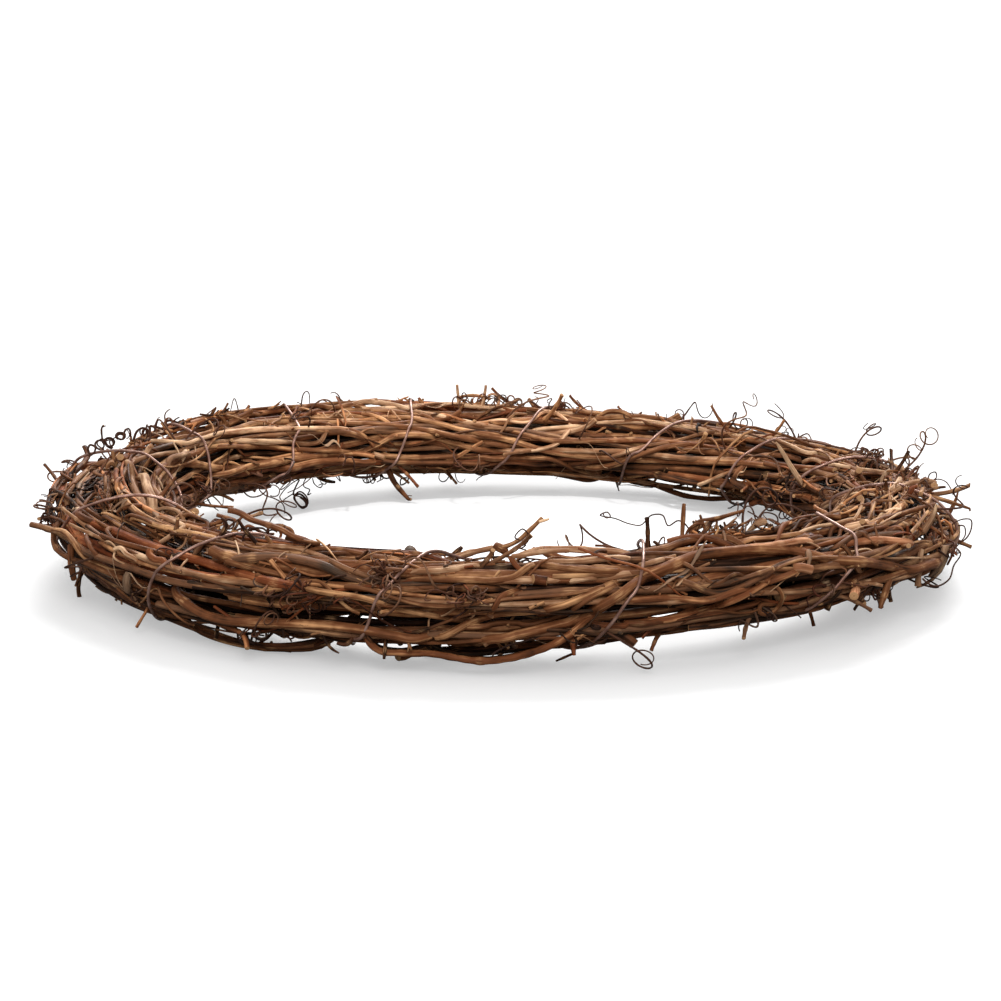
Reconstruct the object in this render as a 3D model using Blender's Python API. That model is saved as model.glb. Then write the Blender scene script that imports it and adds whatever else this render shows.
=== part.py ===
"""Grapevine wreath: dry vine canes laid side by side in a flat ring and bound by one long wire.

The wreath lies on a surface, +Z up, with its origin at the middle of its footprint. Each cane is one
solid that carries its own side twigs and tendrils, and the binding wire is one solid. Lengths are in
metres. A place in the bundle is a bearing round the ring, an offset outwards from the ring's own
centreline and an offset upwards from it.
"""

import math

import bmesh
import bpy
import numpy as np

MM = 0.001
TINY = 1e-9
SEED = 16

# The ring: the radius of the bundle's centreline, and half of the bundle's width and height.
RING_RADIUS = 170 * MM
HALF_WIDTH = 28.5 * MM
HALF_HEIGHT = 17.9 * MM
# Waves round the ring, as (how many, size, bearing of a crest in degrees).
OUT_OF_ROUND = ((2, 1.6 * MM, 12.0), (3, 1.2 * MM, 75.0))
LIFT = ((1, 3.0 * MM, -160.0), (2, 3.3 * MM, -42.0), (3, 0.8 * MM, -60.0))
THICKER = ((1, 1.9 * MM, -145.0), (2, 1.0 * MM, -128.0), (3, 0.8 * MM, -95.0))
RING_CENTRE = (2.375 * MM, 1.542 * MM)

# The canes: stations round the ring where every cane has a point of its route.
STATIONS = 32
COMMON_CANES = 41
OUTER_SHARE = 0.66
CANE_RADII = (1.55 * MM, 2.75 * MM)
CANE_STATIONS = (19, 30)
TAPER = 0.72
CLEARANCE = 0.55 * MM
# Thick canes that show on the outside: radius, first bearing, degrees covered, angle in the
# bundle's section (0 outwards, 90 up), turn of that angle over its length, bearing nearest the eye.
THICK_CANES = (
    (3.2 * MM, -186.0, 150.0, 14.0, 8.0, -142.0),
    (3.0 * MM, -128.0, 86.0, 12.0, 40.0, -62.0),
    (3.2 * MM, -52.0, 120.0, -18.0, 20.0, -16.0),
    (3.0 * MM, -66.0, 70.0, -56.0, 10.0, -26.0),
    (2.8 * MM, -124.0, 70.0, -32.0, 24.0, -95.0),
    (2.9 * MM, 28.0, 130.0, 150.0, 30.0, 80.0),
    (2.7 * MM, 70.0, 130.0, 120.0, 50.0, 150.0),
    (2.6 * MM, 140.0, 120.0, 95.0, -30.0, 190.0),
)
# Canes that bow out of the bundle between two turns of the wire: radius, first bearing, degrees
# covered, angle in the section, its turn, the bearing where it bows most and how far out there, as
# a share of the bundle's half size.
BOWED_CANES = (
    (1.9 * MM, -101.0, 58.0, -62.0, 66.0, -95.0, 0.35),
    (2.0 * MM, 45.0, 84.0, -90.0, 0.0, 56.0, 0.33),
    (1.8 * MM, -186.0, 84.0, -62.0, -24.0, -127.0, 0.22),
    (1.9 * MM, 60.0, 120.0, 82.0, 30.0, 122.0, 0.22),
    (1.8 * MM, 10.0, 100.0, 100.0, -24.0, 84.0, 0.22),
)
BOW_REACH = 17.0

# The binding wire, wound round the bundle like a spring: the bearings at which it passes the
# outermost line of the bundle, one for each turn.
WIRE_RADIUS = 0.65 * MM
WIRE_PASSES = (-375, -350, -328, -309, -283, -259, -238, -207, -190, -161, -135, -105, -77.5, -48.5)
WIRE_STEEPER = 0.45
WIRE_CORNERS = 12
WIRE_CLEARANCE = 0.35 * MM
WIRE_LEAD = 100.0
WIRE_TRAIL = 120.0

# Short cut twigs that stand out: bearing, angle in the section, direction as shares along the
# ring, outwards and upwards, length and radius.
NAMED_STUBS = (
    (-140.0, -60.0, (-0.3, 0.5, -0.9), 11 * MM, 1.3 * MM),
    (-127.0, -75.0, (0.1, 0.3, -1.0), 10 * MM, 1.2 * MM),
    (-93.0, 100.0, (1.0, 0.0, 0.55), 24 * MM, 1.5 * MM),
    (-90.0, 110.0, (0.9, -0.1, 0.5), 14 * MM, 1.1 * MM),
    (-67.0, 120.0, (0.0, 0.0, 1.0), 13 * MM, 1.2 * MM),
    (-160.0, 150.0, (-0.2, -0.6, 0.6), 11 * MM, 1.0 * MM),
    (-31.0, 55.0, (-0.9, 0.5, 0.1), 16 * MM, 1.6 * MM),
    (-42.0, -30.0, (-0.6, 0.8, -0.1), 13 * MM, 1.7 * MM),
    (-36.0, -60.0, (0.1, 0.2, -1.0), 10 * MM, 1.3 * MM),
    (-30.0, -65.0, (-0.1, 0.3, -1.0), 9 * MM, 1.2 * MM),
    (-45.0, -75.0, (0.2, 0.3, -0.9), 13 * MM, 1.1 * MM),
    (-8.0, 35.0, (0.3, 1.0, 0.1), 21 * MM, 1.4 * MM),
    (-12.0, -20.0, (0.0, 0.9, -0.3), 11 * MM, 1.2 * MM),
    (3.0, 75.0, (0.1, 0.6, 0.8), 13 * MM, 1.1 * MM),
    (98.0, 80.0, (0.1, 0.1, 1.0), 10 * MM, 1.2 * MM),
    (92.0, 90.0, (-0.2, 0.1, 1.0), 11 * MM, 1.1 * MM),
    (114.0, 185.0, (-0.6, -0.5, -0.7), 18 * MM, 1.1 * MM),
    (48.0, 100.0, (0.6, -0.3, 0.8), 17 * MM, 1.0 * MM),
    (42.0, 80.0, (-0.7, 0.1, 0.7), 15 * MM, 1.0 * MM),
    (-72.0, -75.0, (-0.5, 0.3, -0.6), 9 * MM, 1.0 * MM),
)

# Curls that stand out: bearing, angle in the section, direction as above, length, radius of the
# loops.
NAMED_TENDRILS = (
    (163.0, 70.0, (0.3, 0.4, 0.9), 60 * MM, 3.0 * MM),
    (-172.0, 30.0, (-0.3, 0.9, 0.2), 55 * MM, 2.8 * MM),
    (-148.0, -30.0, (-0.2, 0.9, -0.3), 48 * MM, 2.8 * MM),
    (-122.0, -60.0, (0.4, 0.7, -0.3), 48 * MM, 2.8 * MM),
    (140.0, 185.0, (0.0, -0.9, 0.2), 75 * MM, 3.6 * MM),
    (150.0, 200.0, (-0.3, -0.9, 0.1), 60 * MM, 3.0 * MM),
    (-67.0, 130.0, (-0.9, -0.4, 0.3), 72 * MM, 3.4 * MM),
    (-55.0, 125.0, (0.5, -0.5, 0.5), 65 * MM, 3.0 * MM),
    (25.0, 75.0, (0.2, 0.4, 0.9), 60 * MM, 3.0 * MM),
    (15.0, 60.0, (-0.3, 0.7, 0.6), 52 * MM, 2.8 * MM),
    (3.0, 45.0, (0.5, 0.8, 0.5), 60 * MM, 3.6 * MM),
    (-10.0, 10.0, (0.2, 1.0, 0.1), 52 * MM, 2.8 * MM),
    (-22.0, -30.0, (-0.6, 0.8, -0.2), 46 * MM, 3.4 * MM),
    (-80.0, -50.0, (0.3, 0.8, -0.3), 60 * MM, 4.0 * MM),
    (-118.0, 5.0, (0.3, 1.0, 0.1), 48 * MM, 2.8 * MM),
    (-95.0, 10.0, (-0.2, 1.0, 0.1), 48 * MM, 2.8 * MM),
)

# What grows from the canes apart from those.
STUB_RADII = (0.9 * MM, 1.5 * MM)
STUB_LENGTHS = (8 * MM, 24 * MM)
STUBS = 46
TENDRIL_RADIUS = 0.55 * MM
TENDRIL_STEPS = 90
TENDRIL_COARSE_STEP = 6
TENDRIL_LENGTHS = (38 * MM, 76 * MM)
TENDRIL_CURLS = (2.5 * MM, 4.2 * MM)
TENDRILS = 18
TAIL_LENGTHS = (8 * MM, 24 * MM)
GROWTH_ROOM = 0.45 * MM
SLIMMER_THAN_CANE = 0.7
SURFACE_DEPTH = 0.72
SITE_SHARES = (0.0, 0.35, 0.7)

# Where the wreath touches the surface: two bowed bellies, found in these sectors of bearings, and
# one stub that reaches down at the third place.
FIRST_FOOT = (-128.0, -80.0)
SECOND_FOOT = (25.0, 80.0)
FOOT_DEPTH = 0.35 * MM
PROP_BEARING = 196.0
PROP_RADIUS = 1.7 * MM
FLOOR_ROOM = 0.6 * MM

# How far the twigs and tendrils reach: the least and greatest distance from the ring's middle, and
# the greatest height above the surface.
INNER_REACH = 113 * MM
OUTER_REACH = 208 * MM
CEILING = 60 * MM

# Tube sections: the corners lie this far outside the cane's own radius.
CANE_SIDES = 5
INNER_CANE_SIDES = 4
WIRE_SIDES = 4
GROWTH_SIDES = 4
TENDRIL_SIDES = 3
CORNER = 1.06

BARK = (0.26, 0.135, 0.065)
BARK_PALE = (0.40, 0.25, 0.14)
WIRE_BROWN = (0.17, 0.075, 0.05)


def waves(bearing, terms):
    """The sum of cosine waves round the ring at a bearing in radians."""
    return sum(size * np.cos(count * (bearing - math.radians(crest))) for count, size, crest in terms)


def half_height(bearing):
    return HALF_HEIGHT + waves(bearing, THICKER)


def turn_marks():
    """The wire's passes as bearings and as the angles it has turned through, over one closed round."""
    passes = np.radians(np.append(WIRE_PASSES, WIRE_PASSES[0] + 360.0))
    return passes, 2 * math.pi * np.arange(len(passes))


def wire_angle(bearing):
    """Where in the section the wire is at a bearing."""
    passes, turned = turn_marks()
    return np.interp((bearing - passes[0]) % (2 * math.pi) + passes[0], passes, turned)


def wire_bearing(angle):
    """The bearing that the wire has reached when it has turned through an angle.

    On the near side of the ring the wire crosses the outer face more steeply than the inner one.
    """
    passes, turned = turn_marks()
    spacing = passes[1] - passes[0]
    before = passes[0] + spacing * angle / (2 * math.pi)
    even = np.where(angle < 0, before, np.interp(angle, turned, passes))
    nearness = np.maximum(0, -np.sin(even))
    return even - WIRE_STEEPER * nearness * spacing / (2 * math.pi) * np.sin(angle - 0.3)


class Ring:
    """The ring's centreline, with the lean that settles it on its feet."""

    def __init__(self, lean=0.0, height=0.0):
        self.lean = lean
        self.height = height

    def point(self, bearing, out, up):
        """The place in space of offsets out and up at a bearing."""
        radius = RING_RADIUS + waves(bearing, OUT_OF_ROUND) + out
        y = radius * np.sin(bearing)
        x = radius * np.cos(bearing) + RING_CENTRE[0]
        z = waves(bearing, LIFT) + self.height + self.lean * y + up
        return np.stack([x, y + RING_CENTRE[1], z], axis=-1)


def plan_canes(rng):
    """Each cane as a dictionary: its radius, first station, number of stations and its wanted path."""
    canes = []
    outer = int(COMMON_CANES * OUTER_SHARE)
    for index in range(COMMON_CANES):
        on_face = index < outer
        ring_share = index / outer if on_face else (index - outer) / (COMMON_CANES - outer)
        canes.append(
            {
                "radius": CANE_RADII[0] + (CANE_RADII[1] - CANE_RADII[0]) * rng.uniform() ** 1.5,
                "first": int(index * STATIONS * 0.382 + rng.integers(0, 4)) % STATIONS,
                "count": int(rng.integers(*CANE_STATIONS)),
                "angle": 2 * math.pi * ring_share + rng.uniform(-0.12, 0.12),
                "turn": rng.uniform(-1.0, 1.0),
                "depth": 0.97 if on_face else rng.uniform(0.2, 0.62),
                "dive": rng.uniform(0.0, 0.22),
                "crest": rng.uniform(0, 2 * math.pi),
                "bow": rng.uniform(0.02, 0.14),
            }
        )
    for radius, start, span, angle, turn, crest in THICK_CANES:
        canes.append(
            {
                "radius": radius,
                "first": round(start / 360 * STATIONS) % STATIONS,
                "count": round(span / 360 * STATIONS) + 1,
                "angle": math.radians(angle),
                "turn": math.radians(turn) / math.radians(span),
                "depth": 0.85,
                "dive": 0.25,
                "crest": math.radians(crest),
                "bow": 0.05,
            }
        )
    for radius, start, span, angle, turn, crest, bow in BOWED_CANES:
        canes.append(
            {
                "radius": radius,
                "first": round(start / 360 * STATIONS) % STATIONS,
                "count": round(span / 360 * STATIONS) + 1,
                "angle": math.radians(angle),
                "turn": math.radians(turn) / math.radians(span),
                "depth": 1.0,
                "dive": 0.0,
                "crest": math.radians(crest),
                "bow": bow,
                "loose": True,
            }
        )
    return canes


def wanted_places(canes, bearings, rng):
    """Where each cane would lie in the section at each station if it had the bundle to itself.

    The angle in the section drifts at the cane's own rate and sways in two slow waves. The depth,
    1 at the bundle's surface, falls and rises once round the ring, and a loose cane stands out where
    it bows.
    """
    places = np.zeros((len(canes), len(bearings), 2))
    for row, cane in enumerate(canes):
        middle = bearings[cane["first"]] + math.pi * cane["count"] / len(bearings)
        along = (bearings - middle + math.pi) % (2 * math.pi) - math.pi
        sway = rng.uniform(0, 2 * math.pi, 2)
        wander = 0.0 if cane.get("loose") else 0.15 if cane["dive"] == 0.25 else 0.4
        angle = cane["angle"] + cane["turn"] * along
        angle = angle + wander * np.sin(2 * along + sway[0]) + 0.6 * wander * np.sin(4.3 * along + sway[1])
        depth = cane["depth"] + cane["dive"] * (np.cos(bearings - cane["crest"]) - 0.6)
        if cane.get("loose"):
            off_crest = (bearings - cane["crest"] + math.pi) % (2 * math.pi) - math.pi
            depth = depth + 1.3 * cane["bow"] * np.exp(-((np.degrees(off_crest) / BOW_REACH) ** 2))
        places[row, :, 0] = depth * np.cos(angle) * (HALF_WIDTH - cane["radius"])
        places[row, :, 1] = depth * np.sin(angle) * (half_height(bearings) - cane["radius"])
    return places


def cover(canes):
    """Which stations each cane passes, and which steps between stations it spans."""
    stations = np.zeros((len(canes), STATIONS), bool)
    steps = np.zeros((len(canes), STATIONS), bool)
    for row, cane in enumerate(canes):
        passed = (cane["first"] + np.arange(cane["count"])) % STATIONS
        stations[row, passed] = True
        steps[row, passed[:-1]] = True
    return stations, steps


def station_radii(canes):
    """Each cane's radius at each station: full at its butt, thinner towards its tip."""
    radii = np.zeros((len(canes), STATIONS))
    for row, cane in enumerate(canes):
        passed = (cane["first"] + np.arange(cane["count"])) % STATIONS
        thinning = np.linspace(1.0, TAPER, cane["count"])
        radii[row, passed] = cane["radius"] * (thinning if row % 2 else thinning[::-1])
    return radii


def push_apart(places, radii, stations, steps):
    """The moves that part canes which lie in each other.

    Between two stations a pair's offset runs in a straight line, so their closest approach is the
    point of that line nearest the origin. The lack of room there is shared out between both canes
    and between both stations. Canes that share only a station are parted there.
    """
    after = np.roll(places, -1, axis=1)
    thicker = np.maximum(radii, np.roll(radii, -1, axis=1))
    start = places[:, None] - places[None]
    run = (after[:, None] - after[None]) - start
    share = -(start * run).sum(-1) / np.maximum((run**2).sum(-1), TINY)
    share = np.clip(share, 0, 1)[..., None]
    nearest = start + share * run
    distance = np.linalg.norm(nearest, axis=-1)
    both = steps[:, None] & steps[None]
    both[np.arange(len(places)), np.arange(len(places))] = False
    lack = np.maximum(thicker[:, None] + thicker[None] + CLEARANCE - distance, 0) * both
    push = nearest * (0.5 * lack / np.maximum(distance, TINY))[..., None]
    moves = (push * (1 - share)).sum(1) + np.roll((push * share).sum(1), 1, axis=1)
    meet = stations[:, None] & stations[None]
    meet[np.arange(len(places)), np.arange(len(places))] = False
    distance = np.linalg.norm(start, axis=-1)
    short = np.maximum(radii[:, None] + radii[None] + CLEARANCE - distance, 0) * meet
    moves = moves + (start * (0.5 * short / np.maximum(distance, TINY))[..., None]).sum(1)
    return moves, max(lack.max(), short.max())


def confine(places, radii, bows, bearings):
    """Pulls each cane back inside the bundle's oval, which is tight at the wire and may bulge between."""
    room = np.stack([HALF_WIDTH - radii, half_height(bearings) - radii], axis=-1)
    scaled = places / room
    angle = np.arctan2(places[..., 1], places[..., 0])
    from_wire = np.sin((angle - wire_angle(bearings)) / 2) ** 2
    limit = 1 + bows[:, None] * from_wire
    depth = np.linalg.norm(scaled, axis=-1)
    return places * np.minimum(1, limit / np.maximum(depth, TINY))[..., None]


def lay_canes(canes, bearings, rng):
    """Relaxes the wanted places until the canes lie side by side, stiff and clear of each other."""
    wanted = wanted_places(canes, bearings, rng)
    stations, steps = cover(canes)
    radii = station_radii(canes)
    bows = np.array([cane["bow"] for cane in canes])
    inner = (stations & np.roll(stations, 1, axis=1) & np.roll(stations, -1, axis=1))[..., None]
    inner = inner & (np.roll(steps, 1, axis=1) & steps)[..., None]
    loose = np.array([cane.get("loose", False) for cane in canes])[:, None, None]
    stiffness = np.where(loose, 0.02, 0.12)
    places = wanted.copy()
    for turn in range(560):
        easing = turn < 340
        straighter = (np.roll(places, 1, axis=1) + np.roll(places, -1, axis=1)) / 2 - places
        places = places + inner * straighter * stiffness * (1.0 if easing else 0.17)
        places = places + (easing | loose) * 0.03 * (wanted - places)
        moves, lack = push_apart(places, radii, stations, steps)
        places = places + 0.55 * moves
        places = confine(places, radii, bows, bearings)
    print(f"canes still short of room by {lack / MM:.2f} mm")
    return places, radii


def settle(canes, places, radii, bearings):
    """The lean and height at which the lowest canes of both foot sectors dip just below the surface."""
    stations, _ = cover(canes)
    ring = Ring()
    points = ring.point(bearings, places[..., 0], places[..., 1])
    sole = points[..., 2] - CORNER * math.cos(math.pi / CANE_SIDES) * radii
    feet = []
    for low, high in (FIRST_FOOT, SECOND_FOOT):
        degrees = np.degrees(bearings)
        inside = ((degrees - low) % 360) <= (high - low)
        feet.append(stations & inside)
    for _ in range(12):
        heights = []
        for inside in feet:
            level = np.where(inside, sole + ring.lean * points[..., 1], np.inf)
            spot = np.unravel_index(np.argmin(level), level.shape)
            heights.append((sole[spot], points[spot][1]))
        (first, first_y), (second, second_y) = heights
        ring.lean = -(second - first) / (second_y - first_y)
        ring.height = -FOOT_DEPTH - first - ring.lean * first_y
    return ring


def wind_wire(ring, canes, places, radii):
    """The points of the wire, pulled taut round the bundle.

    The wire's direction turns evenly through the section. In each direction it rests on the cane
    that reaches furthest that way, and its corners lie where two neighbouring lines of rest cross.
    """
    last = 2 * math.pi * (len(WIRE_PASSES) - 1) + math.radians(WIRE_TRAIL)
    step = 2 * math.pi / WIRE_CORNERS
    angles = np.arange(-math.radians(WIRE_LEAD), last, step)
    reach = np.array([support(angle, canes, places, radii) for angle in angles])
    points = []
    for here, angle in enumerate(angles[:-1]):
        lines = np.array([[math.cos(a), math.sin(a)] for a in (angle, angles[here + 1])])
        out, up = np.linalg.solve(lines, reach[here : here + 2])
        points.append(ring.point(wire_bearing(angle + step / 2), out, up))
    return np.array(points)


def sag(share):
    """How much nearer the ring's middle a straight piece between stations runs than their circle."""
    spacing = 2 * math.pi / STATIONS
    return 1 - math.cos(spacing / 2) / math.cos((share - 0.5) * spacing)


def support(angle, canes, places, radii):
    """How far the bundle reaches in one direction of its section, where the wire lies that way."""
    direction = np.array([math.cos(angle), math.sin(angle)])
    furthest = 0.0
    _, steps = cover(canes)
    for shift in (-0.3, 0.0, 0.3):
        place = (wire_bearing(angle + shift) / (2 * math.pi) * STATIONS) % STATIONS
        low = int(place)
        share = place - low
        high = (low + 1) % STATIONS
        middle = (1 - share) * places[:, low] + share * places[:, high]
        middle[:, 0] -= sag(share) * (RING_RADIUS + middle[:, 0])
        radius = np.maximum(radii[:, low], radii[:, high])
        spread = (middle @ direction + CORNER * radius)[steps[:, low]]
        furthest = max(furthest, spread.max())
    return furthest + WIRE_RADIUS + WIRE_CLEARANCE


def along(points, spacing):
    """Points no further apart than the spacing, along a line through the points."""
    pieces = [points[:1]]
    for a, b in zip(points[:-1], points[1:]):
        count = max(1, math.ceil(np.linalg.norm(b - a) / spacing))
        pieces.append(a + (b - a) * (np.arange(1, count + 1) / count)[:, None])
    return np.concatenate(pieces)


class Occupied:
    """Every tube placed so far, as straight pieces with a radius, for telling whether a place is free."""

    def __init__(self):
        self.starts = np.zeros((0, 3))
        self.ends = np.zeros((0, 3))
        self.radii = np.zeros(0)
        self.owners = np.zeros(0, int)

    def add(self, points, radii, owner):
        radii = np.broadcast_to(radii, len(points))
        self.starts = np.concatenate([self.starts, points[:-1]])
        self.ends = np.concatenate([self.ends, points[1:]])
        self.radii = np.concatenate([self.radii, np.maximum(radii[:-1], radii[1:])])
        self.owners = np.concatenate([self.owners, np.full(len(points) - 1, owner)])

    def room(self, points, chosen):
        """The least distance from the points to the surface of the chosen pieces."""
        start, run = self.starts[chosen], (self.ends - self.starts)[chosen]
        offset = points[:, None] - start
        share = (offset * run).sum(-1) / np.maximum((run**2).sum(-1), TINY)
        nearest = offset - np.clip(share, 0, 1)[..., None] * run
        return (np.linalg.norm(nearest, axis=-1) - CORNER * self.radii[chosen]).min()

    def free(self, points, radius, owner):
        """Whether a growth along the points meets nothing but its own cane at its root.

        Past its root it also keeps off its own cane, and it stays above the surface below.
        """
        fine = along(points, 1.0 * MM)
        from_middle = np.hypot(fine[:, 0] - RING_CENTRE[0], fine[:, 1] - RING_CENTRE[1])
        if fine[:, 2].min() < radius + FLOOR_ROOM or fine[:, 2].max() > CEILING:
            return False
        if from_middle.min() < INNER_REACH or from_middle.max() > OUTER_REACH:
            return False
        if self.room(fine[1:], self.owners != owner) < CORNER * radius + GROWTH_ROOM:
            return False
        past_root = fine[np.linalg.norm(fine - points[0], axis=1) > 6.5 * MM]
        own = self.owners == owner
        return len(past_root) == 0 or self.room(past_root, own) > radius


def unit(vector):
    return vector / max(np.linalg.norm(vector), TINY)


def out_and_along(bearing):
    """The directions away from the ring's middle and along the ring at a bearing."""
    out = np.array([math.cos(bearing), math.sin(bearing), 0.0])
    return out, np.array([-out[1], out[0], 0.0])


def tendril_line(root, direction, length, curl, rng):
    """A tendril as a line that starts nearly straight and curls ever tighter into a loose helix.

    The heading turns about an axis at a steady lean to it, and the axis drifts. The curvature grows
    with the square of the way along until the loops have the curl's radius.
    """
    step = length / TENDRIL_STEPS
    heading = unit(direction)
    axis = unit(unit(np.cross(heading, rng.normal(size=3))) + 0.36 * heading)
    drift = rng.normal(size=3) * 0.012
    points = [root]
    for index in range(TENDRIL_STEPS):
        way = index / TENDRIL_STEPS
        bend = (0.1 + 0.9 * min(1.0, 1.8 * way) ** 2) / curl * step
        axis = unit(axis + drift)
        heading = unit(heading + bend * np.cross(axis, heading))
        points.append(points[-1] + heading * step)
    return np.array(points)


def own_room(points):
    """The least distance between pieces of one line that aren't neighbours."""
    middle = (points[:-1] + points[1:]) / 2
    apart = np.linalg.norm(middle[:, None] - middle[None], axis=-1)
    order = np.arange(len(middle))
    apart[abs(order[:, None] - order[None]) < 3] = np.inf
    return apart.min()


class Wreath:
    """The whole layout: the route of every cane with what grows from it, and the wire's route."""

    def __init__(self):
        self.rng = np.random.default_rng(SEED)
        self.bearings = np.arange(STATIONS) * 2 * math.pi / STATIONS
        self.canes = plan_canes(self.rng)
        self.places, self.radii = lay_canes(self.canes, self.bearings, self.rng)
        self.ring = settle(self.canes, self.places, self.radii, self.bearings)
        self.wire = wind_wire(self.ring, self.canes, self.places, self.radii)
        self.routes = [self.cane_route(row) for row in range(len(self.canes))]
        self.growths = [[] for _ in self.canes]
        self.occupied = Occupied()
        self.occupied.add(self.wire, WIRE_RADIUS, -1)
        for row, (points, radii) in enumerate(self.routes):
            self.occupied.add(points, radii, row)
        self.sites = self.surface_sites()
        self.grow_prop()
        self.grow_named()
        self.grow_tails()
        self.grow_stubs()
        self.grow_tendrils()

    def cane_route(self, row):
        cane = self.canes[row]
        passed = (cane["first"] + np.arange(cane["count"])) % STATIONS
        out, up = self.places[row, passed].T
        return self.ring.point(self.bearings[passed], out, up), self.radii[row, passed]

    def section_normal(self, station, row):
        """The direction straight out of the bundle's oval at a cane's place."""
        bearing = self.bearings[station]
        out, _ = out_and_along(bearing)
        room = np.array([HALF_WIDTH, half_height(bearing)])
        section = unit(self.places[row, station] / room**2)
        return section[0] * out + np.array([0.0, 0.0, section[1]])

    def surface_sites(self):
        """Every place at the bundle's surface: the cane, the station and the share of the way on."""
        sites = []
        for row, cane in enumerate(self.canes):
            for index in range(1, cane["count"] - 2):
                station = (cane["first"] + index) % STATIONS
                room = np.array([HALF_WIDTH, half_height(self.bearings[station])])
                if np.linalg.norm(self.places[row, station] / room) > SURFACE_DEPTH:
                    sites += [(row, station, share) for share in SITE_SHARES]
        return sites

    def sites_near(self, bearing, angle):
        """The surface sites in order of how near they are to a bearing and an angle in the section."""
        keys = []
        for row, station, share in self.sites:
            out, up = self.places[row, station]
            there = math.degrees(self.bearings[station]) + share * 360 / STATIONS
            off_angle = (math.degrees(math.atan2(up, out)) - angle + 180) % 360 - 180
            off_bearing = (there - bearing + 180) % 360 - 180
            keys.append(abs(off_angle) / 20 + abs(off_bearing) / 3)
        return [self.sites[pick] for pick in np.argsort(keys)]

    def start_of(self, row, station, share):
        after = (station + 1) % STATIONS
        here = self.ring.point(self.bearings[station], *self.places[row, station])
        there = self.ring.point(self.bearings[after], *self.places[row, after])
        return (1 - share) * here + share * there

    def keep(self, row, points, radii):
        self.occupied.add(points, radii, row)
        self.growths[row].append((points, radii))

    def try_stub(self, site, direction, length, radius):
        """Adds a stub that bends a little away from the bundle, where there is room for it."""
        row, station, _ = site
        start = self.start_of(*site)
        radius = min(radius, SLIMMER_THAN_CANE * self.thinnest(row, station))
        knee = start + unit(direction) * 0.6 * length
        tip = knee + unit(unit(direction) + 0.3 * self.section_normal(station, row)) * 0.4 * length
        points = np.array([start, knee, tip])
        if not self.occupied.free(points, radius, row):
            return False
        self.keep(row, points, radius * np.array([1.0, 0.88, 0.8]))
        return True

    def thinnest(self, row, station):
        return min(self.radii[row, station], self.radii[row, (station + 1) % STATIONS])

    def try_tendril(self, site, direction, length, curl):
        row = site[0]
        line = tendril_line(self.start_of(*site), direction, length, curl, self.rng)
        coarse = line[::TENDRIL_COARSE_STEP]
        if own_room(coarse) < 3.0 * TENDRIL_RADIUS:
            return False
        if not self.occupied.free(coarse, TENDRIL_RADIUS, row):
            return False
        self.keep(row, coarse, np.full(len(coarse), TENDRIL_RADIUS))
        return True

    def grow_prop(self):
        """The stub that reaches down from the outer edge of the bundle to the surface."""
        for row, station, share in self.sites_near(PROP_BEARING, -40.0):
            start = self.start_of(row, station, share)
            out, _ = out_and_along(self.bearings[station])
            foot = start + 2 * MM * out
            foot[2] = -FOOT_DEPTH
            knee = (start + foot) / 2 + 1.2 * MM * out
            points = np.array([start, knee, foot])
            radius = min(PROP_RADIUS, SLIMMER_THAN_CANE * self.thinnest(row, station))
            others = self.occupied.owners != row
            if self.occupied.room(along(points, MM), others) > CORNER * radius + GROWTH_ROOM:
                self.keep(row, points, np.full(3, radius))
                return
        print("no room for the stub that the wreath rests on")

    def grow_named(self):
        missing = []
        for number, (bearing, angle, shares, length, radius) in enumerate(NAMED_STUBS):
            direction = self.direction(bearing, shares)
            nearest = self.sites_near(bearing, angle)[:14]
            tries = [(site, size) for size in (1.0, 0.8) for site in nearest]
            if not any(self.try_stub(site, direction, size * length, radius) for site, size in tries):
                missing.append(("stub", number))
        for number, (bearing, angle, shares, length, curl) in enumerate(NAMED_TENDRILS):
            nearest = self.sites_near(bearing, angle)[:8]
            for attempt in range(60):
                loosened = self.direction(bearing, shares) + 0.03 * attempt * self.rng.normal(size=3) / 2
                if self.try_tendril(nearest[attempt % 8], loosened, length, curl):
                    break
            else:
                missing.append(("tendril", number))
        print("no room for", missing)

    def direction(self, bearing, shares):
        out, lengthwise = out_and_along(math.radians(bearing))
        return shares[0] * lengthwise + shares[1] * out + np.array([0.0, 0.0, shares[2]])

    def grow_tails(self):
        """Lets the cut ends of canes stand out of the bundle wherever there is room for them."""
        count = 0
        for row, cane in enumerate(self.canes):
            points, radii = self.routes[row]
            last = (cane["first"] + cane["count"] - 1) % STATIONS
            for end, station in ((0, cane["first"]), (-1, last)):
                inward = 1 if end == 0 else -2
                onward = unit(points[end] - points[inward])
                normal = self.section_normal(station, row)
                radius = radii[end]
                for length in np.linspace(self.rng.uniform(*TAIL_LENGTHS), TAIL_LENGTHS[0], 5):
                    lift = self.rng.uniform(0.1, 0.7)
                    knee = points[end] + unit(onward + 0.35 * lift * normal) * 0.45 * length
                    tip = knee + unit(onward + 1.3 * lift * normal) * 0.55 * length
                    tail = np.array([points[end], knee, tip])
                    if self.tail_is_free(tail, radius, row):
                        self.lengthen(row, end, tail[1:], radius)
                        count += 1
                        break
        print(count, "cut ends stand out of the bundle")

    def tail_is_free(self, tail, radius, row):
        fine = along(tail, MM)[1:]
        others = self.occupied.owners != row
        if fine[:, 2].min() < radius + FLOOR_ROOM:
            return False
        return self.occupied.room(fine, others) > CORNER * radius + GROWTH_ROOM

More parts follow.
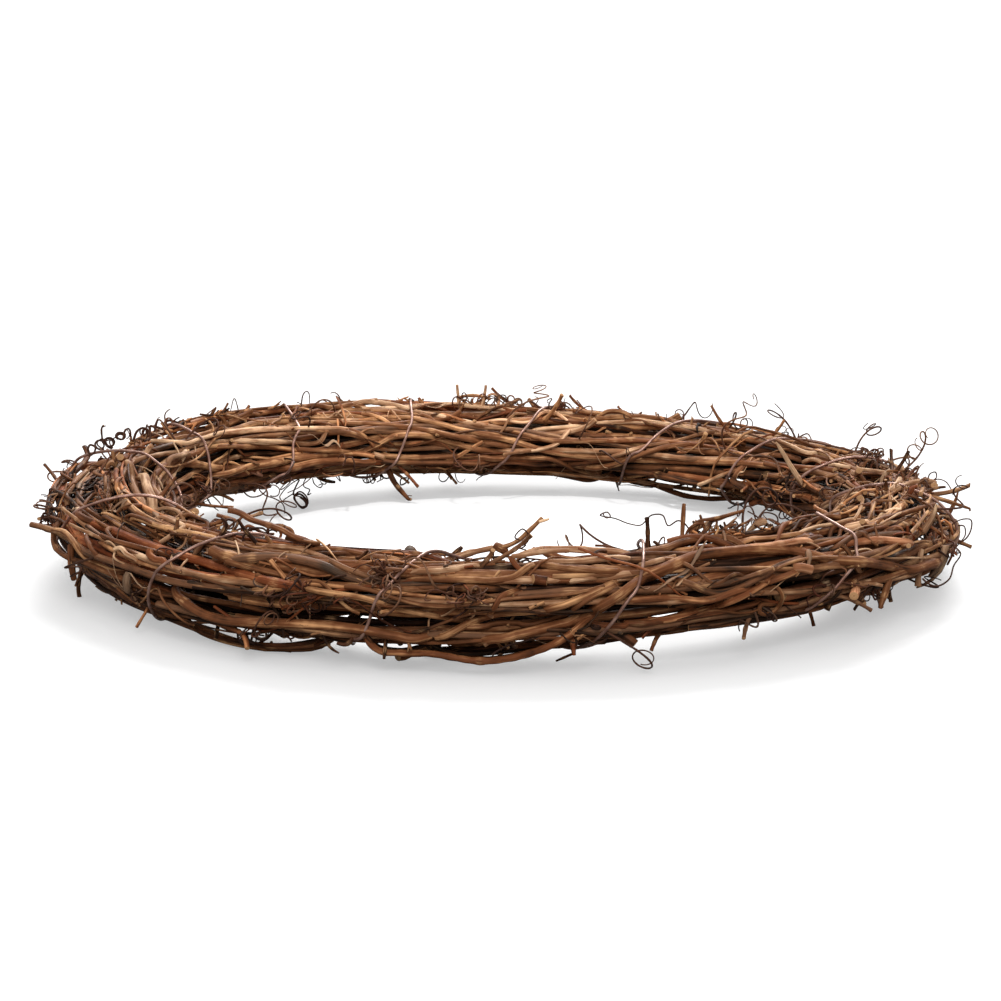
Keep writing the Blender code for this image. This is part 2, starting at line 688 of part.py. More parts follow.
    def lengthen(self, row, end, more, radius):
        """Adds points to one end of a cane's route."""
        points, radii = self.routes[row]
        sizes = np.array([radius, 0.94 * radius])
        if end == 0:
            self.occupied.add(np.array([points[0], *more]), radius, row)
            self.routes[row] = (np.concatenate([more[::-1], points]), np.concatenate([sizes[::-1], radii]))
        else:
            self.occupied.add(np.array([points[-1], *more]), radius, row)
            self.routes[row] = (np.concatenate([points, more]), np.concatenate([radii, sizes]))

    def grow_stubs(self):
        """Short cut side twigs that lean along their cane and out of the bundle."""
        count = 0
        for pick in self.rng.permutation(len(self.sites)):
            row, station, _ = self.sites[pick]
            normal = self.section_normal(station, row)
            _, lengthwise = out_and_along(self.bearings[station])
            lean = self.rng.choice([-1.0, 1.0]) * self.rng.uniform(0.6, 3.2)
            side = np.cross(normal, lengthwise) * self.rng.uniform(-0.5, 0.5)
            length = self.rng.uniform(*STUB_LENGTHS)
            radius = self.rng.uniform(*STUB_RADII)
            direction = normal + lean * lengthwise + side
            count += self.try_stub(self.sites[pick], direction, length, radius)
            if count == STUBS:
                break
        print(count, "side twigs")

    def grow_tendrils(self):
        """Tendrils that leave the bundle's surface and curl in the open air beside it."""
        count = 0
        for pick in self.rng.permutation(len(self.sites)):
            row, station, _ = self.sites[pick]
            normal = self.section_normal(station, row)
            _, lengthwise = out_and_along(self.bearings[station])
            direction = normal + self.rng.uniform(-0.9, 0.9) * lengthwise
            length = self.rng.uniform(*TENDRIL_LENGTHS)
            curl = self.rng.uniform(*TENDRIL_CURLS)
            count += self.try_tendril(self.sites[pick], direction, length, curl)
            if count == TENDRILS:
                break
        print(count, "tendrils besides the named ones")


def material(name, colour, roughness, metallic=0.0):
    """A plain Principled material."""
    made = bpy.data.materials.new(name)
    made.use_nodes = True
    shader = made.node_tree.nodes["Principled BSDF"]
    shader.inputs["Base Color"].default_value = (*colour, 1.0)
    shader.inputs["Roughness"].default_value = roughness
    shader.inputs["Metallic"].default_value = metallic
    made.diffuse_color = (*colour, 1.0)
    return made


def new_collection(name):
    made = bpy.data.collections.new(name)
    bpy.context.scene.collection.children.link(made)
    return made


def section_profile(sides, helpers):
    """A regular polygon of radius CORNER, which a tube's own radius scales."""
    curve = bpy.data.curves.new(f"section_{sides}", "CURVE")
    curve.dimensions = "2D"
    spline = curve.splines.new("POLY")
    spline.points.add(sides - 1)
    for index, point in enumerate(spline.points):
        turn = 2 * math.pi * index / sides
        point.co = (CORNER * math.cos(turn), CORNER * math.sin(turn), 0.0, 1.0)
    spline.use_cyclic_u = True
    profile = bpy.data.objects.new(f"section_{sides}", curve)
    profile.hide_render = True
    profile.display_type = "WIRE"
    helpers.objects.link(profile)
    return profile


def tube(name, points, radii, profile, helpers):
    """A closed solid along the points, made from a curve with a bevel and filled caps."""
    curve = bpy.data.curves.new(name, "CURVE")
    curve.dimensions = "3D"
    curve.bevel_mode = "OBJECT"
    curve.bevel_object = profile
    curve.use_fill_caps = True
    curve.twist_mode = "MINIMUM"
    spline = curve.splines.new("POLY")
    spline.points.add(len(points) - 1)
    for knot, place, radius in zip(spline.points, points, radii):
        knot.co = (*place, 1.0)
        knot.radius = radius
    guide = bpy.data.objects.new(name + "_guide", curve)
    helpers.objects.link(guide)
    solid = bpy.data.objects.new(name, solid_mesh(guide, name))
    helpers.objects.link(solid)
    bpy.data.objects.remove(guide)
    return solid


def solid_mesh(guide, name):
    """The mesh of an object as it stands, with its caps welded on and its faces turned outwards."""
    bpy.context.view_layer.update()
    graph = bpy.context.evaluated_depsgraph_get()
    mesh = bpy.data.meshes.new_from_object(guide.evaluated_get(graph))
    mesh.name = name
    welded = bmesh.new()
    welded.from_mesh(mesh)
    bmesh.ops.remove_doubles(welded, verts=welded.verts, dist=0.00001)
    bmesh.ops.recalc_face_normals(welded, faces=welded.faces)
    welded.to_mesh(mesh)
    welded.free()
    return mesh


def is_one_body(mesh):
    """Whether the mesh is closed and all its faces hang together by their edges."""
    faces = bmesh.new()
    faces.from_mesh(mesh)
    closed = all(edge.is_manifold for edge in faces.edges)
    waiting = list(faces.faces)[:1]
    reached = set(waiting)
    while waiting:
        for edge in waiting.pop().edges:
            fresh = [face for face in edge.link_faces if face not in reached]
            reached.update(fresh)
            waiting += fresh
    whole = len(reached) == len(faces.faces)
    faces.free()
    return closed and whole


def apply_boolean(target, operation, tool=None, tools=None):
    """Applies one Boolean to an object, whose mesh is replaced, with the first solver that succeeds."""
    change = target.modifiers.new("change", "BOOLEAN")
    change.operation = operation
    if tools is None:
        change.object = tool
    else:
        change.operand_type = "COLLECTION"
        change.collection = tools
    for solver in ("EXACT", "MANIFOLD"):
        change.solver = solver
        mesh = solid_mesh(target, target.name)
        if is_one_body(mesh):
            break
    else:
        print(target.name, "isn't one closed body")
    target.modifiers.remove(change)
    target.data = mesh


def fuse_growths(body, growths, profiles, helpers):
    """Unites a cane with all that grows from it."""
    group = new_collection(body.name + "_growths")
    for number, (points, radii) in enumerate(growths):
        profile = profiles[TENDRIL_SIDES if len(points) > 3 else GROWTH_SIDES]
        growth = tube(f"{body.name}_growth_{number}", points, radii, profile, helpers)
        helpers.objects.unlink(growth)
        group.objects.link(growth)
    apply_boolean(body, "UNION", tools=group)
    for growth in list(group.objects):
        bpy.data.objects.remove(growth)
    bpy.data.collections.remove(group)


def surface_cutter(helpers):
    """A slab whose top is the surface that the wreath lies on."""
    bpy.ops.mesh.primitive_cube_add(size=1.0, location=(0.0, 0.0, -0.01))
    slab = bpy.context.object
    slab.name = "surface_cutter"
    slab.scale = (0.6, 0.6, 0.02)
    slab.hide_render = True
    slab.display_type = "WIRE"
    for owner in slab.users_collection:
        owner.objects.unlink(slab)
    helpers.objects.link(slab)
    return slab


def finish(solid, surface, nodes, helpers):
    """Gives a solid its material and smooth shading and files it with the wreath's nodes."""
    solid.data.materials.clear()
    solid.data.materials.append(surface)
    solid.data.polygons.foreach_set("use_smooth", np.ones(len(solid.data.polygons), bool))
    helpers.objects.unlink(solid)
    nodes.objects.link(solid)


def build():
    for old in list(bpy.data.objects):
        bpy.data.objects.remove(old)
    nodes = new_collection("grapevine_wreath")
    helpers = new_collection("helpers")
    profiles = {sides: section_profile(sides, helpers) for sides in (TENDRIL_SIDES, GROWTH_SIDES, CANE_SIDES)}
    bark = material("bark", BARK, 0.85)
    pale = material("bark_pale", BARK_PALE, 0.8)
    brown_wire = material("wire", WIRE_BROWN, 0.45, 0.6)
    wreath = Wreath()
    slab = surface_cutter(helpers)
    for row, (points, radii) in enumerate(wreath.routes):
        inside = wreath.canes[row]["depth"] < SURFACE_DEPTH
        profile = profiles[INNER_CANE_SIDES if inside else CANE_SIDES]
        cane = tube(f"cane_{row + 1:02d}", points, radii, profile, helpers)
        if wreath.growths[row]:
            fuse_growths(cane, wreath.growths[row], profiles, helpers)
        if min(corner.co.z for corner in cane.data.vertices) < 0:
            apply_boolean(cane, "DIFFERENCE", tool=slab)
        finish(cane, pale if row % 5 == 3 else bark, nodes, helpers)
    thickness = np.full(len(wreath.wire), WIRE_RADIUS)
    wire = tube("binding_wire", wreath.wire, thickness, profiles[WIRE_SIDES], helpers)
    finish(wire, brown_wire, nodes, helpers)


build()
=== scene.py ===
# %% [markdown]
# # A grapevine wreath
# The wreath is a ring of some fifty dry vine canes, bound by one long wire. Every cane carries its own
# side twigs and the curled tendrils that the vine once climbed with. The solids of the frame hold each
# cane as a tube with flat sides. This lesson lays the same canes again by the same rules and dresses
# them: round canes with knuckles and ridged bark, cut ends, fine tendrils and the litter between them.

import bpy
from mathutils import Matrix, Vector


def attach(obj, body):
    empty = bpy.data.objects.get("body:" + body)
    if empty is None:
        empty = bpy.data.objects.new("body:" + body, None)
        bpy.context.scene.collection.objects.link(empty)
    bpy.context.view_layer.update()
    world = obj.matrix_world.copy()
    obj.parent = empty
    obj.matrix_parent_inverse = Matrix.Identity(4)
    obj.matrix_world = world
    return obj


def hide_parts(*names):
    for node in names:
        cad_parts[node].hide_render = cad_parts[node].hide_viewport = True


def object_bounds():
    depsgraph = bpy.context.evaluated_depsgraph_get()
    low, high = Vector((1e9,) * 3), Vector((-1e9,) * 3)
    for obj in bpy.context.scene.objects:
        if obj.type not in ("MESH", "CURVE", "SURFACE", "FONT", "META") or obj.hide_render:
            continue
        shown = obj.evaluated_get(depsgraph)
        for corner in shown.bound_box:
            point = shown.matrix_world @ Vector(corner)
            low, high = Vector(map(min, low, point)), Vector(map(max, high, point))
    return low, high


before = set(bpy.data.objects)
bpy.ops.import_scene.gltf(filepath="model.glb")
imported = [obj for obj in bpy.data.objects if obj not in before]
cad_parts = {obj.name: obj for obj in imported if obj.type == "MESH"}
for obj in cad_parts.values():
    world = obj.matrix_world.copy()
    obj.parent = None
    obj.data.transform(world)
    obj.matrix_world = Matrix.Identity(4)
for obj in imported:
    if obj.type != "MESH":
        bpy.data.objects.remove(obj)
cad_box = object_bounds()
print("nodes in the frame:", len(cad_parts))

# %% What the lesson uses
import math

import bpy
import numpy as np

MM = 0.001
TINY = 1e-9
SEED = 16
scene = bpy.context.scene
print("Blender", bpy.app.version_string)

# %% [markdown]
# ## Where a place in the bundle is
# A wreath is hard to describe with X, Y and Z. It is easier to say how far round the ring a place is
# (its bearing), how far it lies outwards from the ring's middle line, and how far upwards. The real
# ring isn't a true circle and it doesn't lie quite flat, so slow waves round the ring bend its middle
# line. They are sums of cosines, which close on themselves without a seam.

# %% The ring
# The ring: the radius of the bundle's centreline, and half of the bundle's width and height.
RING_RADIUS = 170 * MM
HALF_WIDTH = 28.5 * MM
HALF_HEIGHT = 17.9 * MM
# Waves round the ring, as (how many, size, bearing of a crest in degrees).
OUT_OF_ROUND = ((2, 1.6 * MM, 12.0), (3, 1.2 * MM, 75.0))
LIFT = ((1, 3.0 * MM, -160.0), (2, 3.3 * MM, -42.0), (3, 0.8 * MM, -60.0))
THICKER = ((1, 1.9 * MM, -145.0), (2, 1.0 * MM, -128.0), (3, 0.8 * MM, -95.0))
RING_CENTRE = (2.375 * MM, 1.542 * MM)


def waves(bearing, terms):
    """The sum of cosine waves round the ring at a bearing in radians."""
    return sum(size * np.cos(count * (bearing - math.radians(crest))) for count, size, crest in terms)


def half_height(bearing):
    return HALF_HEIGHT + waves(bearing, THICKER)


class Ring:
    """The ring's centreline, with the lean that settles it on its feet."""

    def __init__(self):
        self.lean, self.height = 0.0, 0.0

    def point(self, bearing, out, up):
        """The place in space of offsets out and up at a bearing."""
        radius = RING_RADIUS + waves(bearing, OUT_OF_ROUND) + out
        y = radius * np.sin(bearing)
        x = radius * np.cos(bearing) + RING_CENTRE[0]
        z = waves(bearing, LIFT) + self.height + self.lean * y + up
        return np.stack([x, y + RING_CENTRE[1], z], axis=-1)


print("the ring's middle line has a radius of", RING_RADIUS / MM, "mm")

# %% [markdown]
# ## Which canes there are
# Someone winds such a wreath from long canes, one after another, each once or nearly once round. Each
# cane here is a short list of facts: its thickness, where it starts, how far it runs, at what angle it
# lies in the bundle's section and how that angle drifts. Thick canes that catch the eye, and loose ones
# that bow out of the bundle, are written down one by one. The rest are drawn from seeded numbers, so
# they come out the same every time.

# %% The plan of the canes
# The canes: stations round the ring where every cane has a point of its route.
STATIONS = 32
COMMON_CANES = 41
OUTER_SHARE = 0.66
CANE_RADII = (1.55 * MM, 2.75 * MM)
CANE_STATIONS = (19, 30)
TAPER = 0.72
CLEARANCE = 0.55 * MM
# Thick canes that show on the outside: radius, first bearing, degrees covered, angle in the
# bundle's section (0 outwards, 90 up), turn of that angle over its length, bearing nearest the eye.
THICK_CANES = (
    (3.2 * MM, -186.0, 150.0, 14.0, 8.0, -142.0),
    (3.0 * MM, -128.0, 86.0, 12.0, 40.0, -62.0),
    (3.2 * MM, -52.0, 120.0, -18.0, 20.0, -16.0),
    (3.0 * MM, -66.0, 70.0, -56.0, 10.0, -26.0),
    (2.8 * MM, -124.0, 70.0, -32.0, 24.0, -95.0),
    (2.9 * MM, 28.0, 130.0, 150.0, 30.0, 80.0),
    (2.7 * MM, 70.0, 130.0, 120.0, 50.0, 150.0),
    (2.6 * MM, 140.0, 120.0, 95.0, -30.0, 190.0),
)
# Canes that bow out of the bundle between two turns of the wire: radius, first bearing, degrees
# covered, angle in the section, its turn, the bearing where it bows most and how far out there, as
# a share of the bundle's half size.
BOWED_CANES = (
    (1.9 * MM, -101.0, 58.0, -62.0, 66.0, -95.0, 0.35),
    (2.0 * MM, 45.0, 84.0, -90.0, 0.0, 56.0, 0.33),
    (1.8 * MM, -186.0, 84.0, -62.0, -24.0, -127.0, 0.22),
    (1.9 * MM, 60.0, 120.0, 82.0, 30.0, 122.0, 0.22),
    (1.8 * MM, 10.0, 100.0, 100.0, -24.0, 84.0, 0.22),
)
BOW_REACH = 17.0
# How the thick canes lie: how deep, how much that changes round the ring, and how far they bow out.
THICK_DEPTH, THICK_DIVE, THICK_BOW = 0.85, 0.25, 0.05


def written_cane(radius, start, span, angle, turn, crest, **manner):
    """One of the canes that are written down one by one, in stations and radians."""
    return {
        "radius": radius,
        "first": round(start / 360 * STATIONS) % STATIONS,
        "count": round(span / 360 * STATIONS) + 1,
        "angle": math.radians(angle),
        "turn": math.radians(turn) / math.radians(span),
        "crest": math.radians(crest),
        **manner,
    }


def plan_canes(rng):
    """Each cane as a dictionary: its radius, first station, number of stations and its wanted path."""
    canes = []
    outer = int(COMMON_CANES * OUTER_SHARE)
    for index in range(COMMON_CANES):
        on_face = index < outer
        ring_share = index / outer if on_face else (index - outer) / (COMMON_CANES - outer)
        canes.append(
            {
                "radius": CANE_RADII[0] + (CANE_RADII[1] - CANE_RADII[0]) * rng.uniform() ** 1.5,
                "first": int(index * STATIONS * 0.382 + rng.integers(0, 4)) % STATIONS,
                "count": int(rng.integers(*CANE_STATIONS)),
                "angle": 2 * math.pi * ring_share + rng.uniform(-0.12, 0.12),
                "turn": rng.uniform(-1.0, 1.0),
                "depth": 0.97 if on_face else rng.uniform(0.2, 0.62),
                "dive": rng.uniform(0.0, 0.22),
                "crest": rng.uniform(0, 2 * math.pi),
                "bow": rng.uniform(0.02, 0.14),
            }
        )
    thick = {"depth": THICK_DEPTH, "dive": THICK_DIVE, "bow": THICK_BOW}
    canes += [written_cane(*facts, **thick) for facts in THICK_CANES]
    loose = {"depth": 1.0, "dive": 0.0, "loose": True}
    canes += [written_cane(*facts, **loose, bow=bow) for *facts, bow in BOWED_CANES]
    return canes

# %% The path that each cane would like
LOOSE_WANDER, THICK_WANDER, COMMON_WANDER = 0.0, 0.15, 0.4


def wanted_places(canes, bearings, rng):
    """Where each cane would lie in the section at each station if it had the bundle to itself.

    The angle in the section drifts at the cane's own rate and sways in two slow waves. The depth,
    1 at the bundle's surface, falls and rises once round the ring, and a loose cane stands out where
    it bows.
    """
    places = np.zeros((len(canes), len(bearings), 2))
    for row, cane in enumerate(canes):
        middle = bearings[cane["first"]] + math.pi * cane["count"] / len(bearings)
        along = (bearings - middle + math.pi) % (2 * math.pi) - math.pi
        sway = rng.uniform(0, 2 * math.pi, 2)
        wander = THICK_WANDER if cane["dive"] == THICK_DIVE else COMMON_WANDER
        wander = LOOSE_WANDER if cane.get("loose") else wander
        angle = cane["angle"] + cane["turn"] * along
        angle = angle + wander * np.sin(2 * along + sway[0]) + 0.6 * wander * np.sin(4.3 * along + sway[1])
        depth = cane["depth"] + cane["dive"] * (np.cos(bearings - cane["crest"]) - 0.6)
        if cane.get("loose"):
            off_crest = (bearings - cane["crest"] + math.pi) % (2 * math.pi) - math.pi
            depth = depth + 1.3 * cane["bow"] * np.exp(-((np.degrees(off_crest) / BOW_REACH) ** 2))
        places[row, :, 0] = depth * np.cos(angle) * (HALF_WIDTH - cane["radius"])
        places[row, :, 1] = depth * np.sin(angle) * (half_height(bearings) - cane["radius"])
    return places

# %% [markdown]
# ## Laying the canes side by side
# If every cane followed its wish, they would run through each other. So the canes are parted step by
# step: wherever two lie too close, both give way by half of what is lacking. Between steps each cane is
# straightened a little, because a cane is stiff, and it is pulled back into the oval that the wire
# allows. After some hundred rounds they lie side by side.

# %% Where the wire holds the bundle
# The binding wire, wound round the bundle like a spring: the bearings at which it passes the
# outermost line of the bundle, one for each turn.
WIRE_RADIUS = 0.65 * MM
WIRE_PASSES = (-375, -350, -328, -309, -283, -259, -238, -207, -190, -161, -135, -105, -77.5, -48.5)
WIRE_STEEPER = 0.45
WIRE_CORNERS = 12
WIRE_CLEARANCE = 0.35 * MM
WIRE_LEAD = 100.0
WIRE_TRAIL = 120.0


def turn_marks():
    """The wire's passes as bearings and as the angles it has turned through, over one closed round."""
    passes = np.radians(np.append(WIRE_PASSES, WIRE_PASSES[0] + 360.0))
    return passes, 2 * math.pi * np.arange(len(passes))


def wire_angle(bearing):
    """Where in the section the wire is at a bearing."""
    passes, turned = turn_marks()
    return np.interp((bearing - passes[0]) % (2 * math.pi) + passes[0], passes, turned)


def wire_bearing(angle):
    """The bearing that the wire has reached when it has turned through an angle.

    On the near side of the ring the wire crosses the outer face more steeply than the inner one.
    """
    passes, turned = turn_marks()
    spacing = passes[1] - passes[0]
    before = passes[0] + spacing * angle / (2 * math.pi)
    even = np.where(angle < 0, before, np.interp(angle, turned, passes))
    nearness = np.maximum(0, -np.sin(even))
    return even - WIRE_STEEPER * nearness * spacing / (2 * math.pi) * np.sin(angle - 0.3)


print("the wire goes round", len(WIRE_PASSES) - 1, "times")

# %% Canes that give way to each other
def cover(canes):
    """Which stations each cane passes, and which steps between stations it spans."""
    stations = np.zeros((len(canes), STATIONS), bool)
    steps = np.zeros((len(canes), STATIONS), bool)
    for row, cane in enumerate(canes):
        passed = (cane["first"] + np.arange(cane["count"])) % STATIONS
        stations[row, passed] = True
        steps[row, passed[:-1]] = True
    return stations, steps


def station_radii(canes):
    """Each cane's radius at each station: full at its butt, thinner towards its tip."""
    radii = np.zeros((len(canes), STATIONS))
    for row, cane in enumerate(canes):
        passed = (cane["first"] + np.arange(cane["count"])) % STATIONS
        thinning = np.linspace(1.0, TAPER, cane["count"])
        radii[row, passed] = cane["radius"] * (thinning if row % 2 else thinning[::-1])
    return radii


def push_apart(places, radii, stations, steps):
    """The moves that part canes which lie in each other.

    Between two stations a pair's offset runs in a straight line, so their closest approach is the
    point of that line nearest the origin. The lack of room there is shared out between both canes
    and between both stations. Canes that share only a station are parted there.
    """
    after = np.roll(places, -1, axis=1)
    thicker = np.maximum(radii, np.roll(radii, -1, axis=1))
    start = places[:, None] - places[None]
    run = (after[:, None] - after[None]) - start
    share = -(start * run).sum(-1) / np.maximum((run**2).sum(-1), TINY)
    share = np.clip(share, 0, 1)[..., None]
    nearest = start + share * run
    distance = np.linalg.norm(nearest, axis=-1)
    both = steps[:, None] & steps[None]
    both[np.arange(len(places)), np.arange(len(places))] = False
    lack = np.maximum(thicker[:, None] + thicker[None] + CLEARANCE - distance, 0) * both
    push = nearest * (0.5 * lack / np.maximum(distance, TINY))[..., None]
    moves = (push * (1 - share)).sum(1) + np.roll((push * share).sum(1), 1, axis=1)
    meet = stations[:, None] & stations[None]
    meet[np.arange(len(places)), np.arange(len(places))] = False
    distance = np.linalg.norm(start, axis=-1)
    short = np.maximum(radii[:, None] + radii[None] + CLEARANCE - distance, 0) * meet
    moves = moves + (start * (0.5 * short / np.maximum(distance, TINY))[..., None]).sum(1)
    return moves, max(lack.max(), short.max())


def confine(places, radii, bows, bearings):
    """Pulls each cane back inside the bundle's oval, which is tight at the wire and may bulge between."""
    room = np.stack([HALF_WIDTH - radii, half_height(bearings) - radii], axis=-1)
    scaled = places / room
    angle = np.arctan2(places[..., 1], places[..., 0])
    from_wire = np.sin((angle - wire_angle(bearings)) / 2) ** 2
    limit = 1 + bows[:, None] * from_wire
    depth = np.linalg.norm(scaled, axis=-1)
    return places * np.minimum(1, limit / np.maximum(depth, TINY))[..., None]

# %% Relaxing the bundle
ROUNDS = 560
# In the first rounds the canes are drawn to their wanted paths and straightened more.
DRAWN_ROUNDS = 340
DRAWN, LATER_STIFFNESS, GIVING_WAY = 0.03, 0.17, 0.55
LOOSE_STIFFNESS, STIFFNESS = 0.02, 0.12


def lay_canes(canes, bearings, rng):
    """Relaxes the wanted places until the canes lie side by side, stiff and clear of each other."""
    wanted = wanted_places(canes, bearings, rng)
    stations, steps = cover(canes)
    radii = station_radii(canes)
    bows = np.array([cane["bow"] for cane in canes])
    inner = (stations & np.roll(stations, 1, axis=1) & np.roll(stations, -1, axis=1))[..., None]
    inner = inner & (np.roll(steps, 1, axis=1) & steps)[..., None]
    loose = np.array([cane.get("loose", False) for cane in canes])[:, None, None]
    stiffness = np.where(loose, LOOSE_STIFFNESS, STIFFNESS)
    places = wanted.copy()
    for turn in range(ROUNDS):
        easing = turn < DRAWN_ROUNDS
        straighter = (np.roll(places, 1, axis=1) + np.roll(places, -1, axis=1)) / 2 - places
        places = places + inner * straighter * stiffness * (1.0 if easing else LATER_STIFFNESS)
        places = places + (easing | loose) * DRAWN * (wanted - places)
        moves, lack = push_apart(places, radii, stations, steps)
        places = places + GIVING_WAY * moves
        places = confine(places, radii, bows, bearings)
    print(f"canes still short of room by {lack / MM:.2f} mm")
    return places, radii


def settle(canes, places, radii, bearings):
    """The lean and height at which the lowest canes of both foot sectors dip just below the surface."""
    stations, _ = cover(canes)
    ring = Ring()
    points = ring.point(bearings, places[..., 0], places[..., 1])
    sole = points[..., 2] - CORNER * math.cos(math.pi / CANE_SIDES) * radii
    feet = []
    for low, high in (FIRST_FOOT, SECOND_FOOT):
        degrees = np.degrees(bearings)
        inside = ((degrees - low) % 360) <= (high - low)
        feet.append(stations & inside)
    for _ in range(12):
        heights = []
        for inside in feet:
            level = np.where(inside, sole + ring.lean * points[..., 1], np.inf)
            spot = np.unravel_index(np.argmin(level), level.shape)
            heights.append((sole[spot], points[spot][1]))
        (first, first_y), (second, second_y) = heights
        ring.lean = -(second - first) / (second_y - first_y)
        ring.height = -FOOT_DEPTH - first - ring.lean * first_y
    return ring

# %% [markdown]
# ## Pulling the wire taut
# A taut wire touches only the canes that stand out furthest. In each direction of the section the cane
# that reaches furthest is looked up, and the wire's corners lie where two neighbouring lines of rest
# cross.

# %% The wire's route
def wind_wire(ring, canes, places, radii):
    """The points of the wire, pulled taut round the bundle.

    The wire's direction turns evenly through the section. In each direction it rests on the cane
    that reaches furthest that way, and its corners lie where two neighbouring lines of rest cross.
    """
    last = 2 * math.pi * (len(WIRE_PASSES) - 1) + math.radians(WIRE_TRAIL)
    step = 2 * math.pi / WIRE_CORNERS
    angles = np.arange(-math.radians(WIRE_LEAD), last, step)
    reach = np.array([support(angle, canes, places, radii) for angle in angles])
    points = []
    for here, angle in enumerate(angles[:-1]):
        lines = np.array([[math.cos(a), math.sin(a)] for a in (angle, angles[here + 1])])
        out, up = np.linalg.solve(lines, reach[here : here + 2])
        points.append(ring.point(wire_bearing(angle + step / 2), out, up))
    return np.array(points)


def sag(share):
    """How much nearer the ring's middle a straight piece between stations runs than their circle."""
    spacing = 2 * math.pi / STATIONS
    return 1 - math.cos(spacing / 2) / math.cos((share - 0.5) * spacing)


def support(angle, canes, places, radii):
    """How far the bundle reaches in one direction of its section, where the wire lies that way."""
    direction = np.array([math.cos(angle), math.sin(angle)])
    furthest = 0.0
    _, steps = cover(canes)
    for shift in (-0.3, 0.0, 0.3):
        place = (wire_bearing(angle + shift) / (2 * math.pi) * STATIONS) % STATIONS
        low = int(place)
        share = place - low
        high = (low + 1) % STATIONS
        middle = (1 - share) * places[:, low] + share * places[:, high]
        middle[:, 0] -= sag(share) * (RING_RADIUS + middle[:, 0])
        radius = np.maximum(radii[:, low], radii[:, high])
        spread = (middle @ direction + CORNER * radius)[steps[:, low]]
        furthest = max(furthest, spread.max())
    return furthest + WIRE_RADIUS + WIRE_CLEARANCE

# %% [markdown]
# ## Finding room for twigs and tendrils
# A twig may not run through a neighbour. Each placed tube is kept as a row of straight pieces with a
# radius, and a new one is accepted only where it keeps its distance from all of them. A tendril is a
# line whose heading turns faster and faster, so it starts straight and ends in loops.

# %% Telling whether a place is free
def along(points, spacing):
    """Points no further apart than the spacing, along a line through the points."""
    pieces = [points[:1]]
    for a, b in zip(points[:-1], points[1:]):
        count = max(1, math.ceil(np.linalg.norm(b - a) / spacing))
        pieces.append(a + (b - a) * (np.arange(1, count + 1) / count)[:, None])
    return np.concatenate(pieces)


class Occupied:
    """Every tube placed so far, as straight pieces with a radius, for telling whether a place is free."""

    def __init__(self):
        self.starts = np.zeros((0, 3))
        self.ends = np.zeros((0, 3))
        self.radii = np.zeros(0)
        self.owners = np.zeros(0, int)

    def add(self, points, radii, owner):
        radii = np.broadcast_to(radii, len(points))
        self.starts = np.concatenate([self.starts, points[:-1]])
        self.ends = np.concatenate([self.ends, points[1:]])
        self.radii = np.concatenate([self.radii, np.maximum(radii[:-1], radii[1:])])
        self.owners = np.concatenate([self.owners, np.full(len(points) - 1, owner)])

    def room(self, points, chosen):
        """The least distance from the points to the surface of the chosen pieces."""
        start, run = self.starts[chosen], (self.ends - self.starts)[chosen]
        offset = points[:, None] - start
        share = (offset * run).sum(-1) / np.maximum((run**2).sum(-1), TINY)
        nearest = offset - np.clip(share, 0, 1)[..., None] * run
        return (np.linalg.norm(nearest, axis=-1) - CORNER * self.radii[chosen]).min()

    def free(self, points, radius, owner):
        """Whether a growth along the points meets nothing but its own cane at its root.

        Past its root it also keeps off its own cane, and it stays above the surface below.
        """
        fine = along(points, 1.0 * MM)
        from_middle = np.hypot(fine[:, 0] - RING_CENTRE[0], fine[:, 1] - RING_CENTRE[1])
        if fine[:, 2].min() < radius + FLOOR_ROOM or fine[:, 2].max() > CEILING:
            return False
        if from_middle.min() < INNER_REACH or from_middle.max() > OUTER_REACH:
            return False
        if self.room(fine[1:], self.owners != owner) < CORNER * radius + GROWTH_ROOM:
            return False
        past_root = fine[np.linalg.norm(fine - points[0], axis=1) > 6.5 * MM]
        own = self.owners == owner
        return len(past_root) == 0 or self.room(past_root, own) > radius


def unit(vector):
    return vector / max(np.linalg.norm(vector), TINY)


def out_and_along(bearing):
    """The directions away from the ring's middle and along the ring at a bearing."""
    out = np.array([math.cos(bearing), math.sin(bearing), 0.0])
    return out, np.array([-out[1], out[0], 0.0])

# %% How a tendril curls
def tendril_line(root, direction, length, curl, rng):
    """A tendril as a line that starts nearly straight and curls ever tighter into a loose helix.

    The heading turns about an axis at a steady lean to it, and the axis drifts. The curvature grows
    with the square of the way along until the loops have the curl's radius.
    """
    step = length / TENDRIL_STEPS
    heading = unit(direction)
    axis = unit(unit(np.cross(heading, rng.normal(size=3))) + 0.36 * heading)
    drift = rng.normal(size=3) * 0.012
    points = [root]
    for index in range(TENDRIL_STEPS):
        way = index / TENDRIL_STEPS
        bend = (0.1 + 0.9 * min(1.0, 1.8 * way) ** 2) / curl * step
        axis = unit(axis + drift)
        heading = unit(heading + bend * np.cross(axis, heading))
        points.append(points[-1] + heading * step)
    return np.array(points)


def own_room(points):
    """The least distance between pieces of one line that aren't neighbours."""
    middle = (points[:-1] + points[1:]) / 2
    apart = np.linalg.norm(middle[:, None] - middle[None], axis=-1)
    order = np.arange(len(middle))
    apart[abs(order[:, None] - order[None]) < 3] = np.inf
    return apart.min()

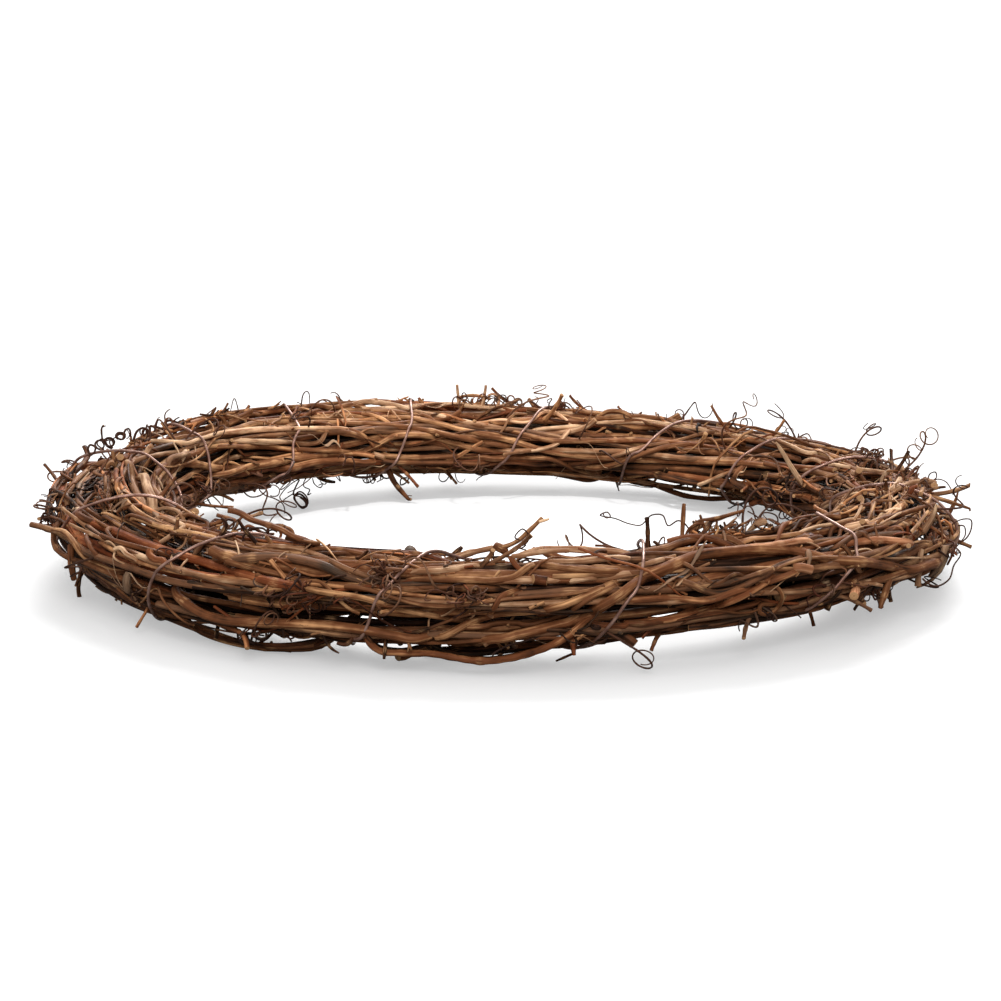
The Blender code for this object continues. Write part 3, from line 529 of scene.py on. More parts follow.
# %% What grows from the canes
# Short cut twigs that stand out: bearing, angle in the section, direction as shares along the
# ring, outwards and upwards, length and radius.
NAMED_STUBS = (
    (-140.0, -60.0, (-0.3, 0.5, -0.9), 11 * MM, 1.3 * MM),
    (-127.0, -75.0, (0.1, 0.3, -1.0), 10 * MM, 1.2 * MM),
    (-93.0, 100.0, (1.0, 0.0, 0.55), 24 * MM, 1.5 * MM),
    (-90.0, 110.0, (0.9, -0.1, 0.5), 14 * MM, 1.1 * MM),
    (-67.0, 120.0, (0.0, 0.0, 1.0), 13 * MM, 1.2 * MM),
    (-160.0, 150.0, (-0.2, -0.6, 0.6), 11 * MM, 1.0 * MM),
    (-31.0, 55.0, (-0.9, 0.5, 0.1), 16 * MM, 1.6 * MM),
    (-42.0, -30.0, (-0.6, 0.8, -0.1), 13 * MM, 1.7 * MM),
    (-36.0, -60.0, (0.1, 0.2, -1.0), 10 * MM, 1.3 * MM),
    (-30.0, -65.0, (-0.1, 0.3, -1.0), 9 * MM, 1.2 * MM),
    (-45.0, -75.0, (0.2, 0.3, -0.9), 13 * MM, 1.1 * MM),
    (-8.0, 35.0, (0.3, 1.0, 0.1), 21 * MM, 1.4 * MM),
    (-12.0, -20.0, (0.0, 0.9, -0.3), 11 * MM, 1.2 * MM),
    (3.0, 75.0, (0.1, 0.6, 0.8), 13 * MM, 1.1 * MM),
    (98.0, 80.0, (0.1, 0.1, 1.0), 10 * MM, 1.2 * MM),
    (92.0, 90.0, (-0.2, 0.1, 1.0), 11 * MM, 1.1 * MM),
    (114.0, 185.0, (-0.6, -0.5, -0.7), 18 * MM, 1.1 * MM),
    (48.0, 100.0, (0.6, -0.3, 0.8), 17 * MM, 1.0 * MM),
    (42.0, 80.0, (-0.7, 0.1, 0.7), 15 * MM, 1.0 * MM),
    (-72.0, -75.0, (-0.5, 0.3, -0.6), 9 * MM, 1.0 * MM),
)

# Curls that stand out: bearing, angle in the section, direction as above, length, radius of the
# loops.
NAMED_TENDRILS = (
    (163.0, 70.0, (0.3, 0.4, 0.9), 60 * MM, 3.0 * MM),
    (-172.0, 30.0, (-0.3, 0.9, 0.2), 55 * MM, 2.8 * MM),
    (-148.0, -30.0, (-0.2, 0.9, -0.3), 48 * MM, 2.8 * MM),
    (-122.0, -60.0, (0.4, 0.7, -0.3), 48 * MM, 2.8 * MM),
    (140.0, 185.0, (0.0, -0.9, 0.2), 75 * MM, 3.6 * MM),
    (150.0, 200.0, (-0.3, -0.9, 0.1), 60 * MM, 3.0 * MM),
    (-67.0, 130.0, (-0.9, -0.4, 0.3), 72 * MM, 3.4 * MM),
    (-55.0, 125.0, (0.5, -0.5, 0.5), 65 * MM, 3.0 * MM),
    (25.0, 75.0, (0.2, 0.4, 0.9), 60 * MM, 3.0 * MM),
    (15.0, 60.0, (-0.3, 0.7, 0.6), 52 * MM, 2.8 * MM),
    (3.0, 45.0, (0.5, 0.8, 0.5), 60 * MM, 3.6 * MM),
    (-10.0, 10.0, (0.2, 1.0, 0.1), 52 * MM, 2.8 * MM),
    (-22.0, -30.0, (-0.6, 0.8, -0.2), 46 * MM, 3.4 * MM),
    (-80.0, -50.0, (0.3, 0.8, -0.3), 60 * MM, 4.0 * MM),
    (-118.0, 5.0, (0.3, 1.0, 0.1), 48 * MM, 2.8 * MM),
    (-95.0, 10.0, (-0.2, 1.0, 0.1), 48 * MM, 2.8 * MM),
)

# What grows from the canes apart from those.
STUB_RADII = (0.9 * MM, 1.5 * MM)
STUB_LENGTHS = (8 * MM, 24 * MM)
STUBS = 46
TENDRIL_RADIUS = 0.55 * MM
TENDRIL_STEPS = 90
TENDRIL_COARSE_STEP = 6
TENDRIL_LENGTHS = (38 * MM, 76 * MM)
TENDRIL_CURLS = (2.5 * MM, 4.2 * MM)
TENDRILS = 18
TAIL_LENGTHS = (8 * MM, 24 * MM)
GROWTH_ROOM = 0.45 * MM
SLIMMER_THAN_CANE = 0.7
SURFACE_DEPTH = 0.72
SITE_SHARES = (0.0, 0.35, 0.7)

# Where the wreath touches the surface: two bowed bellies, found in these sectors of bearings, and
# one stub that reaches down at the third place.
FIRST_FOOT = (-128.0, -80.0)
SECOND_FOOT = (25.0, 80.0)
FOOT_DEPTH = 0.35 * MM
PROP_BEARING = 196.0
PROP_RADIUS = 1.7 * MM
FLOOR_ROOM = 0.6 * MM

# How far the twigs and tendrils reach: the least and greatest distance from the ring's middle, and
# the greatest height above the surface.
INNER_REACH = 113 * MM
OUTER_REACH = 208 * MM
CEILING = 60 * MM

# The solids' tubes have flat sides: their corners lie this far outside the cane's own radius.
CANE_SIDES = 5
CORNER = 1.06
print("twigs and tendrils put down one by one:", len(NAMED_STUBS) + len(NAMED_TENDRILS))

# %% The wreath's layout
class Wreath:
    """The whole layout: the route of every cane with what grows from it, and the wire's route."""

    def __init__(self):
        self.rng = np.random.default_rng(SEED)
        self.bearings = np.arange(STATIONS) * 2 * math.pi / STATIONS
        self.canes = plan_canes(self.rng)
        self.places, self.radii = lay_canes(self.canes, self.bearings, self.rng)
        self.ring = settle(self.canes, self.places, self.radii, self.bearings)
        self.wire = wind_wire(self.ring, self.canes, self.places, self.radii)
        self.routes = [self.cane_route(row) for row in range(len(self.canes))]
        self.growths = [[] for _ in self.canes]
        self.occupied = Occupied()
        self.occupied.add(self.wire, WIRE_RADIUS, -1)
        for row, (points, radii) in enumerate(self.routes):
            self.occupied.add(points, radii, row)
        self.sites = self.surface_sites()
        self.grow_prop()
        self.grow_named()
        self.grow_tails()
        self.grow_stubs()
        self.grow_tendrils()

    def cane_route(self, row):
        cane = self.canes[row]
        passed = (cane["first"] + np.arange(cane["count"])) % STATIONS
        out, up = self.places[row, passed].T
        return self.ring.point(self.bearings[passed], out, up), self.radii[row, passed]

    def section_normal(self, station, row):
        """The direction straight out of the bundle's oval at a cane's place."""
        bearing = self.bearings[station]
        out, _ = out_and_along(bearing)
        room = np.array([HALF_WIDTH, half_height(bearing)])
        section = unit(self.places[row, station] / room**2)
        return section[0] * out + np.array([0.0, 0.0, section[1]])

    def surface_sites(self):
        """Every place at the bundle's surface: the cane, the station and the share of the way on."""
        sites = []
        for row, cane in enumerate(self.canes):
            for index in range(1, cane["count"] - 2):
                station = (cane["first"] + index) % STATIONS
                room = np.array([HALF_WIDTH, half_height(self.bearings[station])])
                if np.linalg.norm(self.places[row, station] / room) > SURFACE_DEPTH:
                    sites += [(row, station, share) for share in SITE_SHARES]
        return sites

    def sites_near(self, bearing, angle):
        """The surface sites in order of how near they are to a bearing and an angle in the section."""
        keys = []
        for row, station, share in self.sites:
            out, up = self.places[row, station]
            there = math.degrees(self.bearings[station]) + share * 360 / STATIONS
            off_angle = (math.degrees(math.atan2(up, out)) - angle + 180) % 360 - 180
            off_bearing = (there - bearing + 180) % 360 - 180
            keys.append(abs(off_angle) / 20 + abs(off_bearing) / 3)
        return [self.sites[pick] for pick in np.argsort(keys)]

    def start_of(self, row, station, share):
        after = (station + 1) % STATIONS
        here = self.ring.point(self.bearings[station], *self.places[row, station])
        there = self.ring.point(self.bearings[after], *self.places[row, after])
        return (1 - share) * here + share * there

    def keep(self, row, points, radii, line=None):
        self.occupied.add(points, radii, row)
        self.growths[row].append((points, radii, line))

    def try_stub(self, site, direction, length, radius):
        """Adds a stub that bends a little away from the bundle, where there is room for it."""
        row, station, _ = site
        start = self.start_of(*site)
        radius = min(radius, SLIMMER_THAN_CANE * self.thinnest(row, station))
        knee = start + unit(direction) * 0.6 * length
        tip = knee + unit(unit(direction) + 0.3 * self.section_normal(station, row)) * 0.4 * length
        points = np.array([start, knee, tip])
        if not self.occupied.free(points, radius, row):
            return False
        self.keep(row, points, radius * np.array([1.0, 0.88, 0.8]))
        return True

    def thinnest(self, row, station):
        return min(self.radii[row, station], self.radii[row, (station + 1) % STATIONS])

    def try_tendril(self, site, direction, length, curl):
        row = site[0]
        line = tendril_line(self.start_of(*site), direction, length, curl, self.rng)
        coarse = line[::TENDRIL_COARSE_STEP]
        if own_room(coarse) < 3.0 * TENDRIL_RADIUS:
            return False
        if not self.occupied.free(coarse, TENDRIL_RADIUS, row):
            return False
        self.keep(row, coarse, np.full(len(coarse), TENDRIL_RADIUS), line)
        return True

    def grow_prop(self):
        """The stub that reaches down from the outer edge of the bundle to the surface."""
        for row, station, share in self.sites_near(PROP_BEARING, -40.0):
            start = self.start_of(row, station, share)
            out, _ = out_and_along(self.bearings[station])
            foot = start + 2 * MM * out
            foot[2] = -FOOT_DEPTH
            knee = (start + foot) / 2 + 1.2 * MM * out
            points = np.array([start, knee, foot])
            radius = min(PROP_RADIUS, SLIMMER_THAN_CANE * self.thinnest(row, station))
            others = self.occupied.owners != row
            if self.occupied.room(along(points, MM), others) > CORNER * radius + GROWTH_ROOM:
                self.keep(row, points, np.full(3, radius))
                return
        print("no room for the stub that the wreath rests on")

    def grow_named(self):
        missing = []
        for number, (bearing, angle, shares, length, radius) in enumerate(NAMED_STUBS):
            direction = self.direction(bearing, shares)
            nearest = self.sites_near(bearing, angle)[:14]
            tries = [(site, size) for size in (1.0, 0.8) for site in nearest]
            if not any(self.try_stub(site, direction, size * length, radius) for site, size in tries):
                missing.append(("stub", number))
        for number, (bearing, angle, shares, length, curl) in enumerate(NAMED_TENDRILS):
            nearest = self.sites_near(bearing, angle)[:8]
            for attempt in range(60):
                loosened = self.direction(bearing, shares) + 0.03 * attempt * self.rng.normal(size=3) / 2
                if self.try_tendril(nearest[attempt % 8], loosened, length, curl):
                    break
            else:
                missing.append(("tendril", number))
        print("no room for", missing)

    def direction(self, bearing, shares):
        out, lengthwise = out_and_along(math.radians(bearing))
        return shares[0] * lengthwise + shares[1] * out + np.array([0.0, 0.0, shares[2]])

    def grow_tails(self):
        """Lets the cut ends of canes stand out of the bundle wherever there is room for them."""
        count = 0
        for row, cane in enumerate(self.canes):
            points, radii = self.routes[row]
            last = (cane["first"] + cane["count"] - 1) % STATIONS
            for end, station in ((0, cane["first"]), (-1, last)):
                inward = 1 if end == 0 else -2
                onward = unit(points[end] - points[inward])
                normal = self.section_normal(station, row)
                radius = radii[end]
                for length in np.linspace(self.rng.uniform(*TAIL_LENGTHS), TAIL_LENGTHS[0], 5):
                    lift = self.rng.uniform(0.1, 0.7)
                    knee = points[end] + unit(onward + 0.35 * lift * normal) * 0.45 * length
                    tip = knee + unit(onward + 1.3 * lift * normal) * 0.55 * length
                    tail = np.array([points[end], knee, tip])
                    if self.tail_is_free(tail, radius, row):
                        self.lengthen(row, end, tail[1:], radius)
                        count += 1
                        break
        print(count, "cut ends stand out of the bundle")

    def tail_is_free(self, tail, radius, row):
        fine = along(tail, MM)[1:]
        others = self.occupied.owners != row
        if fine[:, 2].min() < radius + FLOOR_ROOM:
            return False
        return self.occupied.room(fine, others) > CORNER * radius + GROWTH_ROOM

    def lengthen(self, row, end, more, radius):
        """Adds points to one end of a cane's route."""
        points, radii = self.routes[row]
        sizes = np.array([radius, 0.94 * radius])
        if end == 0:
            self.occupied.add(np.array([points[0], *more]), radius, row)
            self.routes[row] = (np.concatenate([more[::-1], points]), np.concatenate([sizes[::-1], radii]))
        else:
            self.occupied.add(np.array([points[-1], *more]), radius, row)
            self.routes[row] = (np.concatenate([points, more]), np.concatenate([radii, sizes]))

    def grow_stubs(self):
        """Short cut side twigs that lean along their cane and out of the bundle."""
        count = 0
        for pick in self.rng.permutation(len(self.sites)):
            row, station, _ = self.sites[pick]
            normal = self.section_normal(station, row)
            _, lengthwise = out_and_along(self.bearings[station])
            lean = self.rng.choice([-1.0, 1.0]) * self.rng.uniform(0.6, 3.2)
            side = np.cross(normal, lengthwise) * self.rng.uniform(-0.5, 0.5)
            length = self.rng.uniform(*STUB_LENGTHS)
            radius = self.rng.uniform(*STUB_RADII)
            direction = normal + lean * lengthwise + side
            count += self.try_stub(self.sites[pick], direction, length, radius)
            if count == STUBS:
                break
        print(count, "side twigs")

    def grow_tendrils(self):
        """Tendrils that leave the bundle's surface and curl in the open air beside it."""
        count = 0
        for pick in self.rng.permutation(len(self.sites)):
            row, station, _ = self.sites[pick]
            normal = self.section_normal(station, row)
            _, lengthwise = out_and_along(self.bearings[station])
            direction = normal + self.rng.uniform(-0.9, 0.9) * lengthwise
            length = self.rng.uniform(*TENDRIL_LENGTHS)
            curl = self.rng.uniform(*TENDRIL_CURLS)
            count += self.try_tendril(self.sites[pick], direction, length, curl)
            if count == TENDRILS:
                break
        print(count, "tendrils besides the named ones")


wreath = Wreath()
print("canes:", len(wreath.routes), "  growths:", sum(len(found) for found in wreath.growths))

# %% [markdown]
# ## The camera, the floor and the light
# The camera looks at the ring from low in front with a long lens, as a catalogue picture of something
# small is taken. The floor is a plain white sweep that is lit until it is nearly as bright as paper,
# and only the places that the wreath keeps in shade show up grey. A bright surrounding and three lights
# do that. A wide window behind makes the shadow fall towards the eye, a soft lamp in front opens the
# dark side of the canes, and a narrow lamp keeps the floor inside the ring white.

# %% The camera
IMAGE_WIDTH = 1001
ELEVATION = math.radians(11.9)
EYE_DISTANCE = 1.208
LENS = 97.75
SENSOR_WIDTH = 36.0
# How far the picture's frame is shifted, in pixels, and the height of the ring's middle.
FRAME_SHIFT = (-4.5, 7.5)
RING_HEIGHT = 25.5 * MM
ringed = (*RING_CENTRE, RING_HEIGHT)

view = bpy.data.cameras.new("view")
view.lens = LENS
view.sensor_width = SENSOR_WIDTH
view.shift_x, view.shift_y = (pixels / IMAGE_WIDTH for pixels in FRAME_SHIFT)
view.clip_end = 100.0
eye = bpy.data.objects.new("eye", view)
eye.location = (
    ringed[0],
    ringed[1] - EYE_DISTANCE * math.cos(ELEVATION),
    ringed[2] + EYE_DISTANCE * math.sin(ELEVATION),
)
eye.rotation_euler = (math.pi / 2 - ELEVATION, 0.0, 0.0)
scene.collection.objects.link(eye)
scene.camera = eye
print("the camera stands", round(eye.location.z, 3), "m above the floor")

# %% The floor
FLOOR_SIZE = 60.0
# The floor is shown a little brighter than it lights the wreath, as in a picture exposed for white.
FLOOR_BOUNCE = 0.25
FLOOR_GLOW = 0.415
FLOOR_TONES = (0.56, 0.58)


def new_material(name):
    """A material with its node tree and its shader."""
    made = bpy.data.materials.new(name)
    made.use_nodes = True
    return made, made.node_tree, made.node_tree.nodes["Principled BSDF"]


def grey(value):
    return (value, value, value, 1.0)


def floor_material():
    made, tree, shader = new_material("white_sweep")
    nodes, links = tree.nodes, tree.links
    place = nodes.new("ShaderNodeTexCoord")
    cloud = nodes.new("ShaderNodeTexNoise")
    cloud.inputs["Scale"].default_value = 2.0
    tone = nodes.new("ShaderNodeValToRGB")
    for stop, value in zip(tone.color_ramp.elements, FLOOR_TONES):
        stop.color = grey(value)
    links.new(place.outputs["Object"], cloud.inputs["Vector"])
    links.new(cloud.outputs["Fac"], tone.inputs["Fac"])
    rays = nodes.new("ShaderNodeLightPath")
    seen = nodes.new("ShaderNodeMix")
    seen.data_type = "RGBA"
    seen.inputs[6].default_value = grey(FLOOR_BOUNCE)
    links.new(rays.outputs["Is Camera Ray"], seen.inputs[0])
    links.new(tone.outputs["Color"], seen.inputs[7])
    links.new(seen.outputs[2], shader.inputs["Base Color"])
    glow = nodes.new("ShaderNodeMath")
    glow.operation = "MULTIPLY"
    glow.inputs[1].default_value = FLOOR_GLOW
    links.new(rays.outputs["Is Camera Ray"], glow.inputs[0])
    shader.inputs["Emission Color"].default_value = grey(1.0)
    links.new(glow.outputs[0], shader.inputs["Emission Strength"])
    shader.inputs["Roughness"].default_value = 0.7
    shader.inputs["Specular IOR Level"].default_value = 0.2
    return made


sweep_mesh = bpy.data.meshes.new("floor")
half = FLOOR_SIZE / 2
corners = [(-half, -half, 0.0), (half, -half, 0.0), (half, half, 0.0), (-half, half, 0.0)]
sweep_mesh.from_pydata(corners, [], [(0, 1, 2, 3)])
sweep_mesh.materials.append(floor_material())
sweep = bpy.data.objects.new("floor", sweep_mesh)
scene.collection.objects.link(sweep)
print("floor", FLOOR_SIZE, "m wide")

# %% The light
# The surrounding is bright overhead and dimmer towards the horizon, where it is seen as plain white.
OVERHEAD = 0.95
HORIZON = 0.25
BRIGHT_FROM = 0.9
# The window: where it stands, how strong it is and how wide it looks. Then the lamp in front.
WINDOW_PLACE = (0.12, 1.2, 1.05)
WINDOW_STRENGTH = 2.78
WINDOW_WIDTH = math.radians(32.0)
FILL_PLACE = (0.0, -1.5, 1.0)
FILL_SIZE = 0.8
FILL_POWER = 12.0
# A lamp above the hole, so narrow that hardly any of its light meets the canes. Its edge is soft.
HOLE_PLACE = (0.0, -0.04, 0.45)
HOLE_AIM = (0.0, 0.03, 0.0)
HOLE_POWER = 5.6
HOLE_WIDTH = math.radians(39.0)
HOLE_FADE = 0.25
HOLE_SOFTNESS = 20 * MM


def studio_world():
    made = bpy.data.worlds.new("studio")
    made.use_nodes = True
    nodes, links = made.node_tree.nodes, made.node_tree.links
    nodes["Background"].inputs["Color"].default_value = grey(1.0)
    place = nodes.new("ShaderNodeTexCoord")
    parts = nodes.new("ShaderNodeSeparateXYZ")
    height = nodes.new("ShaderNodeMapRange")
    for name, value in (("From Max", BRIGHT_FROM), ("To Min", HORIZON), ("To Max", OVERHEAD)):
        height.inputs[name].default_value = value
    links.new(place.outputs["Generated"], parts.inputs[0])
    links.new(parts.outputs["Z"], height.inputs["Value"])
    rays = nodes.new("ShaderNodeLightPath")
    seen = nodes.new("ShaderNodeMix")
    seen.inputs[3].default_value = 1.0
    links.new(rays.outputs["Is Camera Ray"], seen.inputs[0])
    links.new(height.outputs["Result"], seen.inputs[2])
    links.new(seen.outputs[0], nodes["Background"].inputs["Strength"])
    return made


scene.world = studio_world()
scene.view_settings.view_transform = "Standard"


def hang_light(name, kind, place, energy, aim=ringed):
    """A light at a place, turned towards the middle of the ring or another place."""
    lamp = bpy.data.lights.new(name, kind)
    lamp.energy = energy
    holder = bpy.data.objects.new(name, lamp)
    holder.location = place
    towards = np.array(aim) - np.array(place)
    holder.rotation_euler = (
        math.atan2(math.hypot(towards[0], towards[1]), -towards[2]),
        0.0,
        math.atan2(towards[1], towards[0]) - math.pi / 2,
    )
    scene.collection.objects.link(holder)
    return lamp


window = hang_light("window", "SUN", WINDOW_PLACE, WINDOW_STRENGTH)
window.angle = WINDOW_WIDTH
fill = hang_light("front_fill", "AREA", FILL_PLACE, FILL_POWER)
fill.shape = "DISK"
fill.size = FILL_SIZE
spot = hang_light("hole_lamp", "SPOT", HOLE_PLACE, HOLE_POWER, HOLE_AIM)
spot.spot_size = HOLE_WIDTH
spot.spot_blend = HOLE_FADE
spot.shadow_soft_size = HOLE_SOFTNESS
print("the window looks", round(math.degrees(window.angle)), "degrees wide")

# %% [markdown]
# ## A round tube along a curved line
# Everything on a wreath is a tube: canes, twigs, tendrils and the wire. A tube is a profile carried
# along a line. The line first gets many close points. At each of them two directions square to it are
# needed, and they have to follow the line without spinning round it, or the ridges of the bark would
# wind like a screw. The point at turn a and row s is then line(s) + r(s, a) (cos a side + sin a up),
# and r holds the whole character of the surface.

# %% Smooth lines and the directions beside them
def smooth_line(points, spacing):
    """Close points on a smooth line through the points, and each one's place among them.

    The slope at a point is that of the parabola through it and its two neighbours. Each stretch is
    the cubic that has these slopes at its ends.
    """
    step = np.linalg.norm(np.diff(points, axis=0), axis=1)
    chord = np.diff(points, axis=0) / step[:, None]
    before, after = step[:-1, None], step[1:, None]
    slope = np.repeat(chord[:1], len(points), axis=0)
    slope[1:-1] = (chord[:-1] * after + chord[1:] * before) / (before + after)
    if len(points) > 2:
        slope[0] = 2 * chord[0] - slope[1]
        slope[-1] = 2 * chord[-1] - slope[-2]
    counts = np.maximum(1, np.ceil(step / spacing)).astype(int)
    stretch = np.repeat(np.arange(len(step)), counts)
    first = np.concatenate([[0], np.cumsum(counts)[:-1]])
    t = ((np.arange(len(stretch)) - first[stretch]) / counts[stretch])[:, None]
    a, b = slope[stretch] * step[stretch, None], slope[stretch + 1] * step[stretch, None]
    line = (2 * t**3 - 3 * t**2 + 1) * points[stretch] + (t**3 - 2 * t**2 + t) * a
    line = line + (3 * t**2 - 2 * t**3) * points[stretch + 1] + (t**3 - t**2) * b
    place = np.append(stretch + t[:, 0], len(step))
    return np.concatenate([line, points[-1:]]), place


def way_along(line):
    """The distance along a line at each of its points, in metres."""
    return np.append(0.0, np.cumsum(np.linalg.norm(np.diff(line, axis=0), axis=1)))


def padded(values):
    """Values along lines with the first and the last one doubled."""
    return np.pad(values, [(0, 0)] * (values.ndim - 1) + [(1, 1)], mode="edge")


def blurred(values, times):
    """Values along lines, each mixed with its neighbours a number of times."""
    for _ in range(times):
        wider = padded(values)
        values = (wider[..., :-2] + 2 * wider[..., 1:-1] + wider[..., 2:]) / 4
    return values


def raised(values, times):
    """Values along lines, each replaced by the greatest of itself and its neighbours, some times."""
    for _ in range(times):
        wider = padded(values)
        values = np.maximum(values, np.maximum(wider[..., :-2], wider[..., 2:]))
    return values


def units(vectors):
    return vectors / np.maximum(np.linalg.norm(vectors, axis=-1, keepdims=True), TINY)


def beside(lines):
    """The tangent and two directions square to it along each line, of an array of lines.

    The first side is square to the tangent, and from row to row it only loses the part that has
    come to point along the new tangent, so it never spins round the line.
    """
    tangent = units(np.gradient(lines, axis=-2))
    side = np.empty_like(lines)
    helper = np.where(abs(tangent[..., 0, 2:3]) < 0.7, [0.0, 0.0, 1.0], [1.0, 0.0, 0.0])
    side[..., 0, :] = units(np.cross(tangent[..., 0, :], helper))
    for row in range(1, lines.shape[-2]):
        here = tangent[..., row, :]
        carried = side[..., row - 1, :]
        side[..., row, :] = units(carried - (carried * here).sum(-1, keepdims=True) * here)
    return tangent, side, np.cross(tangent, side)


test_line, _ = smooth_line(np.array([[0, 0, 0], [1, 0, 0], [1, 1, 0.0]]), 0.2)
print("a bent line of three points becomes", len(test_line))

# %% [markdown]
# ## How far the bundle reaches
# Fine twigs, curls and litter lie on the bundle, so it has to be known where its surface is. For each
# bearing and each angle of the section a ray leaves the bundle's middle line. It leaves a cane's round
# section at t = c.u + sqrt(r^2 - |c|^2 + (c.u)^2), where c is the cane's centre, r its radius and u the
# ray's direction. The furthest of these is the bundle's reach there.

# %% A map of the bundle's surface
BEARING_STEPS = 720
ANGLE_STEPS = 90


def bundle_reach():
    place = np.arange(BEARING_STEPS) / BEARING_STEPS * STATIONS
    low = place.astype(int)
    share = (place - low)[None]
    high = (low + 1) % STATIONS
    centres = (1 - share[..., None]) * wreath.places[:, low] + share[..., None] * wreath.places[:, high]
    radii = (1 - share) * wreath.radii[:, low] + share * wreath.radii[:, high]
    _, steps = cover(wreath.canes)
    angles = 2 * math.pi * np.arange(ANGLE_STEPS) / ANGLE_STEPS
    rays = np.stack([np.cos(angles), np.sin(angles)])
    near = centres @ rays
    square = (radii**2)[..., None] - (centres**2).sum(-1, keepdims=True) + near**2
    leaves = near + np.sqrt(np.maximum(square, 0))
    hit = (square > 0) & (leaves > 0) & steps[:, low][..., None]
    return np.where(hit, leaves, 0).max(axis=0)


def softened(values, wide, deep):
    """A map mixed with its neighbours, round both its circles."""
    across = np.mean([np.roll(values, shift, axis=0) for shift in range(-wide, wide + 1)], axis=0)
    return np.mean([np.roll(across, shift, axis=1) for shift in range(-deep, deep + 1)], axis=0)


reach_map = bundle_reach()
calm_map = softened(reach_map, 6, 4)


def reach_at(bearing, angle, reaches=reach_map):
    """The bundle's reach at bearings and section angles, in radians."""
    row = np.round(bearing / (2 * math.pi) * BEARING_STEPS).astype(int) % BEARING_STEPS
    column = np.round(angle / (2 * math.pi) * ANGLE_STEPS).astype(int) % ANGLE_STEPS
    return reaches[row, column]


def bundle_place(points):
    """The bearing, the section angle and the distance from the middle line of points in space."""
    x, y = points[..., 0] - RING_CENTRE[0], points[..., 1] - RING_CENTRE[1]
    bearing = np.arctan2(y, x)
    middle = wreath.ring.point(bearing, 0.0, 0.0)
    out = np.hypot(x, y) - np.hypot(middle[..., 0] - RING_CENTRE[0], middle[..., 1] - RING_CENTRE[1])
    up = points[..., 2] - middle[..., 2]
    return bearing, np.arctan2(up, out), np.hypot(out, up)


def outward(bearing, angle):
    """The direction that leads straight out of the bundle."""
    out = np.stack([np.cos(bearing), np.sin(bearing), 0 * bearing], axis=-1)
    return np.cos(angle)[..., None] * out + np.sin(angle)[..., None] * np.array([0.0, 0.0, 1.0])


def buried(points):
    """How deep points in space lie under the bundle's surface, in metres."""
    bearing, angle, distance = bundle_place(points)
    return reach_at(bearing, angle) - distance


print("the bundle reaches", round(reach_map.mean() / MM, 1), "mm from its middle line on average")

# %% [markdown]
# ## From grids to one mesh
# A grid of rows and turns is closed round its turns, and each end is closed by three rings and one
# middle point, which make a flat cut with a softened rim. The material has to know more than a place:
# where on its own cane a point lies, so that the grain runs along the cane and has no seam, and how
# much of a knuckle or of a fresh cut it is. Each vertex carries that in three attributes.

# %% Collecting tubes into a mesh
# The rings of a cut end: their share of the radius, and how far they stand out, as a share of it.
CUT_RINGS = ((0.9, 0.1), (0.78, 0.13))
CUT_MIDDLE = 0.13


def rows_with_ends(rows):
    """The rows of a closed tube: which row of its line each is, its share of the radius, its offset.

    The rims of both cut ends repeat the first and the last row, smaller and further out.
    """
    first = [(0, share, -out) for share, out in CUT_RINGS[::-1]]
    last = [(rows - 1, share, out) for share, out in CUT_RINGS]
    between = [(row, 1.0, 0.0) for row in range(rows)]
    order, scale, offset = zip(*(first + between + last))
    return np.array(order), np.array(scale), np.array(offset)


def swept(line, reach, turns, slant):
    """The grid line + reach (cos a side + sin a up), with the rims of both cut ends added.

    A slanted cut leans its rows along the tube by slant times their reach. It returns the grid, the
    middle points of both cuts, how far each vertex lies from the line, which row of the line each row
    of the grid repeats, and how much of a cut that row is.
    """
    rows = line.shape[1]
    order, scale, lift = rows_with_ends(rows)
    tangent, side, up = (vectors[:, order] for vectors in beside(line))
    full = reach[:, order] * scale[None, :, None]
    mean = reach[:, order].mean(axis=2)
    cosine, sine = np.cos(turns), np.sin(turns)
    across = cosine[:, None] * side[:, :, None] + sine[:, None] * up[:, :, None]
    middle = line[:, order] + (lift[None] * mean)[..., None] * tangent
    at_end = np.where(order == rows - 1, 1.0, 0.0) - np.where(order == 0, 1.0, 0.0)
    tilt = at_end[None, :, None] * full * cosine * slant
    grid = middle[:, :, None] + full[..., None] * across + tilt[..., None] * tangent[:, :, None]
    out = CUT_MIDDLE * mean[:, [0, -1]] * [-1, 1]
    poles = line[:, [0, -1]] + out[..., None] * tangent[:, [0, -1]]
    return grid, poles, full, order, np.where(scale < 1, 2 - scale, 0.0)


# Painted light: how much lighter the bark gets for each metre towards the back of the wreath.
PAINTED_LIGHT_TO_BACK = 0.45
# Painted shade and dirt between the canes: how much darker bark is for each metre that it lies deeper.
DEEP_SHADE_AND_GRIME = 215.0
DEEP_SHADE_AND_GRIME_DEPTHS = (-1.0 * MM, 5.0 * MM)
# Painted shade: how much darker the bark is for each metre below the middle, and lighter above it.
PAINTED_UNDERSIDE_SHADE = 5.0
MIDDLE_HEIGHT = 30 * MM
# Here and there the bark is darker or paler than elsewhere: where, how far round it and by how much. The
# darkest patch, at the left end, is painted shade in a hollow of the bundle.
PATCHES_AND_PAINTED_SHADE = (
    ((-0.181, -0.028, 0.041), 17 * MM, -0.45),
    ((-0.150, -0.060, 0.045), 20 * MM, 0.15),
    ((0.086, -0.171, 0.036), 12 * MM, -0.35),
    ((0.130, 0.083, 0.015), 26 * MM, -0.30),
    ((0.155, -0.060, 0.045), 30 * MM, 0.20),
    ((0.098, 0.133, 0.032), 30 * MM, -0.15),
)


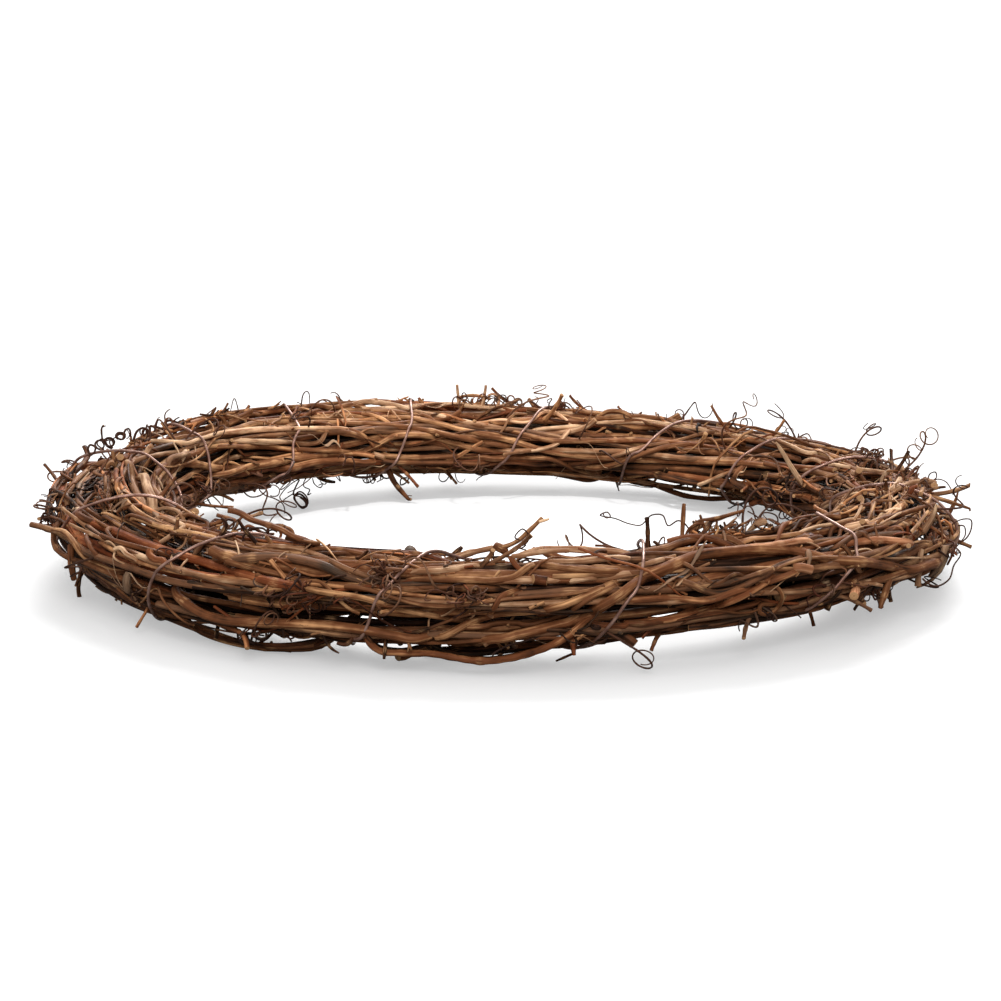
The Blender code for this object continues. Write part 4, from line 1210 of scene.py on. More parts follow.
def painted_light_and_shade(places):
    """How much lighter bark is at places in space: painted light that rises towards the back and the top,
    painted shade and dirt deep between the canes, and patches.

    A patch fades from its middle as a bell.
    """
    bearing, angle, distance = bundle_place(places)
    depth = np.clip(reach_at(bearing, angle, calm_map) - distance, *DEEP_SHADE_AND_GRIME_DEPTHS)
    change = PAINTED_LIGHT_TO_BACK * places[..., 1] + PAINTED_UNDERSIDE_SHADE * (places[..., 2] - MIDDLE_HEIGHT) - DEEP_SHADE_AND_GRIME * depth
    for middle, size, amount in PATCHES_AND_PAINTED_SHADE:
        change = change + amount * np.exp(-(((places - middle) / size) ** 2).sum(axis=-1))
    return change


# A tube's grain starts at an offset of its own, in these shares. A cut's middle counts as this much cut.
GRAIN_SHIFT = (1.0, 1.7, 0.31)
POLE_CUT = 2.0


class Tubes:
    """Closed tubes on their way to being one mesh, with what the material reads at each vertex."""

    def __init__(self):
        self.points, self.grain, self.marks, self.hues = [], [], [], []
        self.quads, self.fans, self.wears = [], [], []
        self.count = 0

    def add(self, line, reach, turns, hue=0.0, tone=0.5, knots=None, wear=0, slant=0.0, offset=0.0):
        """Adds one tube or an array of like tubes.

        line is (tubes, rows, 3), reach is (tubes, rows, turns) and turns holds the angles. hue and
        tone are one number for each tube, and knots is (tubes, rows).
        """
        line = line if line.ndim == 3 else line[None]
        reach = reach if reach.ndim == 3 else reach[None]
        tubes, rows, across = reach.shape
        knots = np.zeros((tubes, rows)) if knots is None else np.reshape(knots, (tubes, rows))
        grid, poles, full, order, cut = swept(line, reach, turns, slant)
        along_it = np.linalg.norm(np.diff(line, axis=1), axis=2)
        along_it = np.concatenate([np.zeros((tubes, 1)), np.cumsum(along_it, axis=1)], axis=1)
        on_grid = [np.broadcast_to(values[..., None], full.shape) for values in (
            along_it[:, order], knots[:, order], cut[None]
        )]
        grain = np.stack([full * np.cos(turns), full * np.sin(turns), on_grid[0]], axis=-1)
        grain = grain + (np.reshape(offset, (-1, 1, 1)) * np.array(GRAIN_SHIFT))[:, :, None]
        # Painted light and shade are added to each vertex's tone here.
        tones = np.reshape(tone, (-1, 1, 1)) + painted_light_and_shade(grid)
        marks = np.stack([tones, *on_grid[1:]], axis=-1)
        pole_grain = grain[:, [0, -1]].mean(axis=2)
        pole_marks = marks[:, [0, -1]].mean(axis=2) * [1, 1, 0] + [0, 0, POLE_CUT]
        for kept, values, ends in (
            (self.points, grid, poles),
            (self.grain, grain, pole_grain),
            (self.marks, marks, pole_marks),
        ):
            kept.append(np.concatenate([values.reshape(tubes, -1, 3), ends], axis=1).reshape(-1, 3))
        levels = len(order)
        size = levels * across + 2
        self.hues.append(np.broadcast_to(np.reshape(hue, (-1, 1)), (tubes, size)).reshape(-1))
        quads, fans = closed_faces(levels, across)
        start = self.count + size * np.arange(tubes)
        self.quads.append((quads[None] + start[:, None, None]).reshape(-1, 4))
        self.fans.append((fans[None] + start[:, None, None]).reshape(-1, 3))
        self.wears.append((len(quads) * tubes, len(fans) * tubes, wear))
        self.count += size * tubes

    def mesh(self, name):
        """One mesh of all that was added, shaded smooth."""
        points = np.concatenate(self.points)
        quads, fans = np.concatenate(self.quads), np.concatenate(self.fans)
        made = bpy.data.meshes.new(name)
        made.vertices.add(len(points))
        made.vertices.foreach_set("co", points.ravel())
        corners = np.concatenate([quads.ravel(), fans.ravel()])
        starts = np.concatenate([4 * np.arange(len(quads)), quads.size + 3 * np.arange(len(fans))])
        made.loops.add(len(corners))
        made.loops.foreach_set("vertex_index", corners)
        made.polygons.add(len(starts))
        made.polygons.foreach_set("loop_start", starts)
        wears = np.concatenate(
            [np.full(count, wear) for count, _, wear in self.wears]
            + [np.full(count, wear) for _, count, wear in self.wears]
        )
        made.polygons.foreach_set("material_index", wears)
        made.polygons.foreach_set("use_smooth", np.ones(len(starts), bool))
        for label, kind, key, found in (
            ("grain", "FLOAT_VECTOR", "vector", self.grain),
            ("marks", "FLOAT_VECTOR", "vector", self.marks),
            ("hue", "FLOAT", "value", self.hues),
        ):
            values = made.attributes.new(label, kind, "POINT")
            values.data.foreach_set(key, np.concatenate(found).ravel())
        made.update(calc_edges=True)
        return made


def closed_faces(levels, across):
    """The faces of a grid that is closed round its turns, and the fans that close its two ends."""
    row = np.arange(levels - 1)[:, None] * across
    here, after = np.arange(across)[None], (np.arange(across)[None] + 1) % across
    quads = np.stack([row + here, row + after, row + across + after, row + across + here], axis=-1)
    ring, following = np.arange(across), (np.arange(across) + 1) % across
    low, high = levels * across, levels * across + 1
    last = (levels - 1) * across
    front = np.stack([np.full(across, low), following, ring], axis=-1)
    back = np.stack([np.full(across, high), last + ring, last + following], axis=-1)
    return quads.reshape(-1, 4), np.concatenate([front, back])


def turns_of(count):
    """The angles round a tube."""
    return 2 * math.pi * np.arange(count) / count


print("a cut end has", len(CUT_RINGS) + 1, "rings")

# %% [markdown]
# ## Bark, twigs, tendrils and wire as materials
# All the bark shares one effect: brown streaks that run along the cane, patches, a tone that carries painted
# light and shade, and pale wood where it was cut. That is a node group, built once.
# It puts out a colour, a roughness and a height, and each material gives it three colours of its own.
# The grain attribute is stretched along the cane, so the noise in it turns into long fibres.

# %% The bark effect
def feed(tree, socket, value):
    """Gives an input a link, or a number or colour."""
    if isinstance(value, bpy.types.NodeSocket):
        tree.links.new(value, socket)
    else:
        socket.default_value = value


def mixed(tree, factor, first, second, blend="MIX"):
    """The output of a colour mix of two links or colours."""
    made = tree.nodes.new("ShaderNodeMix")
    made.data_type = "RGBA"
    made.blend_type = blend
    for index, value in ((0, factor), (6, first), (7, second)):
        feed(tree, made.inputs[index], value)
    return made.outputs[2]


def stepped(tree, value, low, high, to_low=0.0, to_high=1.0):
    """The output of a smooth step from low to high."""
    made = tree.nodes.new("ShaderNodeMapRange")
    made.interpolation_type = "SMOOTHSTEP"
    tree.links.new(value, made.inputs["Value"])
    for name, number in (("From Min", low), ("From Max", high), ("To Min", to_low), ("To Max", to_high)):
        made.inputs[name].default_value = number
    return made.outputs["Result"]


def noise(tree, vector, scale, squeeze, detail, roughness):
    """The output of a noise in a vector that is first squeezed along its axes."""
    squeezed = tree.nodes.new("ShaderNodeVectorMath")
    squeezed.operation = "MULTIPLY"
    feed(tree, squeezed.inputs[0], vector)
    feed(tree, squeezed.inputs[1], squeeze)
    made = tree.nodes.new("ShaderNodeTexNoise")
    vector = squeezed.outputs["Vector"]
    for name, value in (("Vector", vector), ("Scale", scale), ("Detail", detail), ("Roughness", roughness)):
        feed(tree, made.inputs[name], value)
    return made.outputs["Fac"]


def arithmetic(tree, operation, first, second):
    made = tree.nodes.new("ShaderNodeMath")
    made.operation = operation
    feed(tree, made.inputs[0], first)
    feed(tree, made.inputs[1], second)
    return made.outputs[0]


# The colours of a cut: the wood's rings and the pith in the middle. Then the tints that a red cane's
# bark is multiplied with and that a grey one's is mixed with.
WOOD = (0.50, 0.29, 0.14, 1.0)
WOOD_DARK = (0.40, 0.20, 0.09, 1.0)
PITH = (0.30, 0.15, 0.07, 1.0)
RUDDY_TINT = (1.25, 0.62, 0.38, 1.0)
GREY_TINT = (0.31, 0.22, 0.15, 1.0)
BARK_INPUTS = {"Grain": "Vector", "Marks": "Vector", "Hue": "Float"}
BARK_INPUTS |= {"Dark": "Color", "Mid": "Color", "Light": "Color"}
BARK_OUTPUTS = {"Colour": "Color", "Roughness": "Float", "Height": "Float"}


def bark_group():
    """The effect: lightness = 0.95 streaks + patches + 0.62 tone, and two steps lead to the colours."""
    tree = bpy.data.node_groups.new("vine_bark", "ShaderNodeTree")
    for side, sockets in (("INPUT", BARK_INPUTS), ("OUTPUT", BARK_OUTPUTS)):
        for name, kind in sockets.items():
            tree.interface.new_socket(name, in_out=side, socket_type="NodeSocket" + kind)
    given, result = tree.nodes.new("NodeGroupInput"), tree.nodes.new("NodeGroupOutput")
    grain, marks, hue, dark, mid, light = (given.outputs[name] for name in BARK_INPUTS)
    parts = tree.nodes.new("ShaderNodeSeparateXYZ")
    tree.links.new(marks, parts.inputs[0])
    tone, knot, cut = parts.outputs
    streaks = noise(tree, grain, 900.0, (1.0, 1.0, 0.045), 3.0, 0.6)
    fibres = noise(tree, grain, 2600.0, (1.0, 1.0, 0.03), 2.0, 0.6)
    patches = noise(tree, grain, 70.0, (1.6, 1.6, 1.0), 3.0, 0.6)
    specks = noise(tree, grain, 1500.0, (1.0, 1.0, 0.4), 2.0, 0.5)
    lightness = arithmetic(tree, "ADD", arithmetic(tree, "MULTIPLY", streaks, 0.95), patches)
    # The tone carries painted light and shade besides each piece's own tone.
    lightness = arithmetic(tree, "ADD", lightness, arithmetic(tree, "MULTIPLY", tone, 0.62))
    base = mixed(tree, stepped(tree, lightness, 1.03, 1.47), dark, mid)
    base = mixed(tree, stepped(tree, lightness, 1.43, 1.96), base, light)
    ruddy = mixed(tree, stepped(tree, hue, 0.0, 1.0), base, RUDDY_TINT, "MULTIPLY")
    greyed = mixed(tree, stepped(tree, hue, 0.0, -1.0, 0.0, 0.45), ruddy, GREY_TINT)
    speckled = mixed(tree, stepped(tree, specks, 0.66, 0.78, 0.0, 0.7), greyed, dark)
    frayed = stepped(tree, fibres, 0.4, 0.7)
    knuckle = arithmetic(tree, "MULTIPLY", stepped(tree, knot, 0.35, 1.0, 0.0, 0.55), frayed)
    knotted = mixed(tree, knuckle, speckled, light)
    rings = arithmetic(tree, "ADD", cut, arithmetic(tree, "MULTIPLY", specks, 0.25))
    wave = arithmetic(tree, "SINE", arithmetic(tree, "MULTIPLY", rings, 26.0), 0.0)
    wood = mixed(tree, stepped(tree, wave, -1.0, 1.0), WOOD_DARK, WOOD)
    wood = mixed(tree, stepped(tree, cut, 1.78, 1.95), wood, PITH)
    coloured = mixed(tree, stepped(tree, cut, 0.45, 0.95), knotted, wood)
    tree.links.new(coloured, result.inputs["Colour"])
    tree.links.new(stepped(tree, streaks, 0.3, 0.7, 0.75, 0.48), result.inputs["Roughness"])
    height = arithmetic(tree, "ADD", streaks, arithmetic(tree, "MULTIPLY", fibres, 0.5))
    tree.links.new(height, result.inputs["Height"])
    return tree


vine_bark = bark_group()
print("the bark effect has", len(vine_bark.nodes), "nodes")

# %% The materials
BARKS = {
    # Dark, mid and light colour of each bark, then how far its relief stands out.
    "bark_brown": ((0.020, 0.008, 0.0035), (0.175, 0.064, 0.024), (0.76, 0.415, 0.19), 0.0005),
    "bark_tan": ((0.034, 0.014, 0.006), (0.28, 0.126, 0.058), (0.88, 0.58, 0.345), 0.0005),
    "tendril": ((0.026, 0.011, 0.007), (0.095, 0.039, 0.022), (0.30, 0.150, 0.08), 0.0001),
}


def add_bump(tree, shader, height, strength, relief):
    """Lets a height stand out of the surface by a relief in metres."""
    bump = tree.nodes.new("ShaderNodeBump")
    bump.inputs["Strength"].default_value = strength
    bump.inputs["Distance"].default_value = relief
    tree.links.new(height, bump.inputs["Height"])
    tree.links.new(bump.outputs["Normal"], shader.inputs["Normal"])


def bark_material(name, dark, mid, light, relief):
    made, tree, shader = new_material(name)
    effect = tree.nodes.new("ShaderNodeGroup")
    effect.node_tree = vine_bark
    for label, output, socket in (
        ("grain", "Vector", "Grain"),
        ("marks", "Vector", "Marks"),
        ("hue", "Fac", "Hue"),
    ):
        read = tree.nodes.new("ShaderNodeAttribute")
        read.attribute_name = label
        tree.links.new(read.outputs[output], effect.inputs[socket])
    for label, colour in (("Dark", dark), ("Mid", mid), ("Light", light)):
        effect.inputs[label].default_value = (*colour, 1.0)
    add_bump(tree, shader, effect.outputs["Height"], 0.6, relief)
    tree.links.new(effect.outputs["Colour"], shader.inputs["Base Color"])
    tree.links.new(effect.outputs["Roughness"], shader.inputs["Roughness"])
    shader.inputs["Specular IOR Level"].default_value = 0.12
    return made


finishes = {name: bark_material(name, *values) for name, values in BARKS.items()}
print("materials:", list(finishes))

# %% The wire's material
COAT = (0.19, 0.088, 0.060, 1.0)
COAT_WORN = (0.45, 0.27, 0.21, 1.0)


def wire_material():
    """Steel wire with a thin reddish-brown coat that has worn off in spots."""
    made, tree, shader = new_material("coated_wire")
    read = tree.nodes.new("ShaderNodeAttribute")
    read.attribute_name = "grain"
    worn = noise(tree, read.outputs["Vector"], 260.0, (1.0, 1.0, 0.6), 3.0, 0.6)
    coat = mixed(tree, stepped(tree, worn, 0.35, 0.68), COAT, COAT_WORN)
    tree.links.new(coat, shader.inputs["Base Color"])
    tree.links.new(stepped(tree, worn, 0.3, 0.7, 0.46, 0.26), shader.inputs["Roughness"])
    add_bump(tree, shader, worn, 0.4, 0.00005)
    shader.inputs["Metallic"].default_value = 0.55
    return made


finishes["coated_wire"] = wire_material()
print("wire material made")

# %% [markdown]
# ## The canes
# A vine grows in lengths of five to nine centimetres between knuckles, where a leaf once sat. At each
# knuckle it swells a little and changes direction a little, now one way, now the other. Between
# knuckles the cane isn't round: it is a little flat and has shallow ridges that run along it. All of
# that is a few sines and bells multiplied with the radius.

# %% The surface of a cane
KNUCKLE_SPACING = (52 * MM, 118 * MM)
KNUCKLE_HALF = (2.2 * MM, 3.6 * MM)
ZIGZAG = (0.3 * MM, 0.9 * MM)
WANDER = 0.6 * MM
SURFACE_ROWS = 2.0 * MM
HIDDEN_ROWS = 3.4 * MM
SURFACE_TURNS = 14
HIDDEN_TURNS = 8

look = np.random.default_rng(41)


def slow_waves(way, lengths, size):
    """A wandering value along a line: three sines of random wavelength between two lengths."""
    wavelengths = look.uniform(*lengths, 3)
    phases = look.uniform(0, 2 * math.pi, 3)
    waves_there = np.sin(2 * math.pi * way[:, None] / wavelengths + phases)
    return size * waves_there.sum(axis=1) / 1.7


def knuckles_along(length):
    """The places of the knuckles on a cane of some length."""
    steps = look.uniform(*KNUCKLE_SPACING, int(length / KNUCKLE_SPACING[0]) + 2)
    places = look.uniform(5 * MM, 30 * MM) + np.append(0.0, np.cumsum(steps))
    return places[places < length - 4 * MM]


def cane_line(points, radii, spacing):
    """The line of a cane with its zigzag, its radius at each point and where its knuckles are."""
    line, place = smooth_line(points, spacing)
    radius = np.interp(place, np.arange(len(radii)), radii)
    way = way_along(line)
    knuckles = knuckles_along(way[-1])
    _, side, up = beside(line[None])
    turned = look.uniform(0, 2 * math.pi)
    across = math.cos(turned) * side[0] + math.sin(turned) * up[0]
    if len(knuckles) > 1:
        swing = look.uniform(*ZIGZAG, len(knuckles)) * (-1.0) ** np.arange(len(knuckles))
        line = line + np.interp(way, knuckles, swing)[:, None] * across
    line = line + slow_waves(way, (40 * MM, 120 * MM), WANDER)[:, None] * side[0]
    line = line + slow_waves(way, (40 * MM, 120 * MM), 0.7 * WANDER)[:, None] * up[0]
    return line, radius, way, knuckles


def cane_reach(way, radius, knuckles, turns):
    """How far the bark lies from the line, for each row and turn, and how much of a knuckle it is.

    It is the radius times an oval, four shallow ridges, slow swellings and a bell at each knuckle
    that stands out more on the side where the leaf was.
    """
    swell = look.uniform(0.06, 0.26, len(knuckles))
    half = look.uniform(*KNUCKLE_HALF, len(knuckles))
    bud_side = look.uniform(0, 2 * math.pi) + math.pi * np.arange(len(knuckles))
    bells = np.exp(-(((way[:, None] - knuckles) / half) ** 2))
    leaning = 1 + 0.45 * np.cos(turns[None, :, None] - bud_side)
    shape = 1 + (bells[:, None] * swell * leaning).sum(axis=2)
    twist = slow_waves(way, (60 * MM, 200 * MM), 0.5)[:, None]
    shape = shape * (1 + look.uniform(0.02, 0.08) * np.cos(2 * turns[None] + twist))
    for count in (3, 4, 5, 6):
        drift = slow_waves(way, (30 * MM, 140 * MM), 0.9)[:, None]
        shape = shape * (1 + look.uniform(0.008, 0.026) * np.cos(count * turns[None] + drift))
    shape = shape * (1 + slow_waves(way, (14 * MM, 60 * MM), 0.022))[:, None]
    return radius[:, None] * shape, np.minimum(bells.sum(axis=1), 1.0)


print("knuckles on a metre of cane:", len(knuckles_along(1.0)))

# %% [markdown]
# ### What grows from a cane
# The solids have each twig and tendril as a few straight pieces. The dressed ones follow the same
# points on a smooth line. A cane's dressed line lies up to a millimetre beside the solid's, so each
# growth is shifted by as much at its root. A twig gets a collar where it leaves the cane and a slightly
# thicker cut end. A tendril gets thinner towards its tip.

# %% Twigs and tendrils on their cane
TWIG_ROWS = 1.1 * MM
TWIG_TURNS = 9
TWIG_FULLNESS = 0.82
TENDRIL_TURNS = 6
TENDRIL_TAPER = (0.46 * MM, 0.22 * MM)
ROOT_FADE = 9 * MM


def root_shift(root, line):
    """How far a growth's root has to move to start on the middle of the dressed cane."""
    return line[np.argmin(np.linalg.norm(line - root, axis=1))] - root


def add_twig(tubes, points, radii, shift, hue, tone, offset):
    line, place = smooth_line(points + shift, TWIG_ROWS)
    way = way_along(line)
    radius = np.interp(place, np.arange(len(radii)), radii)
    bump_at = way[-1] * look.uniform(0.45, 0.8)
    bells = np.exp(-(((way - bump_at) / (1.3 * MM)) ** 2))
    collar = 0.5 * np.exp(-(((way - 0.9 * MM) / (2.2 * MM)) ** 2))
    knob = look.uniform(0.0, 0.3) * np.exp(-(((way - way[-1]) / (1.2 * MM)) ** 2))
    turns = turns_of(TWIG_TURNS)
    shape = 1 + (0.22 * bells + collar + knob)[:, None] * (1 + 0.3 * np.cos(turns))
    shape = shape * (1 + 0.05 * np.cos(3 * turns + slow_waves(way, (9 * MM, 30 * MM), 1.0)[:, None]))
    reach = TWIG_FULLNESS * radius[:, None] * shape
    slant = look.uniform(-0.5, 0.5)
    tubes.add(line, reach, turns, hue, tone, bells, slant=slant, offset=offset)


def add_tendril(tubes, line, shift, tone):
    way = way_along(line)
    line = line + np.exp(-((way / ROOT_FADE) ** 2))[:, None] * shift
    thick, thin = TENDRIL_TAPER
    radius = np.interp(way / way[-1], [0, 0.25, 1], [1.15 * thick, thick, thin])
    radius = radius * (1 + slow_waves(way, (3 * MM, 12 * MM), 0.07))
    reach = np.repeat(radius[:, None], TENDRIL_TURNS, axis=1)
    tubes.add(line, reach, turns_of(TENDRIL_TURNS), 0.0, tone, wear=1, offset=look.uniform(0, 5))

# %% Dressing every cane
# The solids' canes are a little full. The ones deep inside stay so and close the gaps.
CANE_FULLNESS = 0.88
HIDDEN_FULLNESS = 1.0
RUDDY_CANES = {42: 0.6, 44: 0.45, 43: 0.25, 45: 0.3, 50: 0.3}


def cane_hue(row):
    """Most canes are plain brown, some lean towards red and some towards grey."""
    drawn = look.normal(0.08, 0.2)
    return RUDDY_CANES.get(row + 1, float(np.clip(drawn, -0.5, 0.5)))


def dressed_cane(row):
    points, radii = wreath.routes[row]
    hidden = wreath.canes[row]["depth"] < SURFACE_DEPTH
    line, radius, way, knuckles = cane_line(points, radii, HIDDEN_ROWS if hidden else SURFACE_ROWS)
    turns = turns_of(HIDDEN_TURNS if hidden else SURFACE_TURNS)
    fullness = HIDDEN_FULLNESS if hidden else CANE_FULLNESS
    reach, bells = cane_reach(way, fullness * radius, knuckles, turns)
    hue, tone, offset = cane_hue(row), look.uniform(0.15, 0.85), look.uniform(0, 5)
    tubes = Tubes()
    slant = look.uniform(-0.45, 0.45)
    tubes.add(line, reach, turns, hue, tone, bells, slant=slant, offset=offset)
    for grown, thickness, curl in wreath.growths[row]:
        shift = root_shift(grown[0], line)
        if curl is None:
            add_twig(tubes, grown, thickness, shift, hue, tone, offset)
        else:
            add_tendril(tubes, curl, shift, look.uniform(0.1, 0.9))
    mesh = tubes.mesh(f"vine_{row + 1:02d}")
    keep_in_box(mesh)
    return mesh, line, knuckles, radius, way


def keep_in_box(mesh):
    """Presses whatever would leave the solids' box, or sink into the floor, flat on its side."""
    places = np.empty(3 * len(mesh.vertices))
    mesh.vertices.foreach_get("co", places)
    places = np.clip(places.reshape(-1, 3), np.maximum(cad_box[0], (-1, -1, 0)), cad_box[1])
    mesh.vertices.foreach_set("co", places.ravel())
    mesh.update()


def show(mesh, materials, replaced=()):
    """Puts a mesh in the scene as a piece of the wreath."""
    for material in materials:
        mesh.materials.append(finishes[material])
    piece = bpy.data.objects.new(mesh.name, mesh)
    scene.collection.objects.link(piece)
    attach(piece, "root")
    if replaced:
        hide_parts(*replaced)
    return piece


# Every fifth cane has the pale bark.
PALE_EVERY, FIRST_PALE = 5, 3
dressed = []
for row in range(len(wreath.canes)):
    mesh, line, knuckles, radius, way = dressed_cane(row)
    pale = row % PALE_EVERY == FIRST_PALE
    bark, slot = ("bark_tan", "bark_pale") if pale else ("bark_brown", "bark")
    show(mesh, (bark, "tendril"), (f"cane_{row + 1:02d}",))
    dressed.append((line, knuckles, radius, way))
print("canes dressed:", len(dressed))

# %% Inside the box and above the floor
BOX_LOW = np.array(cad_box[0]) + 0.4 * MM
BOX_HIGH = np.array(cad_box[1]) - 0.4 * MM


def inside_box(lines, thickness):
    """Which lines stay inside the solids' box and above the floor."""
    low = lines.min(axis=1) - thickness
    high = lines.max(axis=1) + thickness
    return ((low > BOX_LOW) & (high < BOX_HIGH)).all(axis=1)


print("room for dressing, in mm:", [round(float(v) / MM, 1) for v in BOX_HIGH - BOX_LOW])

# %% [markdown]
# ## From a place in the picture to the bundle
# Some canes, broken ends and curls of this wreath are easy to recognise, so they are put where they
# were seen. A place in the picture, in pixels, belongs to a sight line that leaves the eye. Followed in
# half-millimetre steps it enters the bundle somewhere, and that is where the thing lies or grows. So
# everything placed this way sits on the wreath from every side.

# %% Sight lines
FOCAL = LENS / view.sensor_width * IMAGE_WIDTH
PICTURE_MIDDLE = (IMAGE_WIDTH * (0.5 - view.shift_x), IMAGE_WIDTH * (0.5 + view.shift_y))
SIGHT_DEPTHS = np.arange(0.95, 1.46, 0.5 * MM)
eye_place = np.array(eye.location)


def sight_lines(places):
    """The way from the eye to each place in the picture, one metre deep."""
    across = (places[..., 0:1] - PICTURE_MIDDLE[0]) / FOCAL
    down = (places[..., 1:2] - PICTURE_MIDDLE[1]) / FOCAL
    ahead = np.array([0.0, math.cos(ELEVATION), -math.sin(ELEVATION)])
    upward = np.array([0.0, math.sin(ELEVATION), math.cos(ELEVATION)])
    return ahead + across * np.array([1.0, 0.0, 0.0]) - down * upward


def seen_depth(places):
    """How deep on its sight line each place meets the bundle, and which ones do.

    A sight line that misses it gets the depth at which it passes closest.
    """
    ways = sight_lines(places)
    spots = eye_place + SIGHT_DEPTHS[None, :, None] * ways[:, None]
    depth_in = buried(spots)
    meets = (depth_in > 0).any(axis=1)
    row = np.where(meets, (depth_in > 0).argmax(axis=1), depth_in.argmax(axis=1))
    return SIGHT_DEPTHS[row], meets


def read_places(text):
    """Places in the picture from words such as "131,470"."""
    return np.array([place.split(",") for place in text.split()], float)


IN_FRONT = np.array([[505.0, 600.0]])
print("the bundle's front is", round(float(seen_depth(IN_FRONT)[0][0]), 3), "m away")

# %% [markdown]
# ## Thin canes and twigs on the surface
# Between the canes that hold the wreath together run thinner ones, and side shoots that were wound in
# with them. Each follows the bundle's surface: its bearing and its section angle change evenly, and
# its distance is the greatest reach nearby, smoothed, because a twig is stiff and bridges the hollows.

# %% Twigs that lie on the bundle
look = np.random.default_rng(7)


def draped(bearing, angle, run, turn, depth, rows):
    """Lines on the bundle's surface, as an array of (lines, rows, 3)."""
    share = np.linspace(0, 1, rows)[None]
    wobble = look.normal(0, 0.09, (len(bearing), 3))
    bearings = bearing[:, None] + run[:, None] * share
    angles = angle[:, None] + turn[:, None] * share
    for count in range(3):
        angles = angles + wobble[:, count : count + 1] * np.sin((count + 1) * math.pi * share + count)
    step = 2 * math.pi / ANGLE_STEPS
    distance = np.max([reach_at(bearings, angles + shift * step) for shift in (-1, 0, 1)], axis=0)
    distance = blurred(raised(distance, 2), 6) + depth[:, None]
    return wreath.ring.point(bearings, distance * np.cos(angles), distance * np.sin(angles))


def add_twigs(tubes, lines, radii, turns_count, taper=0.72, knuckle=0.2):
    """Adds many twigs with a taper, a knuckle or two each and cut ends."""
    count, rows = lines.shape[:2]
    share = np.linspace(0, 1, rows)[None]
    turns = turns_of(turns_count)
    reach = radii[:, None] * (1 - (1 - taper) * share)
    at = np.stack([look.uniform(0.1, 0.45, count), look.uniform(0.55, 0.9, count)])
    length = np.linalg.norm(np.diff(lines, axis=1), axis=2).sum(axis=1)
    bells = np.exp(-((((share - at[..., None]) * length[:, None]) / (1.8 * MM)) ** 2)).sum(axis=0)
    waves_there = np.sin(share * look.uniform(6, 30, (count, 1)) + look.uniform(0, 6, (count, 1)))
    reach = reach * (1 + knuckle * bells + 0.04 * waves_there)
    flat = 1 + 0.06 * np.cos(2 * turns + look.uniform(0, 6))
    tubes.add(
        lines,
        reach[..., None] * flat,
        turns,
        np.clip(look.normal(0.08, 0.25, count), -0.5, 0.5),
        look.uniform(0.1, 0.9, count),
        bells,
        slant=look.uniform(-0.5, 0.5),
        offset=look.uniform(0, 5, count),
    )


# Count, run and turn in degrees, radius and depth in mm, rows and turns of the grid.
THIN_CANES = ((150, (24, 80), (-24, 24), (0.75, 1.4), (-1.4, 0.0), 44, 8),)
CROSS_TWIGS = (
    (80, (9, 30), (-45, 45), (0.5, 1.0), (-1.2, 0.2), 20, 7),
    (110, (4, 12), (-80, 80), (0.35, 0.7), (-0.8, 0.6), 9, 6),
)


def surface_twigs(kinds):
    tubes = Tubes()
    for count, run, turn, radius, depth, rows, across in kinds:
        lines = draped(
            look.uniform(0, 2 * math.pi, count),
            look.uniform(0, 2 * math.pi, count),
            np.radians(look.uniform(*run, count)),
            np.radians(look.uniform(*turn, count)),
            look.uniform(*depth, count) * MM,
            rows,
        )
        radii = look.uniform(*radius, count) * MM
        kept = inside_box(lines, radii[:, None])
        add_twigs(tubes, lines[kept], radii[kept], across)
        print(kept.sum(), "twigs between", radius, "mm")
    return tubes


show(surface_twigs(THIN_CANES).mesh("thin_canes"), ("bark_brown",))
show(surface_twigs(CROSS_TWIGS).mesh("cross_twigs"), ("bark_brown",))

# %% [markdown]
# ### Broken twigs that stand out
# All over the wreath short side shoots were snapped or cut off. They leave the surface at any angle,
# bend a little and end in a break, and some of them fork.

# %% Twigs that stand out
BROKEN_TWIGS = 320
BEND = 0.5
ROOT_DEPTH = 1.5 * MM


def spreading(bearing, angle, length, lean, rows):
    """Lines that leave the bundle's surface, leaning along the ring, with a bend."""
    start_distance = reach_at(bearing, angle) - ROOT_DEPTH
    start = wreath.ring.point(bearing, start_distance * np.cos(angle), start_distance * np.sin(angle))
    lengthwise = np.stack([-np.sin(bearing), np.cos(bearing), 0 * bearing], axis=-1)
    heading = units(outward(bearing, angle) + lean[:, None] * lengthwise + look.normal(0, 0.25, start.shape))
    turning = units(look.normal(size=start.shape)) * BEND
    share = np.linspace(0, 1, rows)[None, :, None]
    straight = heading[:, None] * share
    return start[:, None] + length[:, None, None] * (straight + 0.3 * turning[:, None] * share**2)


def standing_twigs():
    tubes = Tubes()
    count = BROKEN_TWIGS
    bearing = look.uniform(0, 2 * math.pi, count)
    angle = look.uniform(-0.9, math.pi + 0.9, count)
    length = look.uniform(2.5, 8, count) * MM
    lines = spreading(bearing, angle, length, look.uniform(-2.4, 2.4, count), 7)
    radii = look.uniform(0.35, 0.9, count) * MM
    kept = inside_box(lines, radii[:, None])
    add_twigs(tubes, lines[kept], radii[kept], 6, taper=0.75, knuckle=0.3)
    forks = np.flatnonzero(kept)[::3]
    start = lines[forks, 4]
    heading = units(lines[forks, 5] - lines[forks, 4] + 0.6 * MM * units(look.normal(size=start.shape)))
    share = np.linspace(0, 1, 4)[None, :, None]
    prongs = start[:, None] + heading[:, None] * share * (0.45 * length[forks])[:, None, None]
    inside = inside_box(prongs, radii[forks, None])
    add_twigs(tubes, prongs[inside], 0.62 * radii[forks][inside], 5, taper=0.7, knuckle=0.1)
    print(kept.sum(), "broken twigs,", inside.sum(), "of them forked")
    return tubes


show(standing_twigs().mesh("broken_twigs"), ("bark_brown",))

# %% [markdown]
# ### Buds
# At a knuckle sits a bud or the scar of a leaf stalk: a blunt little cone that leans forward along the
# cane.

